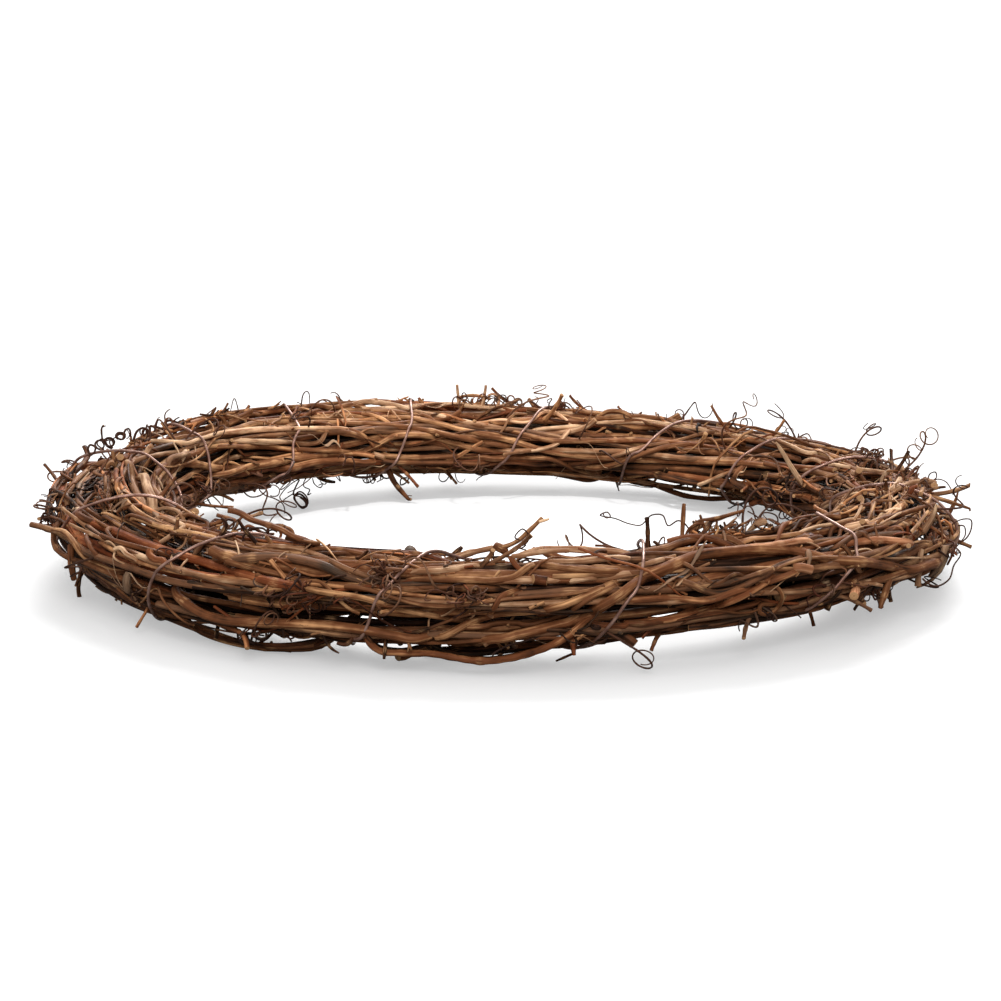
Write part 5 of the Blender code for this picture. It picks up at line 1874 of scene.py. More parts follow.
# %% Buds on the knuckles
BARE_KNUCKLES = 0.3
BUD_PROFILE = np.array([0.62, 0.6, 0.55, 0.47, 0.36, 0.2])
BUD_TURNS = 7


def bud_places():
    """The start, heading and size of a bud for most of the knuckles."""
    starts, headings, sizes = [], [], []
    for line, knuckles, radius, way in dressed:
        tangent, side, up = (vectors[0] for vectors in beside(line[None]))
        turned = look.uniform(0, 2 * math.pi)
        for number, knuckle in enumerate(knuckles):
            if look.uniform() < BARE_KNUCKLES:
                continue
            here = int(np.argmin(abs(way - knuckle)))
            turn = turned + math.pi * number + look.normal(0, 0.3)
            away = math.cos(turn) * side[here] + math.sin(turn) * up[here]
            starts.append(line[here] + 0.72 * radius[here] * away)
            headings.append(away + look.uniform(0.3, 1.0) * tangent[here])
            sizes.append(radius[here])
    return np.array(starts), units(np.array(headings)), np.array(sizes)


def bud_tubes():
    starts, headings, sizes = bud_places()
    share = np.linspace(0, 1, len(BUD_PROFILE))[None, :, None]
    lines = starts[:, None] + headings[:, None] * share * (0.95 * sizes)[:, None, None]
    reach = sizes[:, None, None] * BUD_PROFILE[None, :, None] * np.ones(BUD_TURNS)
    tubes = Tubes()
    kept = inside_box(lines, 0.5 * sizes[:, None])
    tubes.add(
        lines[kept],
        reach[kept],
        turns_of(BUD_TURNS),
        look.uniform(-0.6, 0.2, kept.sum()),
        look.uniform(0.0, 0.7, kept.sum()),
        offset=look.uniform(0, 5, kept.sum()),
    )
    print(kept.sum(), "buds")
    return tubes


show(bud_tubes().mesh("buds"), ("bark_brown",))

# %% [markdown]
# ## Tendrils
# The vine held on with tendrils, and they dried into springs, loops and wavy threads. A tendril here is
# walked out in small steps. At every step its heading turns about an axis, more and more tightly, and
# the axis itself drifts. A few numbers make all the kinds: how tight the loops get, how early the
# turning starts and how much the axis wanders. They grow in tufts, so most start near another one.

# %% Curls
CURL_ROWS = 64


def curl_lines(start, heading, length, loop, early, wander, hover):
    """Tendrils as an array of lines, all walked out at the same time.

    The turning per step is the step over the loop's radius, times how far the curling has set in.
    A tendril that strays far from the bundle is steered back, and one that dives into it is lifted.
    """
    step = (length / CURL_ROWS)[:, None]
    heading = units(heading)
    axis = units(np.cross(heading, look.normal(size=heading.shape)))
    axis = units(axis + look.uniform(0.1, 0.5, (len(start), 1)) * heading)
    drift = look.normal(size=heading.shape) * wander[:, None]
    lines = [start]
    for row in range(CURL_ROWS):
        way = row / CURL_ROWS
        set_in = 0.08 + 0.92 * np.clip((way - early) / 0.35, 0, 1)[:, None] ** 1.5
        drift = 0.9 * drift + 0.1 * look.normal(size=drift.shape) * wander[:, None]
        axis = units(axis + drift)
        bend = step / loop[:, None] * set_in
        bearing, angle, distance = bundle_place(lines[-1])
        height = distance - reach_at(bearing, angle)
        pull = np.clip(height / hover - 0.4, -1, 1)[:, None] * step / hover
        heading = heading + bend * np.cross(axis, heading) - pull * outward(bearing, angle)
        heading = units(heading)
        lines.append(lines[-1] + heading * step)
    return np.stack(lines, axis=1)


SEEN_TUFTS = (
    # Place in the picture, how far it spreads in pixels, number of curls.
    (106, 447, 9, 6), (122, 440, 7, 3), (150, 433, 8, 4), (101, 440, 8, 4), (118, 433, 8, 3),
    (140, 428, 9, 4), (165, 424, 9, 5), (90, 455, 8, 5), (75, 462, 8, 5), (945, 520, 8, 14),
    (870, 455, 10, 5), (925, 470, 10, 6), (690, 412, 10, 8), (480, 392, 12, 12), (510, 396, 12, 10),
    (60, 500, 6, 3), (48, 522, 5, 4),
    (108, 502, 8, 14), (88, 470, 10, 8), (136, 592, 6, 8), (176, 556, 7, 10), (205, 498, 8, 10),
    (215, 522, 12, 16), (240, 538, 12, 14), (300, 540, 8, 8), (272, 588, 10, 10), (305, 600, 14, 12),
    (250, 632, 10, 8), (330, 505, 8, 6), (345, 600, 8, 5), (386, 577, 7, 12), (470, 597, 10, 14),
    (455, 560, 12, 8), (520, 560, 8, 6), (556, 622, 10, 8), (600, 622, 8, 6), (660, 552, 7, 16),
    (700, 528, 12, 16), (730, 522, 10, 12), (775, 520, 8, 14), (800, 500, 12, 14), (850, 490, 24, 26),
    (905, 485, 16, 20), (935, 520, 12, 20), (940, 545, 9, 12), (868, 462, 8, 12), (790, 440, 16, 10),
    (700, 418, 12, 8), (640, 410, 12, 6), (556, 398, 12, 12), (495, 395, 10, 12), (470, 398, 8, 6),
    (340, 405, 16, 10), (300, 415, 12, 8), (250, 470, 10, 10), (205, 480, 8, 12), (750, 600, 14, 8),
    (830, 585, 12, 8), (880, 595, 12, 8), (375, 480, 10, 8), (450, 475, 12, 5), (760, 500, 8, 8),
)
TUFTS = (
    # Bearing, section angle and their spreads in degrees, and how often a curl grows there.
    (165, 80, 16, 30, 46),
    (-172, 40, 10, 40, 26),
    (-150, 60, 14, 50, 26),
    (-125, -40, 14, 40, 22),
    (-95, 0, 22, 70, 40),
    (-60, 110, 12, 40, 26),
    (-38, 40, 12, 60, 26),
    (-12, 60, 12, 50, 40),
    (12, 60, 12, 50, 48),
    (35, 80, 14, 40, 30),
    (95, 90, 30, 40, 34),
    (140, 190, 10, 20, 30),
    (60, 190, 40, 40, 20),
)


def seen_tufts():
    """Bearings and section angles of curls that grow where the picture shows them."""
    tufts = np.repeat(np.array(SEEN_TUFTS, float), [tuft[3] for tuft in SEEN_TUFTS], axis=0)
    places = tufts[:, :2] + tufts[:, 2:3] * look.normal(0, 0.5, (len(tufts), 2))
    depth, _ = seen_depth(places)
    bearing, angle, _ = bundle_place(eye_place + depth[:, None] * sight_lines(places))
    return bearing, angle


def tufted(count):
    """Bearings and section angles of curls, in tufts and a few scattered ones."""
    weights = np.array([tuft[4] for tuft in TUFTS], float)
    picks = look.choice(len(TUFTS), count, p=weights / weights.sum())
    chosen = np.array(TUFTS, float)[picks]
    group = look.integers(0, 3, count)
    shift = look.normal(0, 1, (len(TUFTS), 3, 2))[picks, group]
    bearing = chosen[:, 0] + chosen[:, 2] * (0.85 * shift[:, 0] + look.normal(0, 0.22, count))
    angle = chosen[:, 1] + chosen[:, 3] * (0.85 * shift[:, 1] + look.normal(0, 0.3, count))
    return np.radians(bearing), np.radians(angle)


def grow_curls(places, length, loop, early, wander, thickness, hover, tubes):
    """Adds curls of one kind where they stay in the box, near the canes and mostly outside them."""
    bearing, angle = places
    count = len(bearing)
    first = spreading(bearing, angle, np.full(count, 6 * MM), look.uniform(-2, 2, count), 3)
    lines = curl_lines(
        first[:, 0],
        first[:, 1] - first[:, 0],
        look.uniform(*length, count) * MM,
        look.uniform(*loop, count) * MM,
        look.uniform(*early, count),
        look.uniform(*wander, count),
        hover * MM,
    )
    radius = look.uniform(*thickness, count) * MM
    depth = buried(lines)
    clear = (depth[:, 14:] > 0.8 * MM).mean(axis=1) < 0.12
    near = depth.min(axis=1) > -2.2 * hover * MM
    kept = clear & near & inside_box(lines, radius[:, None])
    lines, radius = lines[kept], radius[kept]
    share = np.linspace(0, 1, lines.shape[1])
    reach = radius[:, None] * np.interp(share, [0, 0.2, 1], [1.25, 1.0, 0.55])[None]
    reach = reach * (1 + 0.06 * np.sin(share * 60 + look.uniform(0, 6, (len(lines), 1))))
    tubes.add(
        lines,
        np.repeat(reach[..., None], 5, axis=2),
        turns_of(5),
        look.uniform(-0.4, 0.6, len(lines)),
        look.uniform(0.0, 1.0, len(lines)),
        offset=look.uniform(0, 5, len(lines)),
    )
    print(len(lines), "curls of", count)


springs, threads = Tubes(), Tubes()
grow_curls(seen_tufts(), (10, 34), (1.1, 2.4), (0.0, 0.3), (0.01, 0.08), (0.36, 0.55), 4.0, springs)
grow_curls(seen_tufts(), (9, 28), (1.8, 4.5), (0.0, 0.3), (0.02, 0.14), (0.30, 0.48), 4.0, threads)
grow_curls(tufted(240), (12, 40), (1.1, 2.3), (0.0, 0.35), (0.01, 0.08), (0.34, 0.52), 3.0, springs)
grow_curls(tufted(200), (14, 44), (2.0, 5.0), (0.0, 0.4), (0.02, 0.12), (0.28, 0.46), 3.0, threads)
show(springs.mesh("curled_tendrils"), ("tendril",))
show(threads.mesh("loose_tendrils"), ("tendril",))

# %% [markdown]
# ## Bark shreds and bits of leaf
# Old vine bark peels off in papery strips, and here and there a dead leaf stalk or a crumpled bit of
# leaf is caught between the canes. A strip is a tube with a very flat section, so it is closed and has
# a real thickness. A bit of leaf is the same, but wide, and its line is bent more.

# %% Flat things
def flat_reach(width, thick, turns):
    """The radius of an ellipse at each turn, for widths and thicknesses along lines."""
    across, through = width[..., None] * np.sin(turns), thick[..., None] * np.cos(turns)
    return width[..., None] * thick[..., None] / np.sqrt(across**2 + through**2)


SHREDS, SHRED_ROWS, SHRED_THICKNESS = 150, 16, 0.14 * MM
LEAF_BITS, LEAF_THICKNESS = 46, 0.2 * MM


def add_flat(tubes, lines, width, thickness, tones, hues):
    """Adds flat strips that are widest in the middle, with a wavy edge."""
    tone, hue = look.uniform(*tones, len(lines)), look.uniform(*hues, len(lines))
    share = np.linspace(0, 1, lines.shape[1])
    outline = np.clip(np.sin(math.pi * (0.04 + 0.92 * share)), 0.12, 1)[None] ** 0.6
    outline = outline * (1 + 0.25 * np.sin(share * look.uniform(5, 25, (len(lines), 1)) + look.uniform(0, 6)))
    turns = turns_of(8)
    reach = flat_reach(width[:, None] * outline, np.full(lines.shape[:2], thickness), turns)
    tubes.add(lines, reach, turns, hue, tone, offset=look.uniform(0, 5, len(lines)))


def bark_shreds():
    tubes = Tubes()
    count = SHREDS
    lines = draped(
        look.uniform(0, 2 * math.pi, count),
        look.uniform(0, 2 * math.pi, count),
        np.radians(look.uniform(2, 10, count)),
        np.radians(look.uniform(-35, 35, count)),
        look.uniform(0, 0.8, count) * MM,
        SHRED_ROWS,
    )
    peel = np.linspace(0, 1, SHRED_ROWS)[None, :, None] ** 3 * look.uniform(0, 5, (count, 1, 1)) * MM
    lines = lines + peel * units(look.normal(size=(count, 1, 3)) + [0, 0, 0.6])
    width = look.uniform(0.5, 1.6, count) * MM
    kept = inside_box(lines, width[:, None])
    add_flat(tubes, lines[kept], width[kept], SHRED_THICKNESS, (0.3, 1.0), (-0.9, 0.3))
    print(kept.sum(), "bark shreds")
    return tubes


def leaf_bits():
    tubes = Tubes()
    count = LEAF_BITS
    bearing, angle = tufted(count)
    first = spreading(bearing, angle, np.full(count, 6 * MM), look.uniform(-2, 2, count), 3)
    lines = curl_lines(
        first[:, 0],
        first[:, 1] - first[:, 0],
        look.uniform(7, 17, count) * MM,
        look.uniform(4, 12, count) * MM,
        np.zeros(count),
        look.uniform(0.02, 0.12, count),
        4 * MM,
    )[:, ::4]
    width = look.uniform(1.2, 3.4, count) * MM
    kept = inside_box(lines, width[:, None])
    add_flat(tubes, lines[kept], width[kept], LEAF_THICKNESS, (0.0, 0.8), (-0.6, 0.8))
    print(kept.sum(), "bits of leaf")
    return tubes


show(bark_shreds().mesh("bark_shreds"), ("bark_tan",))
show(leaf_bits().mesh("leaf_bits"), ("bark_brown",))

# %% [markdown]
# ## Canes and twigs that the picture shows
# The canes that lie on the outside cross each other at small angles, and each has its own bend. A few places
# of each were read from the picture. A lying cane is drawn through its places first, then set on the bundle
# with sight lines. Its distance from the eye is smoothed, because a cane is stiff. A standing twig, a thread
# or a leaf only starts on the bundle and then keeps its depth, or leans towards the eye.

# %% Where they were seen
LAID_CANES = (
    # Bark, radius in mm, hue, tone, places in the picture.
    ("tan", 1.65, 0, 0.6, "131,469 132,480 136,491 143,501 151,508"),
    ("tan", 1.95, 0, 0.7, "146,471 146,481 149,491 154,500 160,507"),
    ("tan", 1.2, 0, 0.9, "201,440 189,450 181,461 173,476 170,490 169,500"),
    ("tan", 1.3, -0.39, 0.5, "181,455 171,458 167,471 165,483 164,495"),
    ("tan", 1.05, 0, 0.8, "114,466 115,476 113,485 110,494"),
    ("tan", 0.75, 0, 0.6, "105,476 105,490"),
    ("tan", 1, 0.07, 0.9, "154,510 166,518 183,524 193,530"),
    ("tan", 0.9, 0, 0.7, "154,509 169,508 183,513 189,518"),
    ("brown", 1.25, 0.07, 0.85, "50,530 63,532 72,541 80,553 95,564 115,572 133,575 153,576 173,584 "
     "198,592 231,594 272,589 300,588"),
    ("brown", 1.6, 0.23, 0.5, "70,488 65,500 70,509 80,516 96,524"),
    ("brown", 1.2, 0.07, 0.5, "53,534 53,541 58,551 68,558 83,563 106,572 133,584 159,594"),
    ("brown", 1.9, 0.52, 0.6, "95,524 120,534 148,545 189,558 222,568 256,578 280,584 305,588"),
    ("tan", 1.3, 0.13, 0.6, "116,454 103,461 88,470 75,481 68,492"),
    ("tan", 1.05, 0.13, 0.9, "154,440 178,442 188,443 199,439 219,433 247,429 300,427"),
    ("tan", 0.95, -0.07, 0.7, "206,443 222,441 239,441 272,443 300,442"),
    ("tan", 1.1, -0.33, 0.6, "144,457 156,455 166,453 181,451 192,446"),
    ("tan", 1.2, 0.07, 0.6, "146,456 149,448 156,443"),
    ("brown", 1.8, 0.07, 0.55, "198,464 214,468 239,468 264,465 300,458"),
    ("brown", 1.3, 0.13, 0.6, "246,415 222,427 198,435 181,437"),
    ("brown", 0.85, -0.07, 0.5, "105,516 126,529 148,541"),
    ("brown", 0.8, -0.07, 0.6, "111,515 133,524 156,537"),
    ("brown", 0.7, 0, 0.4, "120,516 139,524 160,533"),
    ("brown", 0.75, 0.07, 0.5, "123,512 143,518 160,526"),
    ("tan", 0.95, 0.07, 0.9, "113,550 120,548 126,554 135,559 141,565"),
    ("tan", 0.4, 0, 0.9, "100,541 107,541 115,548 113,557 120,563 127,566"),
    ("tan", 1, 0.07, 0.8, "156,545 169,536 181,528 187,524"),
    ("brown", 1.5, 0.39, 0.6, "153,545 149,554 156,560 163,561 164,570"),
    ("tan", 0.5, 0, 0.9, "187,534 184,543 173,553 170,563 176,571 183,563"),
    ("brown", 0.8, 0, 0.3, "111,503 95,493 83,503 75,508"),
    ("brown", 0.9, 0.07, 0.6, "90,467 96,473 110,476 118,474"),
    ("brown", 0.9, 0.2, 0.5, "81,533 88,543 93,554 98,560"),
    ("brown", 1, 0.2, 0.5, "123,508 133,505 143,506 149,509"),
    ("brown", 1.25, 0.1, 0.8, "263,590 296,588 329,593 362,598 396,608 440,617 462,621"),
    ("brown", 1.9, 0.2, 0.7, "180,599 200,613 221,620 255,623 296,624 329,626 362,630 396,636 440,643"),
    ("brown", 1.2, 0.07, 0.5, "187,596 213,601 246,606 266,611"),
    ("brown", 1.9, -0.33, 0.35, "240,558 279,557 321,565 346,576 371,583 412,584 449,584"),
    ("tan", 1.1, -0.07, 0.5, "271,545 296,548 321,556 346,568 367,576"),
    ("brown", 1.45, 0.03, 0.6, "208,553 246,566 273,573 313,583 354,586 396,589 445,590"),
    ("brown", 1.1, 0.13, 0.6, "320,547 346,550 371,555 396,558"),
    ("brown", 1, 0, 0.6, "346,558 379,557 412,563 445,563"),
    ("brown", 1, 0, 0.3, "286,537 306,541 320,543"),
    ("brown", 0.95, 0.26, 0.8, "270,560 279,571 289,583 299,591"),
    ("brown", 0.65, -0.07, 0.2, "266,598 276,613 282,628 283,638"),
    ("brown", 0.9, 0.07, 0.2, "367,637 376,646 396,651 414,650"),
    ("tan", 0.35, 0, 0.8, "291,593 293,609 299,621 309,620 309,611"),
    ("tan", 0.4, 0, 0.8, "241,565 253,571 255,583 266,590"),
    ("tan", 0.35, 0, 0.9, "235,540 238,550 239,560"),
    ("tan", 0.5, 0, 0.8, "374,576 380,576 377,573 372,574"),
    ("brown", 0.5, 0.07, 0.7, "318,563 324,569 329,576"),
    ("brown", 1.3, 0, 0.6, "495,547 501,555 519,560 553,566 586,570 616,571"),
    ("tan", 1, 0.13, 0.7, "526,554 546,551 569,550 594,551 619,554"),
    ("tan", 1.05, 0.13, 0.7, "420,570 453,567 486,563 513,565"),
    ("brown", 1.3, 0.1, 0.7, "420,579 470,580 500,580 516,576 523,570"),
    ("tan", 1.45, 0.16, 0.8, "500,581 536,580 569,580 599,580 627,578"),
    ("brown", 2.0, 0.35, 0.3, "533,579.5 540,580 547,581"),
    ("brown", 1.6, 0.03, 0.4, "420,588 453,588 493,589"),
    ("brown", 1.2, 0.26, 0.6, "495,606 500,598 519,591 546,588 586,588 602,585"),
    ("tan", 0.8, 0, 0.9, "497,585 510,588 526,588"),
    ("brown", 1.5, 0.13, 0.8, "447,636 470,623 503,613 536,611 561,606 586,596 619,580"),
    ("brown", 1.8, 0.35, 0.3, "538,612 544,611.6 550,611"),
    ("brown", 1.1, 0.07, 0.6, "470,628 503,623 536,623 561,616 594,596 619,584"),
    ("brown", 1.7, 0.26, 0.7, "420,638 453,643 486,641 519,635 544,628 569,623 602,608"),
    ("brown", 1.25, 0.26, 0.8, "420,648 445,654 470,660 500,659 528,653 553,645 569,635 586,621 602,608"),
    ("brown", 1.2, 0.33, 0.6, "602,623 636,623 660,620 685,614"),
    ("tan", 0.45, 0, 0.6, "446,570 447,577 456,588 475,593 498,598"),
    ("tan", 0.4, 0, 0.8, "428,631 430,618 443,616 460,606 470,605 475,613 471,618 458,619"),
    ("brown", 2, 0.2, 0.6, "594,610 619,596 636,583 659,573 685,561"),
    ("brown", 0.6, 0.13, 0.5, "536,633 526,634 513,639"),
    ("brown", 1, 0.33, 0.7, "510,556 516,565 523,571"),
    ("brown", 0.7, 0, 0.2, "654,541 665,548 680,553"),
    ("brown", 2.1, 0.2, 0.65, "640,577 665,568 698,555 731,551 764,549 798,552 823,558"),
    ("brown", 2, 0.16, 0.6, "837,560 872,563 889,566 912,570 930,565"),
    ("tan", 1, 0.07, 0.6, "640,565 660,560 676,556"),
    ("brown", 1.5, -0.07, 0.5, "640,552 665,548 681,542 706,538 733,538 749,544"),
    ("tan", 1.3, 0.39, 0.8, "746,547 769,545 789,542 813,538"),
    ("brown", 1, 0.2, 0.6, "749,539 773,537 798,533"),
    ("tan", 0.5, 0, 0.9, "788,548 799,542 821,548"),
    ("tan", 1.9, 0.3, 0.5, "794,568 800,567.5 806,568.5 812,570"),
    ("tan", 0.6, 0.07, 0.9, "676,588 683,580 696,570 710,563"),
    ("brown", 1.3, -0.2, 0.4, "688,583 715,593 739,588 764,575 781,565 793,561"),
    ("brown", 1.4, 0.26, 0.7, "640,600 673,598 706,601 739,591 766,583 789,575"),
    ("brown", 1.4, 0.33, 0.8, "665,621 706,610 739,598 766,583"),
    ("brown", 1.1, 0.26, 0.5, "640,625 665,621 698,616 731,610 756,604"),
    ("brown", 0.9, 0, 0.6, "763,590 778,588 783,596 780,606 767,615 760,613 761,606 773,605"),
    ("brown", 1.3, -0.2, 0.5, "837,549 852,537 876,530"),
    ("tan", 1.6, 0.45, 0.8, "854,542 880,540 905,542 933,544"),
    ("tan", 1.2, -0.07, 0.8, "875,525 889,523 914,523"),
    ("tan", 1.9, 0.2, 0.9, "844,528 856,526 868,523"),
    ("tan", 1.1, 0, 0.8, "750,435 768,437 790,445 806,452 823,452"),
    ("tan", 1.3, 0.26, 0.6, "740,469 753,458 767,455 783,455"),
    ("tan", 1.1, -0.13, 0.8, "803,462 813,459 826,466 833,473"),
    ("tan", 1.2, 0, 1, "837,463 840,474"),
    ("tan", 0.9, 0, 0.8, "839,465 856,468 873,470 887,472"),
    ("brown", 0.8, 0.07, 0.5, "815,480 833,475 856,473 878,473"),
    ("tan", 1, 0.07, 0.6, "802,526 813,513 826,503 839,498 857,491"),
    ("tan", 0.8, 0.07, 0.9, "800,531 816,526 833,523 848,519"),
    ("tan", 0.7, 0.07, 0.8, "863,493 860,508 850,523"),
    ("tan", 0.5, 0, 1, "919,507 899,513 886,521 871,526"),
    ("tan", 0.6, 0, 0.9, "869,488 880,478 888,471"),
    ("tan", 1.6, 0.07, 0.7, "864,493 889,490 912,483 927,481"),
    ("tan", 1.1, -0.33, 0.8, "902,468 900,478 893,487 880,493"),
    ("tan", 0.45, -0.13, 1, "854,551 869,549 881,556 916,558"),
    ("brown", 0.9, 0, 0.4, "826,498 846,493 859,483"),
    ("tan", 0.7, 0.07, 0.9, "826,506 839,500 854,493 869,491"),
    ("tan", 0.6, 0, 0.7, "833,483 846,486 856,493"),
    ("brown", 0.8, 0.2, 0.6, "843,478 853,486 866,490 876,486"),
    ("tan", 0.6, 0.07, 0.8, "883,506 894,498 907,491"),
    ("brown", 0.9, 0, 0.5, "813,519 833,513 856,506 881,510"),
    ("tan", 1.3, 0.07, 0.8, "352,404 363,401 379,402 396,405 416,411 446,417 470,423 495,427"),
    ("brown", 1.2, 0.07, 0.5, "346,409 379,410 406,413"),
    ("brown", 1, 0.2, 0.8, "355,410 379,417 393,423"),
    ("brown", 1.4, 0.13, 0.7, "379,417 412,418 437,423 462,430 495,435"),
    ("tan", 1.1, 0.2, 0.6, "298,423 321,421 346,420 363,420"),
    ("brown", 1.6, 0.07, 0.6, "329,423 371,424 396,426 429,431 462,438 495,444"),
    ("tan", 1.1, 0.2, 0.8, "223,433 255,430 280,429 305,428 336,428"),
    ("tan", 0.9, -0.13, 0.5, "230,440 255,436 281,434"),
    ("tan", 1.2, 0, 0.8, "240,441 263,441 288,442 310,444 321,441 326,432"),
    ("brown", 1.2, 0.07, 0.5, "230,446 263,447 296,449 346,452"),
    ("brown", 1.65, 0.1, 0.6, "230,473 255,465 288,460 329,455 363,452 376,446 392,437 409,435 429,436 "
     "454,443 475,449 495,452"),
    ("brown", 1.4, 0.07, 0.6, "384,456 412,458 446,457 470,456 495,459"),
    ("brown", 1.8, 0.2, 0.5, "293,468 313,463 338,461 363,463"),
    ("brown", 1.6, 0.2, 0.7, "278,471 313,473 346,474 371,470 389,466"),
    ("brown", 1, 0.07, 0.6, "386,443 412,443 439,445"),
    ("brown", 1.3, 0.13, 0.3, "394,463 446,463 495,465"),
    ("brown", 1.2, 0.07, 0.5, "230,421 243,415 252,410"),
    ("brown", 1, 0.07, 0.5, "296,423 313,411 324,407"),
    ("brown", 1.2, 0.13, 0.5, "300,409 310,405 333,407 351,404"),
    ("brown", 1, 0.2, 0.6, "349,429 363,435 374,447"),
    ("brown", 1.4, -0.13, 0.4, "329,432 349,433 363,438"),
    ("tan", 1.6, 0.07, 0.5, "373,454 385,458"),
    ("tan", 0.35, 0, 1, "323,412 328,417 336,412 346,417 350,412"),
    ("tan", 0.35, 0, 1, "336,415 343,409 353,417"),
    ("brown", 0.9, 0.07, 0.5, "462,405 454,415 448,417"),
    ("brown", 1.4, 0.07, 0.6, "480,426 505,430 530,436 555,441 579,441 629,440 671,441"),
    ("brown", 1.5, 0.13, 0.7, "480,434 513,441 546,451 579,456 613,458 646,460 696,462 740,463 762,465"),
    ("tan", 1.2, 0.13, 0.7, "470,450 480,450 513,451 546,448 558,443 565,435"),
    ("tan", 1.2, 0.07, 0.8, "543,429 579,426 613,422 640,421"),
    ("tan", 0.9, 0.26, 0.9, "502,420 530,421 543,412 555,412 560,415 572,425"),
    ("brown", 1.1, 0.07, 0.5, "563,417 588,417 596,418"),
    ("brown", 1.1, 0.13, 0.6, "594,417 606,411 626,412 635,416"),
    ("tan", 1.1, 0.07, 0.6, "624,453 646,446 671,442 696,435 717,430"),
    ("brown", 1.4, 0.07, 0.6, "586,470 613,465 638,456 662,448 696,443 729,440"),
    ("brown", 1.2, 0.07, 0.6, "505,458 530,458 551,459 571,468 587,473"),
    ("brown", 1.2, 0.2, 0.3, "480,463 513,468 546,473 586,481"),
    ("brown", 1.7, 0.13, 0.3, "586,475 621,473 646,473 671,478 696,484 740,494 754,498"),
    ("tan", 1, 0.13, 0.8, "704,483 720,476 745,466 762,458"),
    ("tan", 0.5, 0, 0.7, "657,440 662,432 672,433 674,441"),
    ("brown", 1.2, 0.07, 0.6, "573,410 586,412 596,415"),
    ("brown", 1.1, 0.07, 0.4, "638,420 662,426 687,431 712,440"),
    ("brown", 1.6, 0.07, 0.3, "740,486 757,493 773,500 790,505 810,507"),
    ("brown", 1.3, 0.07, 0.5, "763,463 781,468 796,475"),
    ("brown", 1.2, 0.07, 0.5, "767,475 780,475 791,469"),
    ("brown", 1.9, 0.2, 0.75, "360,630 381,631 406,637 439,642 473,642 506,637 539,630 572,621"),
    ("tan", 1.2, 0.07, 0.7, "527,562 546,562 574,562 602,559 626,556"),
    ("brown", 1.3, 0.13, 0.55, "420,566 446,566 470,562 490,562 510,566 522,572"),
    ("tan", 1.2, 0.07, 0.75, "420,571 445,571 468,566 492,563 508,563"),
    ("brown", 1.3, 0.13, 0.6, "524,558 540,562 560,567 585,569 600,572"),
    ("tan", 1.5, 0.07, 0.85, "541,580 560,581 585,579 610,577 625,574"),
    ("brown", 0.9, 0.2, 0.5, "188,521 200,525 212,524 224,519"),
    ("brown", 1.2, 0.2, 0.5, "205,533 215,528 228,527 240,532 252,540"),
    ("brown", 1, 0.2, 0.6, "190,526 204,531 218,534 236,534"),
)
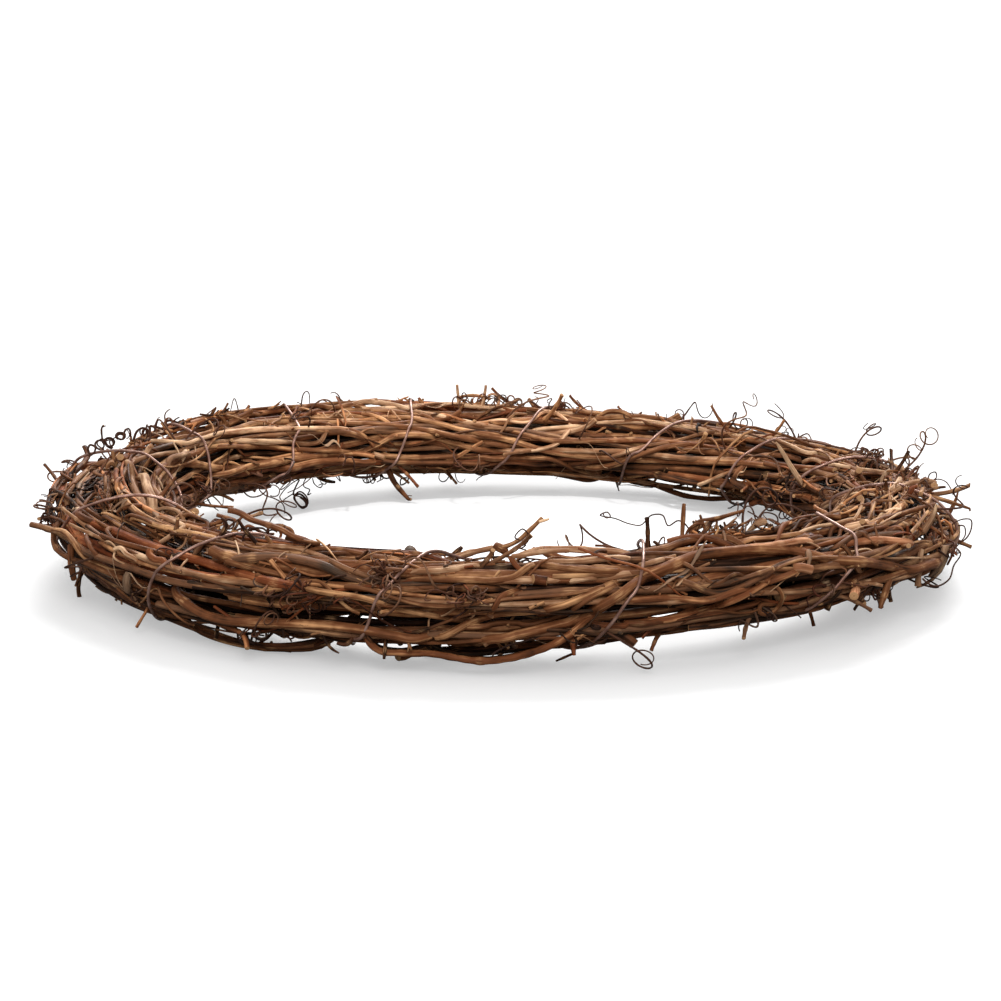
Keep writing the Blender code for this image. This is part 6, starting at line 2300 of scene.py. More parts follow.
STANDING_TWIGS = (
    # Bark, radius at the root and the tip in mm, hue, tone, lean to the eye, places from the root.
    ("brown", 1.5, 1.35, 0.2, 0.35, 0, "71,546 72,568 74,579"),
    ("brown", 0.6, 0.6, -0.1, 0.2, 0.1, "190,504 212,506 233,508"),
    ("tan", 0.5, 0.8, 0.2, 0.9, 0, "251,517 260,513"),
    ("brown", 0.7, 0.6, 0, 0.15, 0.2, "235,520 225,517 218,516"),
    ("brown", 0.5, 0.4, 0.1, 0.15, 0.2, "286,630 313,636 329,639 352,643"),
    ("brown", 0.6, 0.35, 0, 0.15, 0.3, "323,634 329,646 339,653"),
    ("brown", 1.1, 1.9, 0.3, 0.8, 0.3, "440,642 429,646 412,653 398,659"),
    ("brown", 0.8, 0.6, 0, 0.2, 0.2, "386,639 384,659"),
    ("brown", 0.6, 0.6, 0, 0.15, 0.2, "319,479 335,482"),
    ("brown", 0.95, 0.8, 0.1, 0.7, 0, "503,547 519,540 529,531 542,518"),
    ("tan", 0.55, 0.4, 0.1, 0.9, 0, "539,522 549,519"),
    ("brown", 1.2, 0.7, 0, 0.3, 0.2, "452,556 458,551 462,547"),
    ("brown", 1.3, 0.8, 0.5, 0.4, 0.3, "573,626 573,643 574,655"),
    ("brown", 0.5, 0.4, 0.4, 0.4, 0.2, "572,654 556,661"),
    ("brown", 1, 0.7, 0.5, 0.3, 0.2, "680,618 655,626 642,638"),
    ("brown", 0.6, 0.5, 0.3, 0.3, 0.2, "616,616 621,630"),
    ("brown", 0.95, 0.85, 0.1, 0.6, 0, "682,538 683,520 684,504"),
    ("tan", 0.9, 0.7, 0.1, 0.8, 0, "695,530 710,522 726,516 743,511"),
    ("brown", 0.7, 0.5, 0, 0.2, 0, "693,535 698,526 702,519"),
    ("brown", 0.5, 0.3, 0, 0.3, 0, "697,536 695,526 696,520"),
    ("brown", 0.7, 0.8, 0, 0.2, 0.1, "843,586 836,596 822,604 807,604 798,596"),
    ("brown", 1, 1.2, 0, 0.1, 0.2, "831,601 827,610"),
    ("tan", 1.7, 1.85, 0.5, 1, 8, "856,589 854,596"),
    ("brown", 0.8, 0.6, 0, 0.15, 0.3, "871,586 862,598 854,610"),
    ("brown", 1.5, 0.9, 0, 0.5, 0.3, "889,581 884,596 880,608"),
    ("brown", 0.6, 0.5, 0, 0.2, 0.2, "889,589 891,601"),
    ("tan", 1.4, 1.5, -0.4, 0.7, 0.4, "921,551 919,566 918,586"),
    ("brown", 1, 0.45, 0, 0.5, 0, "926,495 947,501 962,506 977,511"),
    ("brown", 1, 0.35, 0.1, 0.5, 0, "945,519 952,508 958,492"),
    ("brown", 0.7, 0.6, 0, 0.2, 0, "926,493 937,488 945,487"),
    ("tan", 1, 0.8, 0, 0.8, 0, "903,475 902,466"),
    ("brown", 0.8, 0.6, 0.1, 0.3, 0, "833,452 848,460 866,463"),
    ("brown", 0.6, 0.5, 0, 0.3, 0, "833,451 843,448 853,456 863,461"),
    ("brown", 0.7, 0.4, 0.1, 0.4, 0, "211,415 216,408"),
    ("brown", 0.7, 0.55, 0, 0.3, 0, "830,452 810,445 790,437 765,430 750,427 737,432"),
    ("brown", 0.45, 0.35, 0, 0.2, 0, "422,408 462,404"),
    ("brown", 0.9, 0.7, 0.1, 0.6, 0, "490,399 465,396 457,398"),
    ("brown", 0.6, 0.4, 0, 0.2, 0, "347,406 336,396"),
    ("brown", 0.7, 0.8, 0, 0.1, 0.2, "370,471 375,480"),
    ("brown", 0.9, 0.9, 0.1, 0.2, 0.2, "434,467 444,470 452,479"),
    ("brown", 0.6, 0.7, 0, 0.1, 0.2, "318,478 325,481 335,482"),
    ("tan", 0.9, 0.8, 0, 0.5, 0, "490,408 508,404 519,399"),
    ("tan", 0.8, 0.6, 0.3, 0.8, 0, "495,408 499,400 493,394 488,396"),
    ("brown", 0.6, 0.35, 0, 0.2, 0, "636,417 642,412"),
    ("brown", 0.45, 0.3, 0, 0.2, 0.2, "615,476 617,484 619,491"),
    ("brown", 0.6, 0.5, 0, 0.3, 0, "740,429 712,430 701,428 689,421 682,422"),
    ("brown", 0.55, 0.4, 0, 0.2, 0, "703,428 706,424 710,422"),
    ("brown", 0.5, 0.45, 0, 0.2, 0.1, "641,475 654,483 671,486 686,484"),
    ("brown", 1.2, 1.25, 0.2, 0.2, -0.1, "318,545 307,542 294,537 282,530 265,524 250,519 240,513 228,510"),
    ("brown", 0.6, 0.5, 0.3, 0.2, 0, "270,538 269,527 277,525 286,527 291,532 293,540"),
    ("brown", 1, 0.7, 0.4, 0.2, 0, "213,541 220,536 224,530 226,524 222,519"),
    ("brown", 0.7, 0.6, 0.3, 0.3, 0, "242,534 248,526 254,528 261,532 274,534"),
    ("brown", 0.9, 0.6, 0.3, 0.1, 0, "259,547 252,538 245,530 238,519"),
    ("tan", 0.6, 0.5, 0.2, 0.3, 0, "230,534 236,527 240,519 246,514"),
    ("brown", 0.6, 0.5, 0.3, 0.3, 0, "276,541 281,535 279,529 272,526"),
    ("brown", 0.8, 0.5, 0.1, 0.3, 0, "690,534 700,521 712,519 728,515 744,510"),
    ("brown", 0.7, 0.5, 0.2, 0.1, 0, "698,535 696,528 693,521"),
    ("brown", 0.6, 0.5, 0.2, 0.3, 0, "706,534 703,524 700,515"),
    ("tan", 0.5, 0.4, 0.2, 0.4, 0, "716,534 712,529 710,524"),
    ("brown", 0.6, 0.4, 0.2, 0.2, 0, "728,533 726,528 724,522"),
    ("brown", 0.5, 0.4, 0.3, 0.2, 0, "734,531 740,525 747,522 752,518"),
    ("tan", 0.5, 0.4, 0.3, 0.4, 0, "720,533 727,527 736,524"),
    ("brown", 0.6, 0.5, 0.2, 0.3, 0, "686,535 690,528 697,524 704,524"),
    ("brown", 0.5, 0.4, 0.1, 0.3, 0, "710,534 716,526 717,519"),
    ("brown", 1.4, 1.5, 0.3, 0.75, 0.1, "366,638 378,650 403,653 433,654 456,658 476,661 506,659 "
     "531,653 556,643 572,633"),
    ("brown", 1.4, 2.3, 0.3, 0.85, 0.1, "440,643 433,647 420,652 406,659 398,661"),
    ("tan", 1.4, 1.3, 0.2, 0.8, 0, "520,556 539,550 560,549 588,550 622,553 636,557"),
    ("tan", 1.3, 1.2, 0.1, 0.7, 0, "440,562 450,559 466,554 483,550 493,548"),
    ("brown", 1.5, 1.7, 0.2, 0.1, 0, "506,552 500,548 495,546"),
    ("brown", 0.8, 0.7, 0.2, 0.4, 0, "428,557 436,554 445,554 454,556"),
    ("brown", 0.7, 0.6, 0.2, 0.3, 0, "186,506 193,504 212,506 233,507"),
    ("brown", 0.8, 0.9, 0.2, 0.15, 0, "236,521 227,518 217,515"),
    ("tan", 0.6, 0.9, 0.2, 0.5, 0, "243,513 250,516 256,515 262,513"),
    ("tan", 0.5, 0.45, 0, 0.7, 0, "286,527 292,530 294,536 293,546"),
    ("brown", 0.95, 0.8, 0.3, 0.5, 0, "290,535 300,538 308,541 317,543"),
    ("brown", 1.5, 0.8, 0.2, 0.35, 0, "387,466 391,476 397,486 403,493 411,502"),
    ("brown", 0.6, 0.55, 0, 0.15, 0, "366,638 372,645 382,650 392,652 400,650"),
    ("brown", 0.9, 0.7, 0.3, 0.4, 0, "350,630 352,638 350,642 337,643"),
    ("brown", 1, 1.2, 0.1, 0.1, 0, "511,636 513,642 515,647"),
)
THREADS = (
    # Radius at the root and the tip in mm, tone, lean to the eye, places from the root.
    (0.42, 0.3, 0.3, 0, "246.3,479.9 243,489.9 249.6,496.5 261.2,494.9 266.2,489.9 262.9,484.1 "
     "259.3,488.2 264.6,494.9 274.5,498.5 282.8,504 284.8,513.4"),
    (0.34, 0.28, 0.4, 0, "254.6,481.6 253,485.8 257.9,488.2 267.9,488.2 272.9,484.9 279.5,489.9 "
     "278.2,494.9 270.4,495.7"),
    (0.3, 0.25, 0.3, 0, "299.4,479.1 294.4,481.6 286.1,488.2 279.5,496.5"),
    (0.3, 0.25, 0.3, 0, "294.4,493.2 286.1,498.2 281.1,502.3"),
    (0.42, 0.36, 0.2, 0, "299.4,479.9 294.4,494.9 299.4,491.6 306.4,496.5 307.7,504 302.7,506.8 "
     "296.1,501.5 294.7,496.5 302.7,498.2 306,505.7"),
    (0.34, 0.28, 0.3, 0, "306,478.3 304,486.6 309.7,489.9 307.7,494.9 311,493.2"),
    (0.34, 0.28, 0.3, 0, "236.4,479.9 237.2,487.4 242.2,489.6 248,487.4 246.3,484.1 241.4,485.8"),
    (0.34, 0.28, 0.3, 0, "312.7,478.3 314.6,484.1 320.9,487.4 322.6,484.1 318.5,485.3"),
    (0.34, 0.28, 0.3, 0, "526.1,544.7 519.5,548.4 515.3,547.2"),
    (0.34, 0.28, 0.3, 0, "519.5,539.7 515.3,538.1 522.5,529 529.4,537.3 526.1,543.4 519.5,547.2 526.1,550"),
    (0.36, 0.26, 0.3, 0, "689.7,530.6 678.1,520.7 668.2,525.7 662.4,515.2 652.4,514.9 640,525.3 "
     "630.1,524 615.1,518.5 600.2,514.9 607.7,512.4 610.2,516.5 606,517.9 603.2,513.2"),
    (0.36, 0.28, 0.3, 0.1, "746.1,510.7 739.5,504.9 730.4,508.2 727.6,512.4"),
    (0.36, 0.28, 0.3, 0, "777.6,523.2 776.8,516.5 771,513.2 762.7,513.5 759.7,518.2 754.4,514.9 747.8,511.2"),
    (0.34, 0.28, 0.3, 0, "789.2,519.8 784.3,516.5 783.4,513.2 787.6,512.4 790.1,515.7 786.7,518.5"),
    (0.34, 0.28, 0.4, 0, "749.4,520.7 746.1,525.7 739.5,525.2 732.9,523.2 735.3,521.5 737.5,524 "
     "732.9,525.7 729.5,524"),
    (0.34, 0.28, 0.3, 0.2, "785.9,606.1 794.2,611.9 800.8,617.7"),
    (0.36, 0.28, 0.4, 0, "944,534.4 953.9,539.4 962.2,541 969.7,532.8 970.2,519.5 963,519.2 "
     "952.2,526.1 955.6,532.8 957.2,542.7 953.9,547.7"),
    (0.36, 0.28, 0.4, 0, "947.3,531.1 955.6,526.1 963.9,526.1 965.5,534.4 958.9,543.5 955.6,547.7"),
    (0.4, 0.28, 0.4, 0.1, "922.4,578.4 937.3,586.1 948.9,579.2 953.9,565.9 960.2,552.7 953.9,546.4"),
    (0.32, 0.25, 0.6, 0, "930.7,486.3 936.5,479.4 945.6,481.7 950.6,488 952.6,494.6"),
    (0.34, 0.28, 0.3, 0, "905.8,474.7 905.8,468.9 910.8,468.9 913.3,473.9 909.1,476.4"),
    (0.34, 0.28, 0.3, 0, "929,481.4 929.9,473.9 935.7,472.2 936.5,477.2 932.3,481.4 934.8,485.5"),
    (0.3, 0.25, 0.6, 0, "847.8,454.8 854.4,447.9 863.5,449.8 868.5,453.2"),
    (0.34, 0.28, 0.3, 0, "869.3,464.8 867.7,455.7 872.7,453.2 876,459 872.7,463.1 877.6,466.4 "
     "880.9,459.8 876.8,456.5 878.5,449.8"),
    (0.34, 0.28, 0.3, 0, "872.7,468.1 867.7,466.4 871,461.5 877.6,463.1 876,468.9"),
    (0.28, 0.22, 0.6, 0, "774.8,433.3 777.3,427.5 784.8,426.6 787.3,432.4 789.7,436.6"),
    (0.36, 0.28, 0.3, 0, "101.4,448.1 97.2,443.2 101.4,439 106.3,440.7 110.5,439.8 113,445.7"),
    (0.36, 0.28, 0.3, 0, "104.7,441.5 101.4,434.9 101.7,428.2 105.5,425.8"),
    (0.36, 0.28, 0.3, 0, "113,448.1 109.6,441.5 116.6,436.5 119.6,432.4 125.4,434 123.7,439 118.8,438.2"),
    (0.32, 0.25, 0.6, 0, "122.9,438.2 126.2,429.1 129.5,434.9 126.2,439"),
    (0.36, 0.28, 0.3, 0, "134.5,441.5 135.3,434.9 139.5,429.1 144.5,428.2 147.8,433.2 146.1,438.2"),
    (0.4, 0.3, 0.3, 0, "142.8,436.5 147.8,426.6 154.4,428.2 152.8,433.2"),
    (0.36, 0.28, 0.3, 0, "162.7,428.2 166,422.4 172.7,420.8 180.9,424.9 177.6,428.2"),
    (0.3, 0.24, 0.3, 0, "61.6,492.9 49.9,489.6 51.6,496.2 45,494.9 40.8,494.9"),
    (0.3, 0.24, 0.3, 0, "56.6,496.2 53.3,489.6 49.9,488.8 49.1,492.9 48.3,500.4"),
    (0.3, 0.24, 0.3, 0, "64.9,476.3 63.2,471.4 64,468"),
    (0.45, 0.35, 0.4, 0, "54.9,526.1 46.6,517.8 41.7,519.4 42.5,526.1 48.3,529.4 51.6,522.8 46.6,516.1 "
     "40,517.8"),
    (0.5, 0.4, 0.2, 0.3, "142.8,577.5 132.9,582.4 131.2,590.7 136.2,594.1 139.5,587.4 134.5,584.1"),
    (0.4, 0.35, 0.2, 0.3, "146.1,582.4 141.1,589.1 132.9,592.4 130.4,587.4 137.8,582.4"),
    (0.5, 0.4, 0.4, 0.2, "601.6,621 598.3,626 607.4,630.9 607.4,636.7 594.1,644.5 575.9,648.4"),
    (0.4, 0.3, 0.3, 0.2, "600.7,627.6 592.4,626.3 582.5,632.6 576.7,646.7"),
    (0.45, 0.35, 0.2, 0.2, "552.7,634.6 536.1,637.6 522.8,641.7 509.5,645 492.1,654.5"),
    (0.4, 0.35, 0.2, 0.2, "542.7,627.6 536.1,637.6"),
    (0.5, 0.4, 0.2, 0.3, "239.7,629.2 238,637.5 243,644.1 248,637.5 243,630.8 251.3,642.4 254.6,644.4"),
    (0.5, 0.4, 0.2, 0.3, "254.6,627.5 253,634.2 257.9,639.1 264.6,639.1 266.2,632.5"),
    (0.4, 0.3, 0.3, 0.3, "463.1,654.2 461.5,649.2 468.1,648.4 473.9,655.8 473.1,663.3 464.8,662.8 "
     "461.5,657.5"),
    (0.4, 0.35, 0.2, 0.1, "399.1,467.9 409.1,474.6 405.8,482.9 400.8,484.8 400.8,479.5 407.4,477.9"),
    (0.28, 0.24, 0.3, 0.1, "483.7,467.9 483.7,474.6 478.7,477.9 476.2,480.4"),
    (0.26, 0.22, 0.5, 0.1, "414.1,467.9 420.7,472.9 432.3,471.2"),
    (0.28, 0.24, 0.3, 0.1, "482.5,467.9 482.5,474.5 480.8,477"),
    (0.28, 0.24, 0.4, 0, "562.1,409.9 563.7,405.7 567.9,406.6 567.9,410.7"),
    (0.3, 0.25, 0.3, 0.1, "687.3,484.5 689.8,490.3 695.6,488.6 697.2,484.5 700.5,491.1"),
    (0.28, 0.22, 0.5, 0, "533.1,406.6 537.2,397.4 534.7,396.6"),
    (0.7, 0.6, 0.3, 0, "184,427 176,423 171,420.5 166,421.5 164,426 167,429.5 172,429.5 176.5,427"),
    (0.55, 0.5, 0.3, 0, "118,439 116,436 118,433 122,433 125,436 123,439 119,439 117,436 120,434 124,436"),
    (0.5, 0.4, 0.3, 0, "124,438 125,431 128,428.5 130.5,432 130,437"),
    (0.5, 0.4, 0.3, 0, "103,443 102,438 101.8,432 101.6,428 104,425.3"),
    (0.5, 0.4, 0.3, 0, "104,449 97,448 95,444 98,440.5 103,442 104,446 99,449"),
    (0.65, 0.55, 0.3, 0, "133,443 134.5,437 137,431.5 143,428 148.5,430.7 150.5,436.5 148,441"),
    (0.6, 0.5, 0.5, 0, "152,437 150,430 150.5,426 154,427 156,432"),
    (0.7, 0.55, 0.2, 0, "112,448 106,444 105,440 110,438 114,441 112,446 107,446"),
    (0.55, 0.45, 0.3, 0, "92,455 88,450 90,445 95,447 94,453 89,456"),
    (0.45, 0.4, 0.2, 0, "252,532 249,529 256,528 264,529 268,533"),
    (0.4, 0.35, 0.3, 0, "262,538 266,533 272,530 277,532"),
    (0.5, 0.4, 0.2, 0, "466,658 462,654 464,650 470,650 474,655 472,661 467,662"),
    (0.4, 0.35, 0.2, 0, "440,649 448,650 456,651 462,652"),
    (0.4, 0.3, 0.3, 0, "492,655 500,648 510,645 520,643 534,640 546,636"),
    (0.6, 0.5, 0.2, 0, "300,497 304,500 307,505 303,508 297,503 294,497 299,494 305,498 307,503"),
)
SEEN_LEAVES = (
    # Half width at the root and the tip in mm, hue, tone, lean to the eye, places from the root.
    (1.3, 0.4, 0.2, 0.35, 0.2, "386,468 390,475 396,483 402,493 412,502"),
    (1.5, 0.9, -0.2, 0.9, 0.3, "803,486 798,478 790,465 783,453 776,442"),
    (1.7, 0.8, -0.4, 0.9, 0.3, "921,534 927,526 933,516 936,504"),
    (1.3, 0.8, -0.5, 0.9, 0.3, "924,500 928,510 932,519 934,526"),
    (1.3, 0.5, -0.3, 0.9, 0.3, "934,519 922,528 912,534 906,537"),
    (1.2, 0.8, -0.1, 0.8, 0.3, "796,493 803,501 811,506"),
    (0.9, 0.5, 0.5, 0.9, 0.4, "321,472 329,476 343,473"),
)

print(len(LAID_CANES), "canes,", len(STANDING_TWIGS), "twigs and", len(THREADS), "threads were read")

# %% Laying a cane through places in the picture
def drawn_through(places, spacing):
    """Close places in the picture on a smooth line through the ones given."""
    line, _ = smooth_line(np.column_stack([places, 0 * places[:, 0]]), spacing)
    return line[:, :2]


def crested(values, reach):
    """Values along a line, each replaced by the least one nearby."""
    wider = np.pad(values, reach, mode="edge")
    return np.min([wider[shift : shift + len(values)] for shift in range(2 * reach + 1)], axis=0)


# A long cane that was read from the picture goes on a little and dives under its neighbours.
DIVE_FROM = 22 * MM
DIVE_LENGTH = 9 * MM
DIVE_DEPTH = 1.2 * MM
# Both in pixels of the picture.
RUN_ON = 14.0
LONG = 45


def run_on(places):
    """The places of a long line with one more beyond each end."""
    if np.linalg.norm(np.diff(places, axis=0), axis=1).sum() < LONG:
        return places
    first, last = units(places[0] - places[1]), units(places[-1] - places[-2])
    return np.concatenate([[places[0] + RUN_ON * first], places, [places[-1] + RUN_ON * last]])


def dived(line, radius):
    """A line with its ends sunk into the bundle, if it is long."""
    way = way_along(line)
    if way[-1] < DIVE_FROM:
        return line
    sunk = np.clip(1 - np.minimum(way, way[-1] - way) / DIVE_LENGTH, 0, 1) ** 2
    bearing, angle, _ = bundle_place(line)
    return line - ((1.3 * radius + DIVE_DEPTH) * sunk)[:, None] * outward(bearing, angle)


# A laid line ends where the bundle falls away under it, so that it leaps over no gap.
LEAP_MOST = 14 * MM


def without_leaps(depth):
    """The indices of the longest stretch of depths that follow each other closely."""
    leaps = np.flatnonzero(np.abs(np.diff(depth)) > LEAP_MOST) + 1
    return max(np.split(np.arange(len(depth)), leaps), key=len)


# How far apart a laid line's points are in the picture, and how far it may be set in or out.
LAID_SPACING = 2.7
SET_IN, SET_OUT = -0.5 * MM, 1.5 * MM


def laid_line(places, radius, lift, stiff=3):
    """A line on the bundle that the eye sees through the places.

    It rests on the nearest of what lies under it, because a cane is stiff. It is set out from the
    bundle by at most a millimetre or two, and then lifted towards the eye by a share of its radius,
    which leaves it where it was seen.
    """
    places = drawn_through(places, LAID_SPACING)
    ways = sight_lines(places)
    depth = crested(seen_depth(places)[0], stiff)
    kept = without_leaps(depth)
    ways, depth = ways[kept], blurred(depth[kept], 8)
    line = eye_place + depth[:, None] * ways
    bearing, angle, distance = bundle_place(line)
    shift = np.clip(blurred(reach_at(bearing, angle) - distance, 6), SET_IN, SET_OUT)
    line = line + (shift + 0.15 * radius)[:, None] * outward(bearing, angle)
    return line - lift * radius * units(ways)


# How far a line may be pressed into the box, and how few points of it are still worth keeping.
PRESSED_MOST = 5 * MM
FEWEST_POINTS = 4


def part_in_box(line, radius):
    """The stretch of a line that fits the solids' box, from its start.

    Where it sticks out a little it is pressed in, and where it sticks out more it ends.
    """
    inside = np.clip(line, BOX_LOW + radius, BOX_HIGH - radius)
    outside = np.linalg.norm(inside - line, axis=1) > PRESSED_MOST
    end = int(outside.argmax()) if outside.any() else len(line)
    return inside[:end]


SEEN_KINDS = ("brown", "tan", "tendril")


def add_laid_canes(tubes):
    for bark, radius, hue, tone, text in LAID_CANES:
        line = laid_line(run_on(read_places(text)), radius * MM, look.uniform(0.2, 0.9))
        line = part_in_box(dived(line, radius * MM), radius * MM)
        if len(line) < FEWEST_POINTS:
            continue
        way = way_along(line)
        knuckles = knuckles_along(way[-1]) if radius > 0.9 else np.empty(0)
        turns = turns_of(12 if radius > 0.7 else 7)
        reach, bells = cane_reach(way, np.full(len(line), radius * MM), knuckles, turns)
        wear = SEEN_KINDS.index(bark)
        slant = look.uniform(-0.4, 0.4)
        tubes.add(line, reach, turns, hue, tone, bells, wear, slant, look.uniform(0, 5))
        laid.append((line, radius * MM))

# %% Twigs, threads and leaves that stand out
STANDING_SPACING, THREAD_SPACING = 2.0, 1.2
CLEAR_OF_ROOT = 1.0 * MM
SWAY = 0.8 * MM
SEEN_LEAF_THICKNESS = 0.22 * MM


def standing_line(text, lean, spacing=STANDING_SPACING):
    """A line that starts on the bundle and goes through the places at the depth of its root."""
    places = drawn_through(read_places(text), spacing)
    depth, meets = seen_depth(places)
    root = depth[meets.argmax()]
    gone = np.append(0.0, np.cumsum(np.linalg.norm(np.diff(places, axis=0), axis=1))) / FOCAL * root
    return eye_place + (root + CLEAR_OF_ROOT - lean * gone)[:, None] * sight_lines(places)


def add_standing_twigs(tubes):
    for bark, root, tip, hue, tone, lean, text in STANDING_TWIGS:
        line = part_in_box(standing_line(text, lean), max(root, tip) * MM)
        if len(line) < FEWEST_POINTS:
            continue
        way = way_along(line)
        share = way / way[-1]
        turns = turns_of(10)
        radius = MM * (root + (tip - root) * share**3)
        bells = np.exp(-(((share - 0.55) * way[-1] / (1.6 * MM)) ** 2))
        lumps = slow_waves(way, (5 * MM, 20 * MM), 0.05)
        reach = radius[:, None] * (1 + 0.15 * bells + lumps)[:, None] * (1 + 0.05 * np.cos(2 * turns))
        wear = SEEN_KINDS.index(bark)
        slant = look.uniform(-0.6, 0.6)
        tubes.add(line, reach, turns, hue, tone, bells, wear, slant, look.uniform(0, 5))


PICTURE_CENTRE = np.array([[505.0, 508.0]])


def add_threads(tubes):
    for root, tip, tone, lean, text in THREADS:
        line = part_in_box(standing_line(text, lean, THREAD_SPACING), root * MM)
        if len(line) < FEWEST_POINTS:
            continue
        share = np.linspace(0, 1, len(line))
        sway = np.sin(share * look.uniform(8, 16) + look.uniform(0, 6))
        line = line + (SWAY * sway * share)[:, None] * sight_lines(PICTURE_CENTRE)
        radius = MM * (root + (tip - root) * share)
        tubes.add(line, np.repeat(radius[:, None], 6, axis=1), turns_of(6), 0.0, tone, wear=2)


def add_seen_leaves(tubes):
    for root, tip, hue, tone, lean, text in SEEN_LEAVES:
        line = part_in_box(standing_line(text, lean), root * MM)
        if len(line) < FEWEST_POINTS:
            continue
        share = np.linspace(0, 1, len(line))
        width = MM * (root + (tip - root) * share) * np.interp(share, [0, 0.15, 0.85, 1], [0.5, 1, 0.9, 0.3])
        turns = turns_of(10)
        reach = flat_reach(width[None], np.full((1, len(line)), SEEN_LEAF_THICKNESS), turns)
        twisted = turns + look.uniform(0, 6)
        tubes.add(line[None], reach, twisted, hue, tone, wear=1, offset=look.uniform(0, 5))

# %% [markdown]
# ### Brushwood
# In some places the wreath isn't smooth canes but a tangle of fine side shoots, most of them dark, that
# were pressed flat when it was bound. Each tangle is a cloud of short twigs with one main direction.
# They are laid on the bundle like the canes, so they keep to its surface.

# %% The tangles
TANGLES = (
    # Place in the picture and its spread, number, lengths in pixels, direction and its spread.
    (84, 488, 13, 11, 44, 7, 22, 25, 40),
    (112, 500, 12, 9, 22, 6, 16, 60, 60),
    (165, 535, 22, 9, 34, 7, 20, -25, 50),
    (105, 447, 12, 7, 34, 5, 13, 45, 80),
    (128, 441, 12, 5, 22, 5, 12, 30, 80),
    (60, 510, 8, 14, 26, 5, 13, 80, 60),
    (212, 516, 24, 8, 64, 5, 15, 0, 80),
    (255, 528, 24, 6, 40, 5, 14, -10, 80),
    (300, 543, 22, 5, 26, 5, 12, 0, 80),
    (500, 555, 26, 3, 28, 5, 12, 10, 70),
    (715, 531, 24, 5, 80, 6, 15, 25, 70),
    (225, 412, 22, 4, 34, 6, 14, 15, 60),
    (128, 438, 26, 6, 56, 5, 15, 25, 80),
    (180, 424, 20, 5, 40, 5, 15, 15, 80),
    (72, 480, 8, 12, 34, 5, 14, 70, 60),
    (275, 404, 22, 3, 30, 5, 12, 5, 60),
    (410, 398, 30, 3, 24, 5, 12, 0, 60),
    (580, 404, 30, 3, 24, 5, 12, -5, 60),
    (650, 412, 30, 4, 30, 6, 14, -10, 60),
    (740, 432, 24, 5, 34, 6, 16, -20, 60),
    (770, 525, 16, 6, 30, 5, 13, 20, 80),
    (872, 480, 26, 8, 84, 8, 24, 28, 24),
    (850, 500, 26, 9, 84, 8, 24, 26, 28),
    (905, 495, 20, 10, 60, 7, 18, 40, 60),
    (806, 512, 16, 10, 40, 7, 18, 40, 50),
    (928, 525, 10, 16, 40, 5, 14, 70, 50),
    (795, 482, 22, 10, 34, 7, 18, 20, 60),
    (345, 407, 14, 3, 22, 4, 11, 10, 80),
    (470, 402, 14, 3, 18, 4, 11, 10, 80),
    (245, 565, 40, 10, 26, 6, 18, -15, 50),
    (470, 600, 60, 20, 40, 6, 18, 5, 50),
    (700, 580, 60, 18, 40, 6, 18, 15, 50),
)
# A twig that passes the bundle at more than this distance is left out.
TOUCHING = -0.5 * MM


def add_tangles(tubes):
    """Many short bent twigs round the places, each laid on the bundle by itself."""
    for x, y, wide, high, count, short, long, course, spread in TANGLES:
        for _ in range(count):
            middle = np.array([x, y]) + look.normal(0, 0.6, 2) * (wide, high)
            turned = math.radians(course + look.normal(0, 0.5) * spread)
            along_it = np.array([math.cos(turned), -math.sin(turned)])
            half = 0.5 * look.uniform(short, long) * along_it
            bow = look.normal(0, 0.12) * half[::-1] * (1, -1)
            places = np.array([middle - half, middle + bow, middle + half])
            radius = look.uniform(0.22, 0.6) * MM
            line = laid_line(places, radius, look.uniform(0.2, 3.5), 1)
            line = line[np.linspace(0, len(line) - 1, 5).astype(int)]
            inside = ((line - radius > BOX_LOW) & (line + radius < BOX_HIGH)).all(axis=1)
            if not inside.all() or buried(line).max() < TOUCHING:
                continue
            reach = radius * (1 + 0.15 * look.normal(size=(len(line), 1))) * np.ones((1, 5))
            tone = look.uniform(-0.2, 1.0)
            tubes.add(line, reach, turns_of(5), look.uniform(-0.2, 0.4), tone, offset=look.uniform(0, 5))


tangles = Tubes()
add_tangles(tangles)
show(tangles.mesh("brushwood"), ("bark_brown",))
print("the brushwood has", tangles.count, "vertices")

# %% [markdown]
# ### Fine canes on top
# The last shoots to be wound on are the thinnest. They run along the ring with hardly any turn, over
# everything else, and show as fine lines across the thicker canes.

# %% Fine canes
# The same columns as for the thin canes.
FINE_CANES = ((110, (14, 45), (-16, 16), (0.45, 0.85), (-0.3, 0.7), 30, 7),)
show(surface_twigs(FINE_CANES).mesh("fine_canes"), ("bark_brown",))

# %% The pieces that were read from the picture
laid = []
seen_canes, seen_twigs, seen_leaves = Tubes(), Tubes(), Tubes()
add_laid_canes(seen_canes)
add_standing_twigs(seen_twigs)
add_threads(seen_twigs)
add_seen_leaves(seen_leaves)
SEEN_BARKS = ("bark_brown", "bark_tan", "tendril")
seen = {"crossing_canes": seen_canes, "standing_twigs": seen_twigs, "leaves_and_peel": seen_leaves}
for name, tubes in seen.items():
    show(tubes.mesh(name), SEEN_BARKS)
print("canes laid:", len(laid))

# %% [markdown]
# ## The binding wire
# The solid wire has corners where it bends over a cane. Real wire is springy and rounds them. Cutting
# each corner off twice, a quarter of the way along its sides, gives such a curve. Where a cane that was
# laid on the bundle lies in its way, the wire is set out and passes over it.

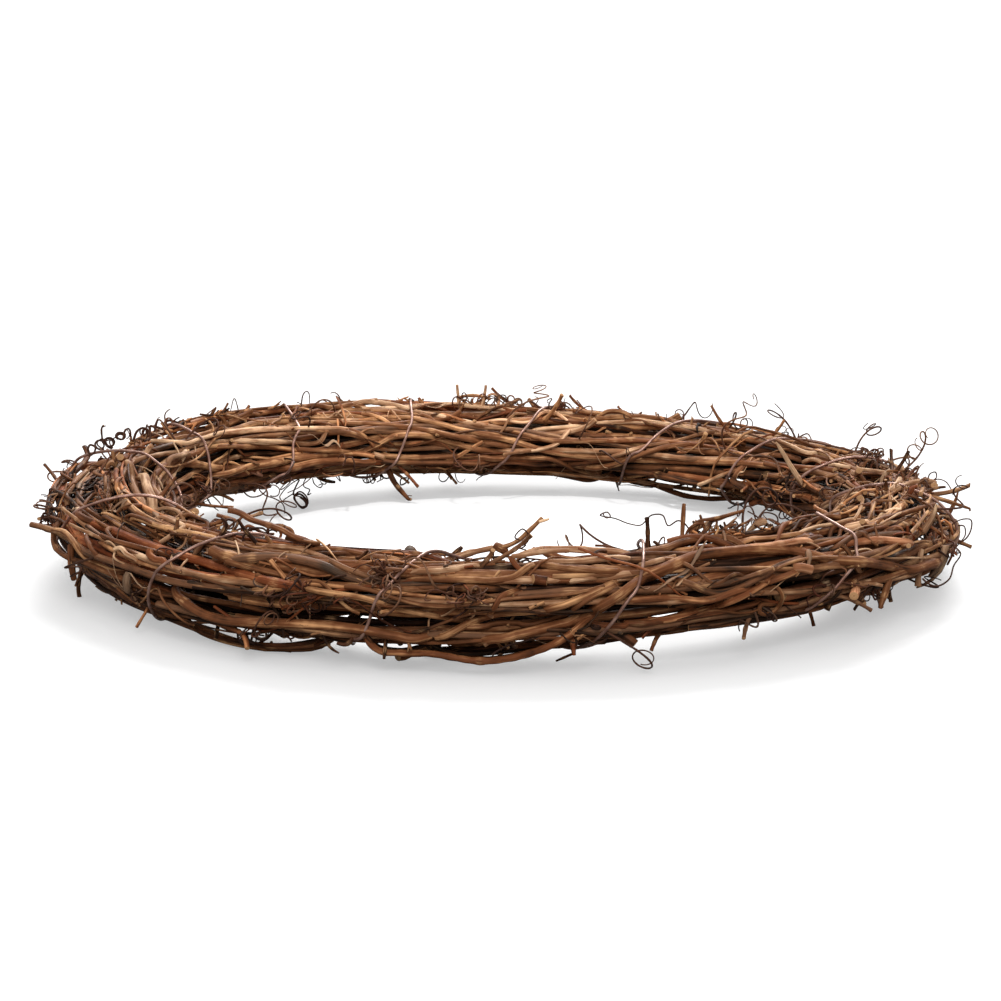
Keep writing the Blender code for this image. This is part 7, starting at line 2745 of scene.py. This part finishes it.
# %% Rounding the wire
WIRE_TURNS = 10
WIRE_ROWS = 1.6 * MM
WIRE_LIFTED_MOST = 3.4 * MM


def corners_cut(points):
    """Two points for each side of a chain, a quarter and three quarters of the way along it."""
    early = 0.75 * points[:-1] + 0.25 * points[1:]
    late = 0.25 * points[:-1] + 0.75 * points[1:]
    between = np.stack([early, late], axis=1).reshape(-1, 3)
    return np.concatenate([points[:1], between, points[-1:]])


def over_the_canes(line):
    """The wire's line, set out wherever a laid cane lies in its way."""
    bearing, angle, _ = bundle_place(line)
    needed = np.zeros(len(line))
    for cane, radius in laid:
        apart = np.linalg.norm(line[:, None] - cane[None], axis=2).min(axis=1)
        needed = np.maximum(needed, radius + WIRE_RADIUS - apart)
    needed = np.minimum(blurred(raised(needed, 2), 6), WIRE_LIFTED_MOST)
    line = line + needed[:, None] * outward(bearing, angle)
    return np.clip(line, BOX_LOW + WIRE_RADIUS, BOX_HIGH - WIRE_RADIUS)


wire_line = corners_cut(corners_cut(wreath.wire))
wire_line, _ = smooth_line(wire_line, WIRE_ROWS)
wire_line = over_the_canes(wire_line)
wire_tubes = Tubes()
wire_reach = np.full((len(wire_line), WIRE_TURNS), WIRE_RADIUS)
wire_tubes.add(wire_line, wire_reach, turns_of(WIRE_TURNS))
show(wire_tubes.mesh("wire_wound"), ("coated_wire",), ("binding_wire",))
print("the wire is", round(float(way_along(wire_line)[-1]), 2), "m long")

# %% [markdown]
# ## Finishing
# The dressing must not make the wreath bigger, and it was kept inside the solids' box above. Here the
# triangles of the pieces are counted.

# %% How many triangles the pieces have
def triangles_of(mesh):
    corners = np.empty(len(mesh.polygons), int)
    mesh.polygons.foreach_get("loop_total", corners)
    return int((corners - 2).sum())


meshes = [piece.data for piece in scene.objects if piece.type == "MESH"]
triangles = {mesh.name: triangles_of(mesh) for mesh in meshes if "grain" in mesh.attributes}
print("triangles of all pieces:", sum(triangles.values()), "and of the largest ones:")
for name in sorted(triangles, key=triangles.get, reverse=True)[:8]:
    print("  ", name, triangles[name])
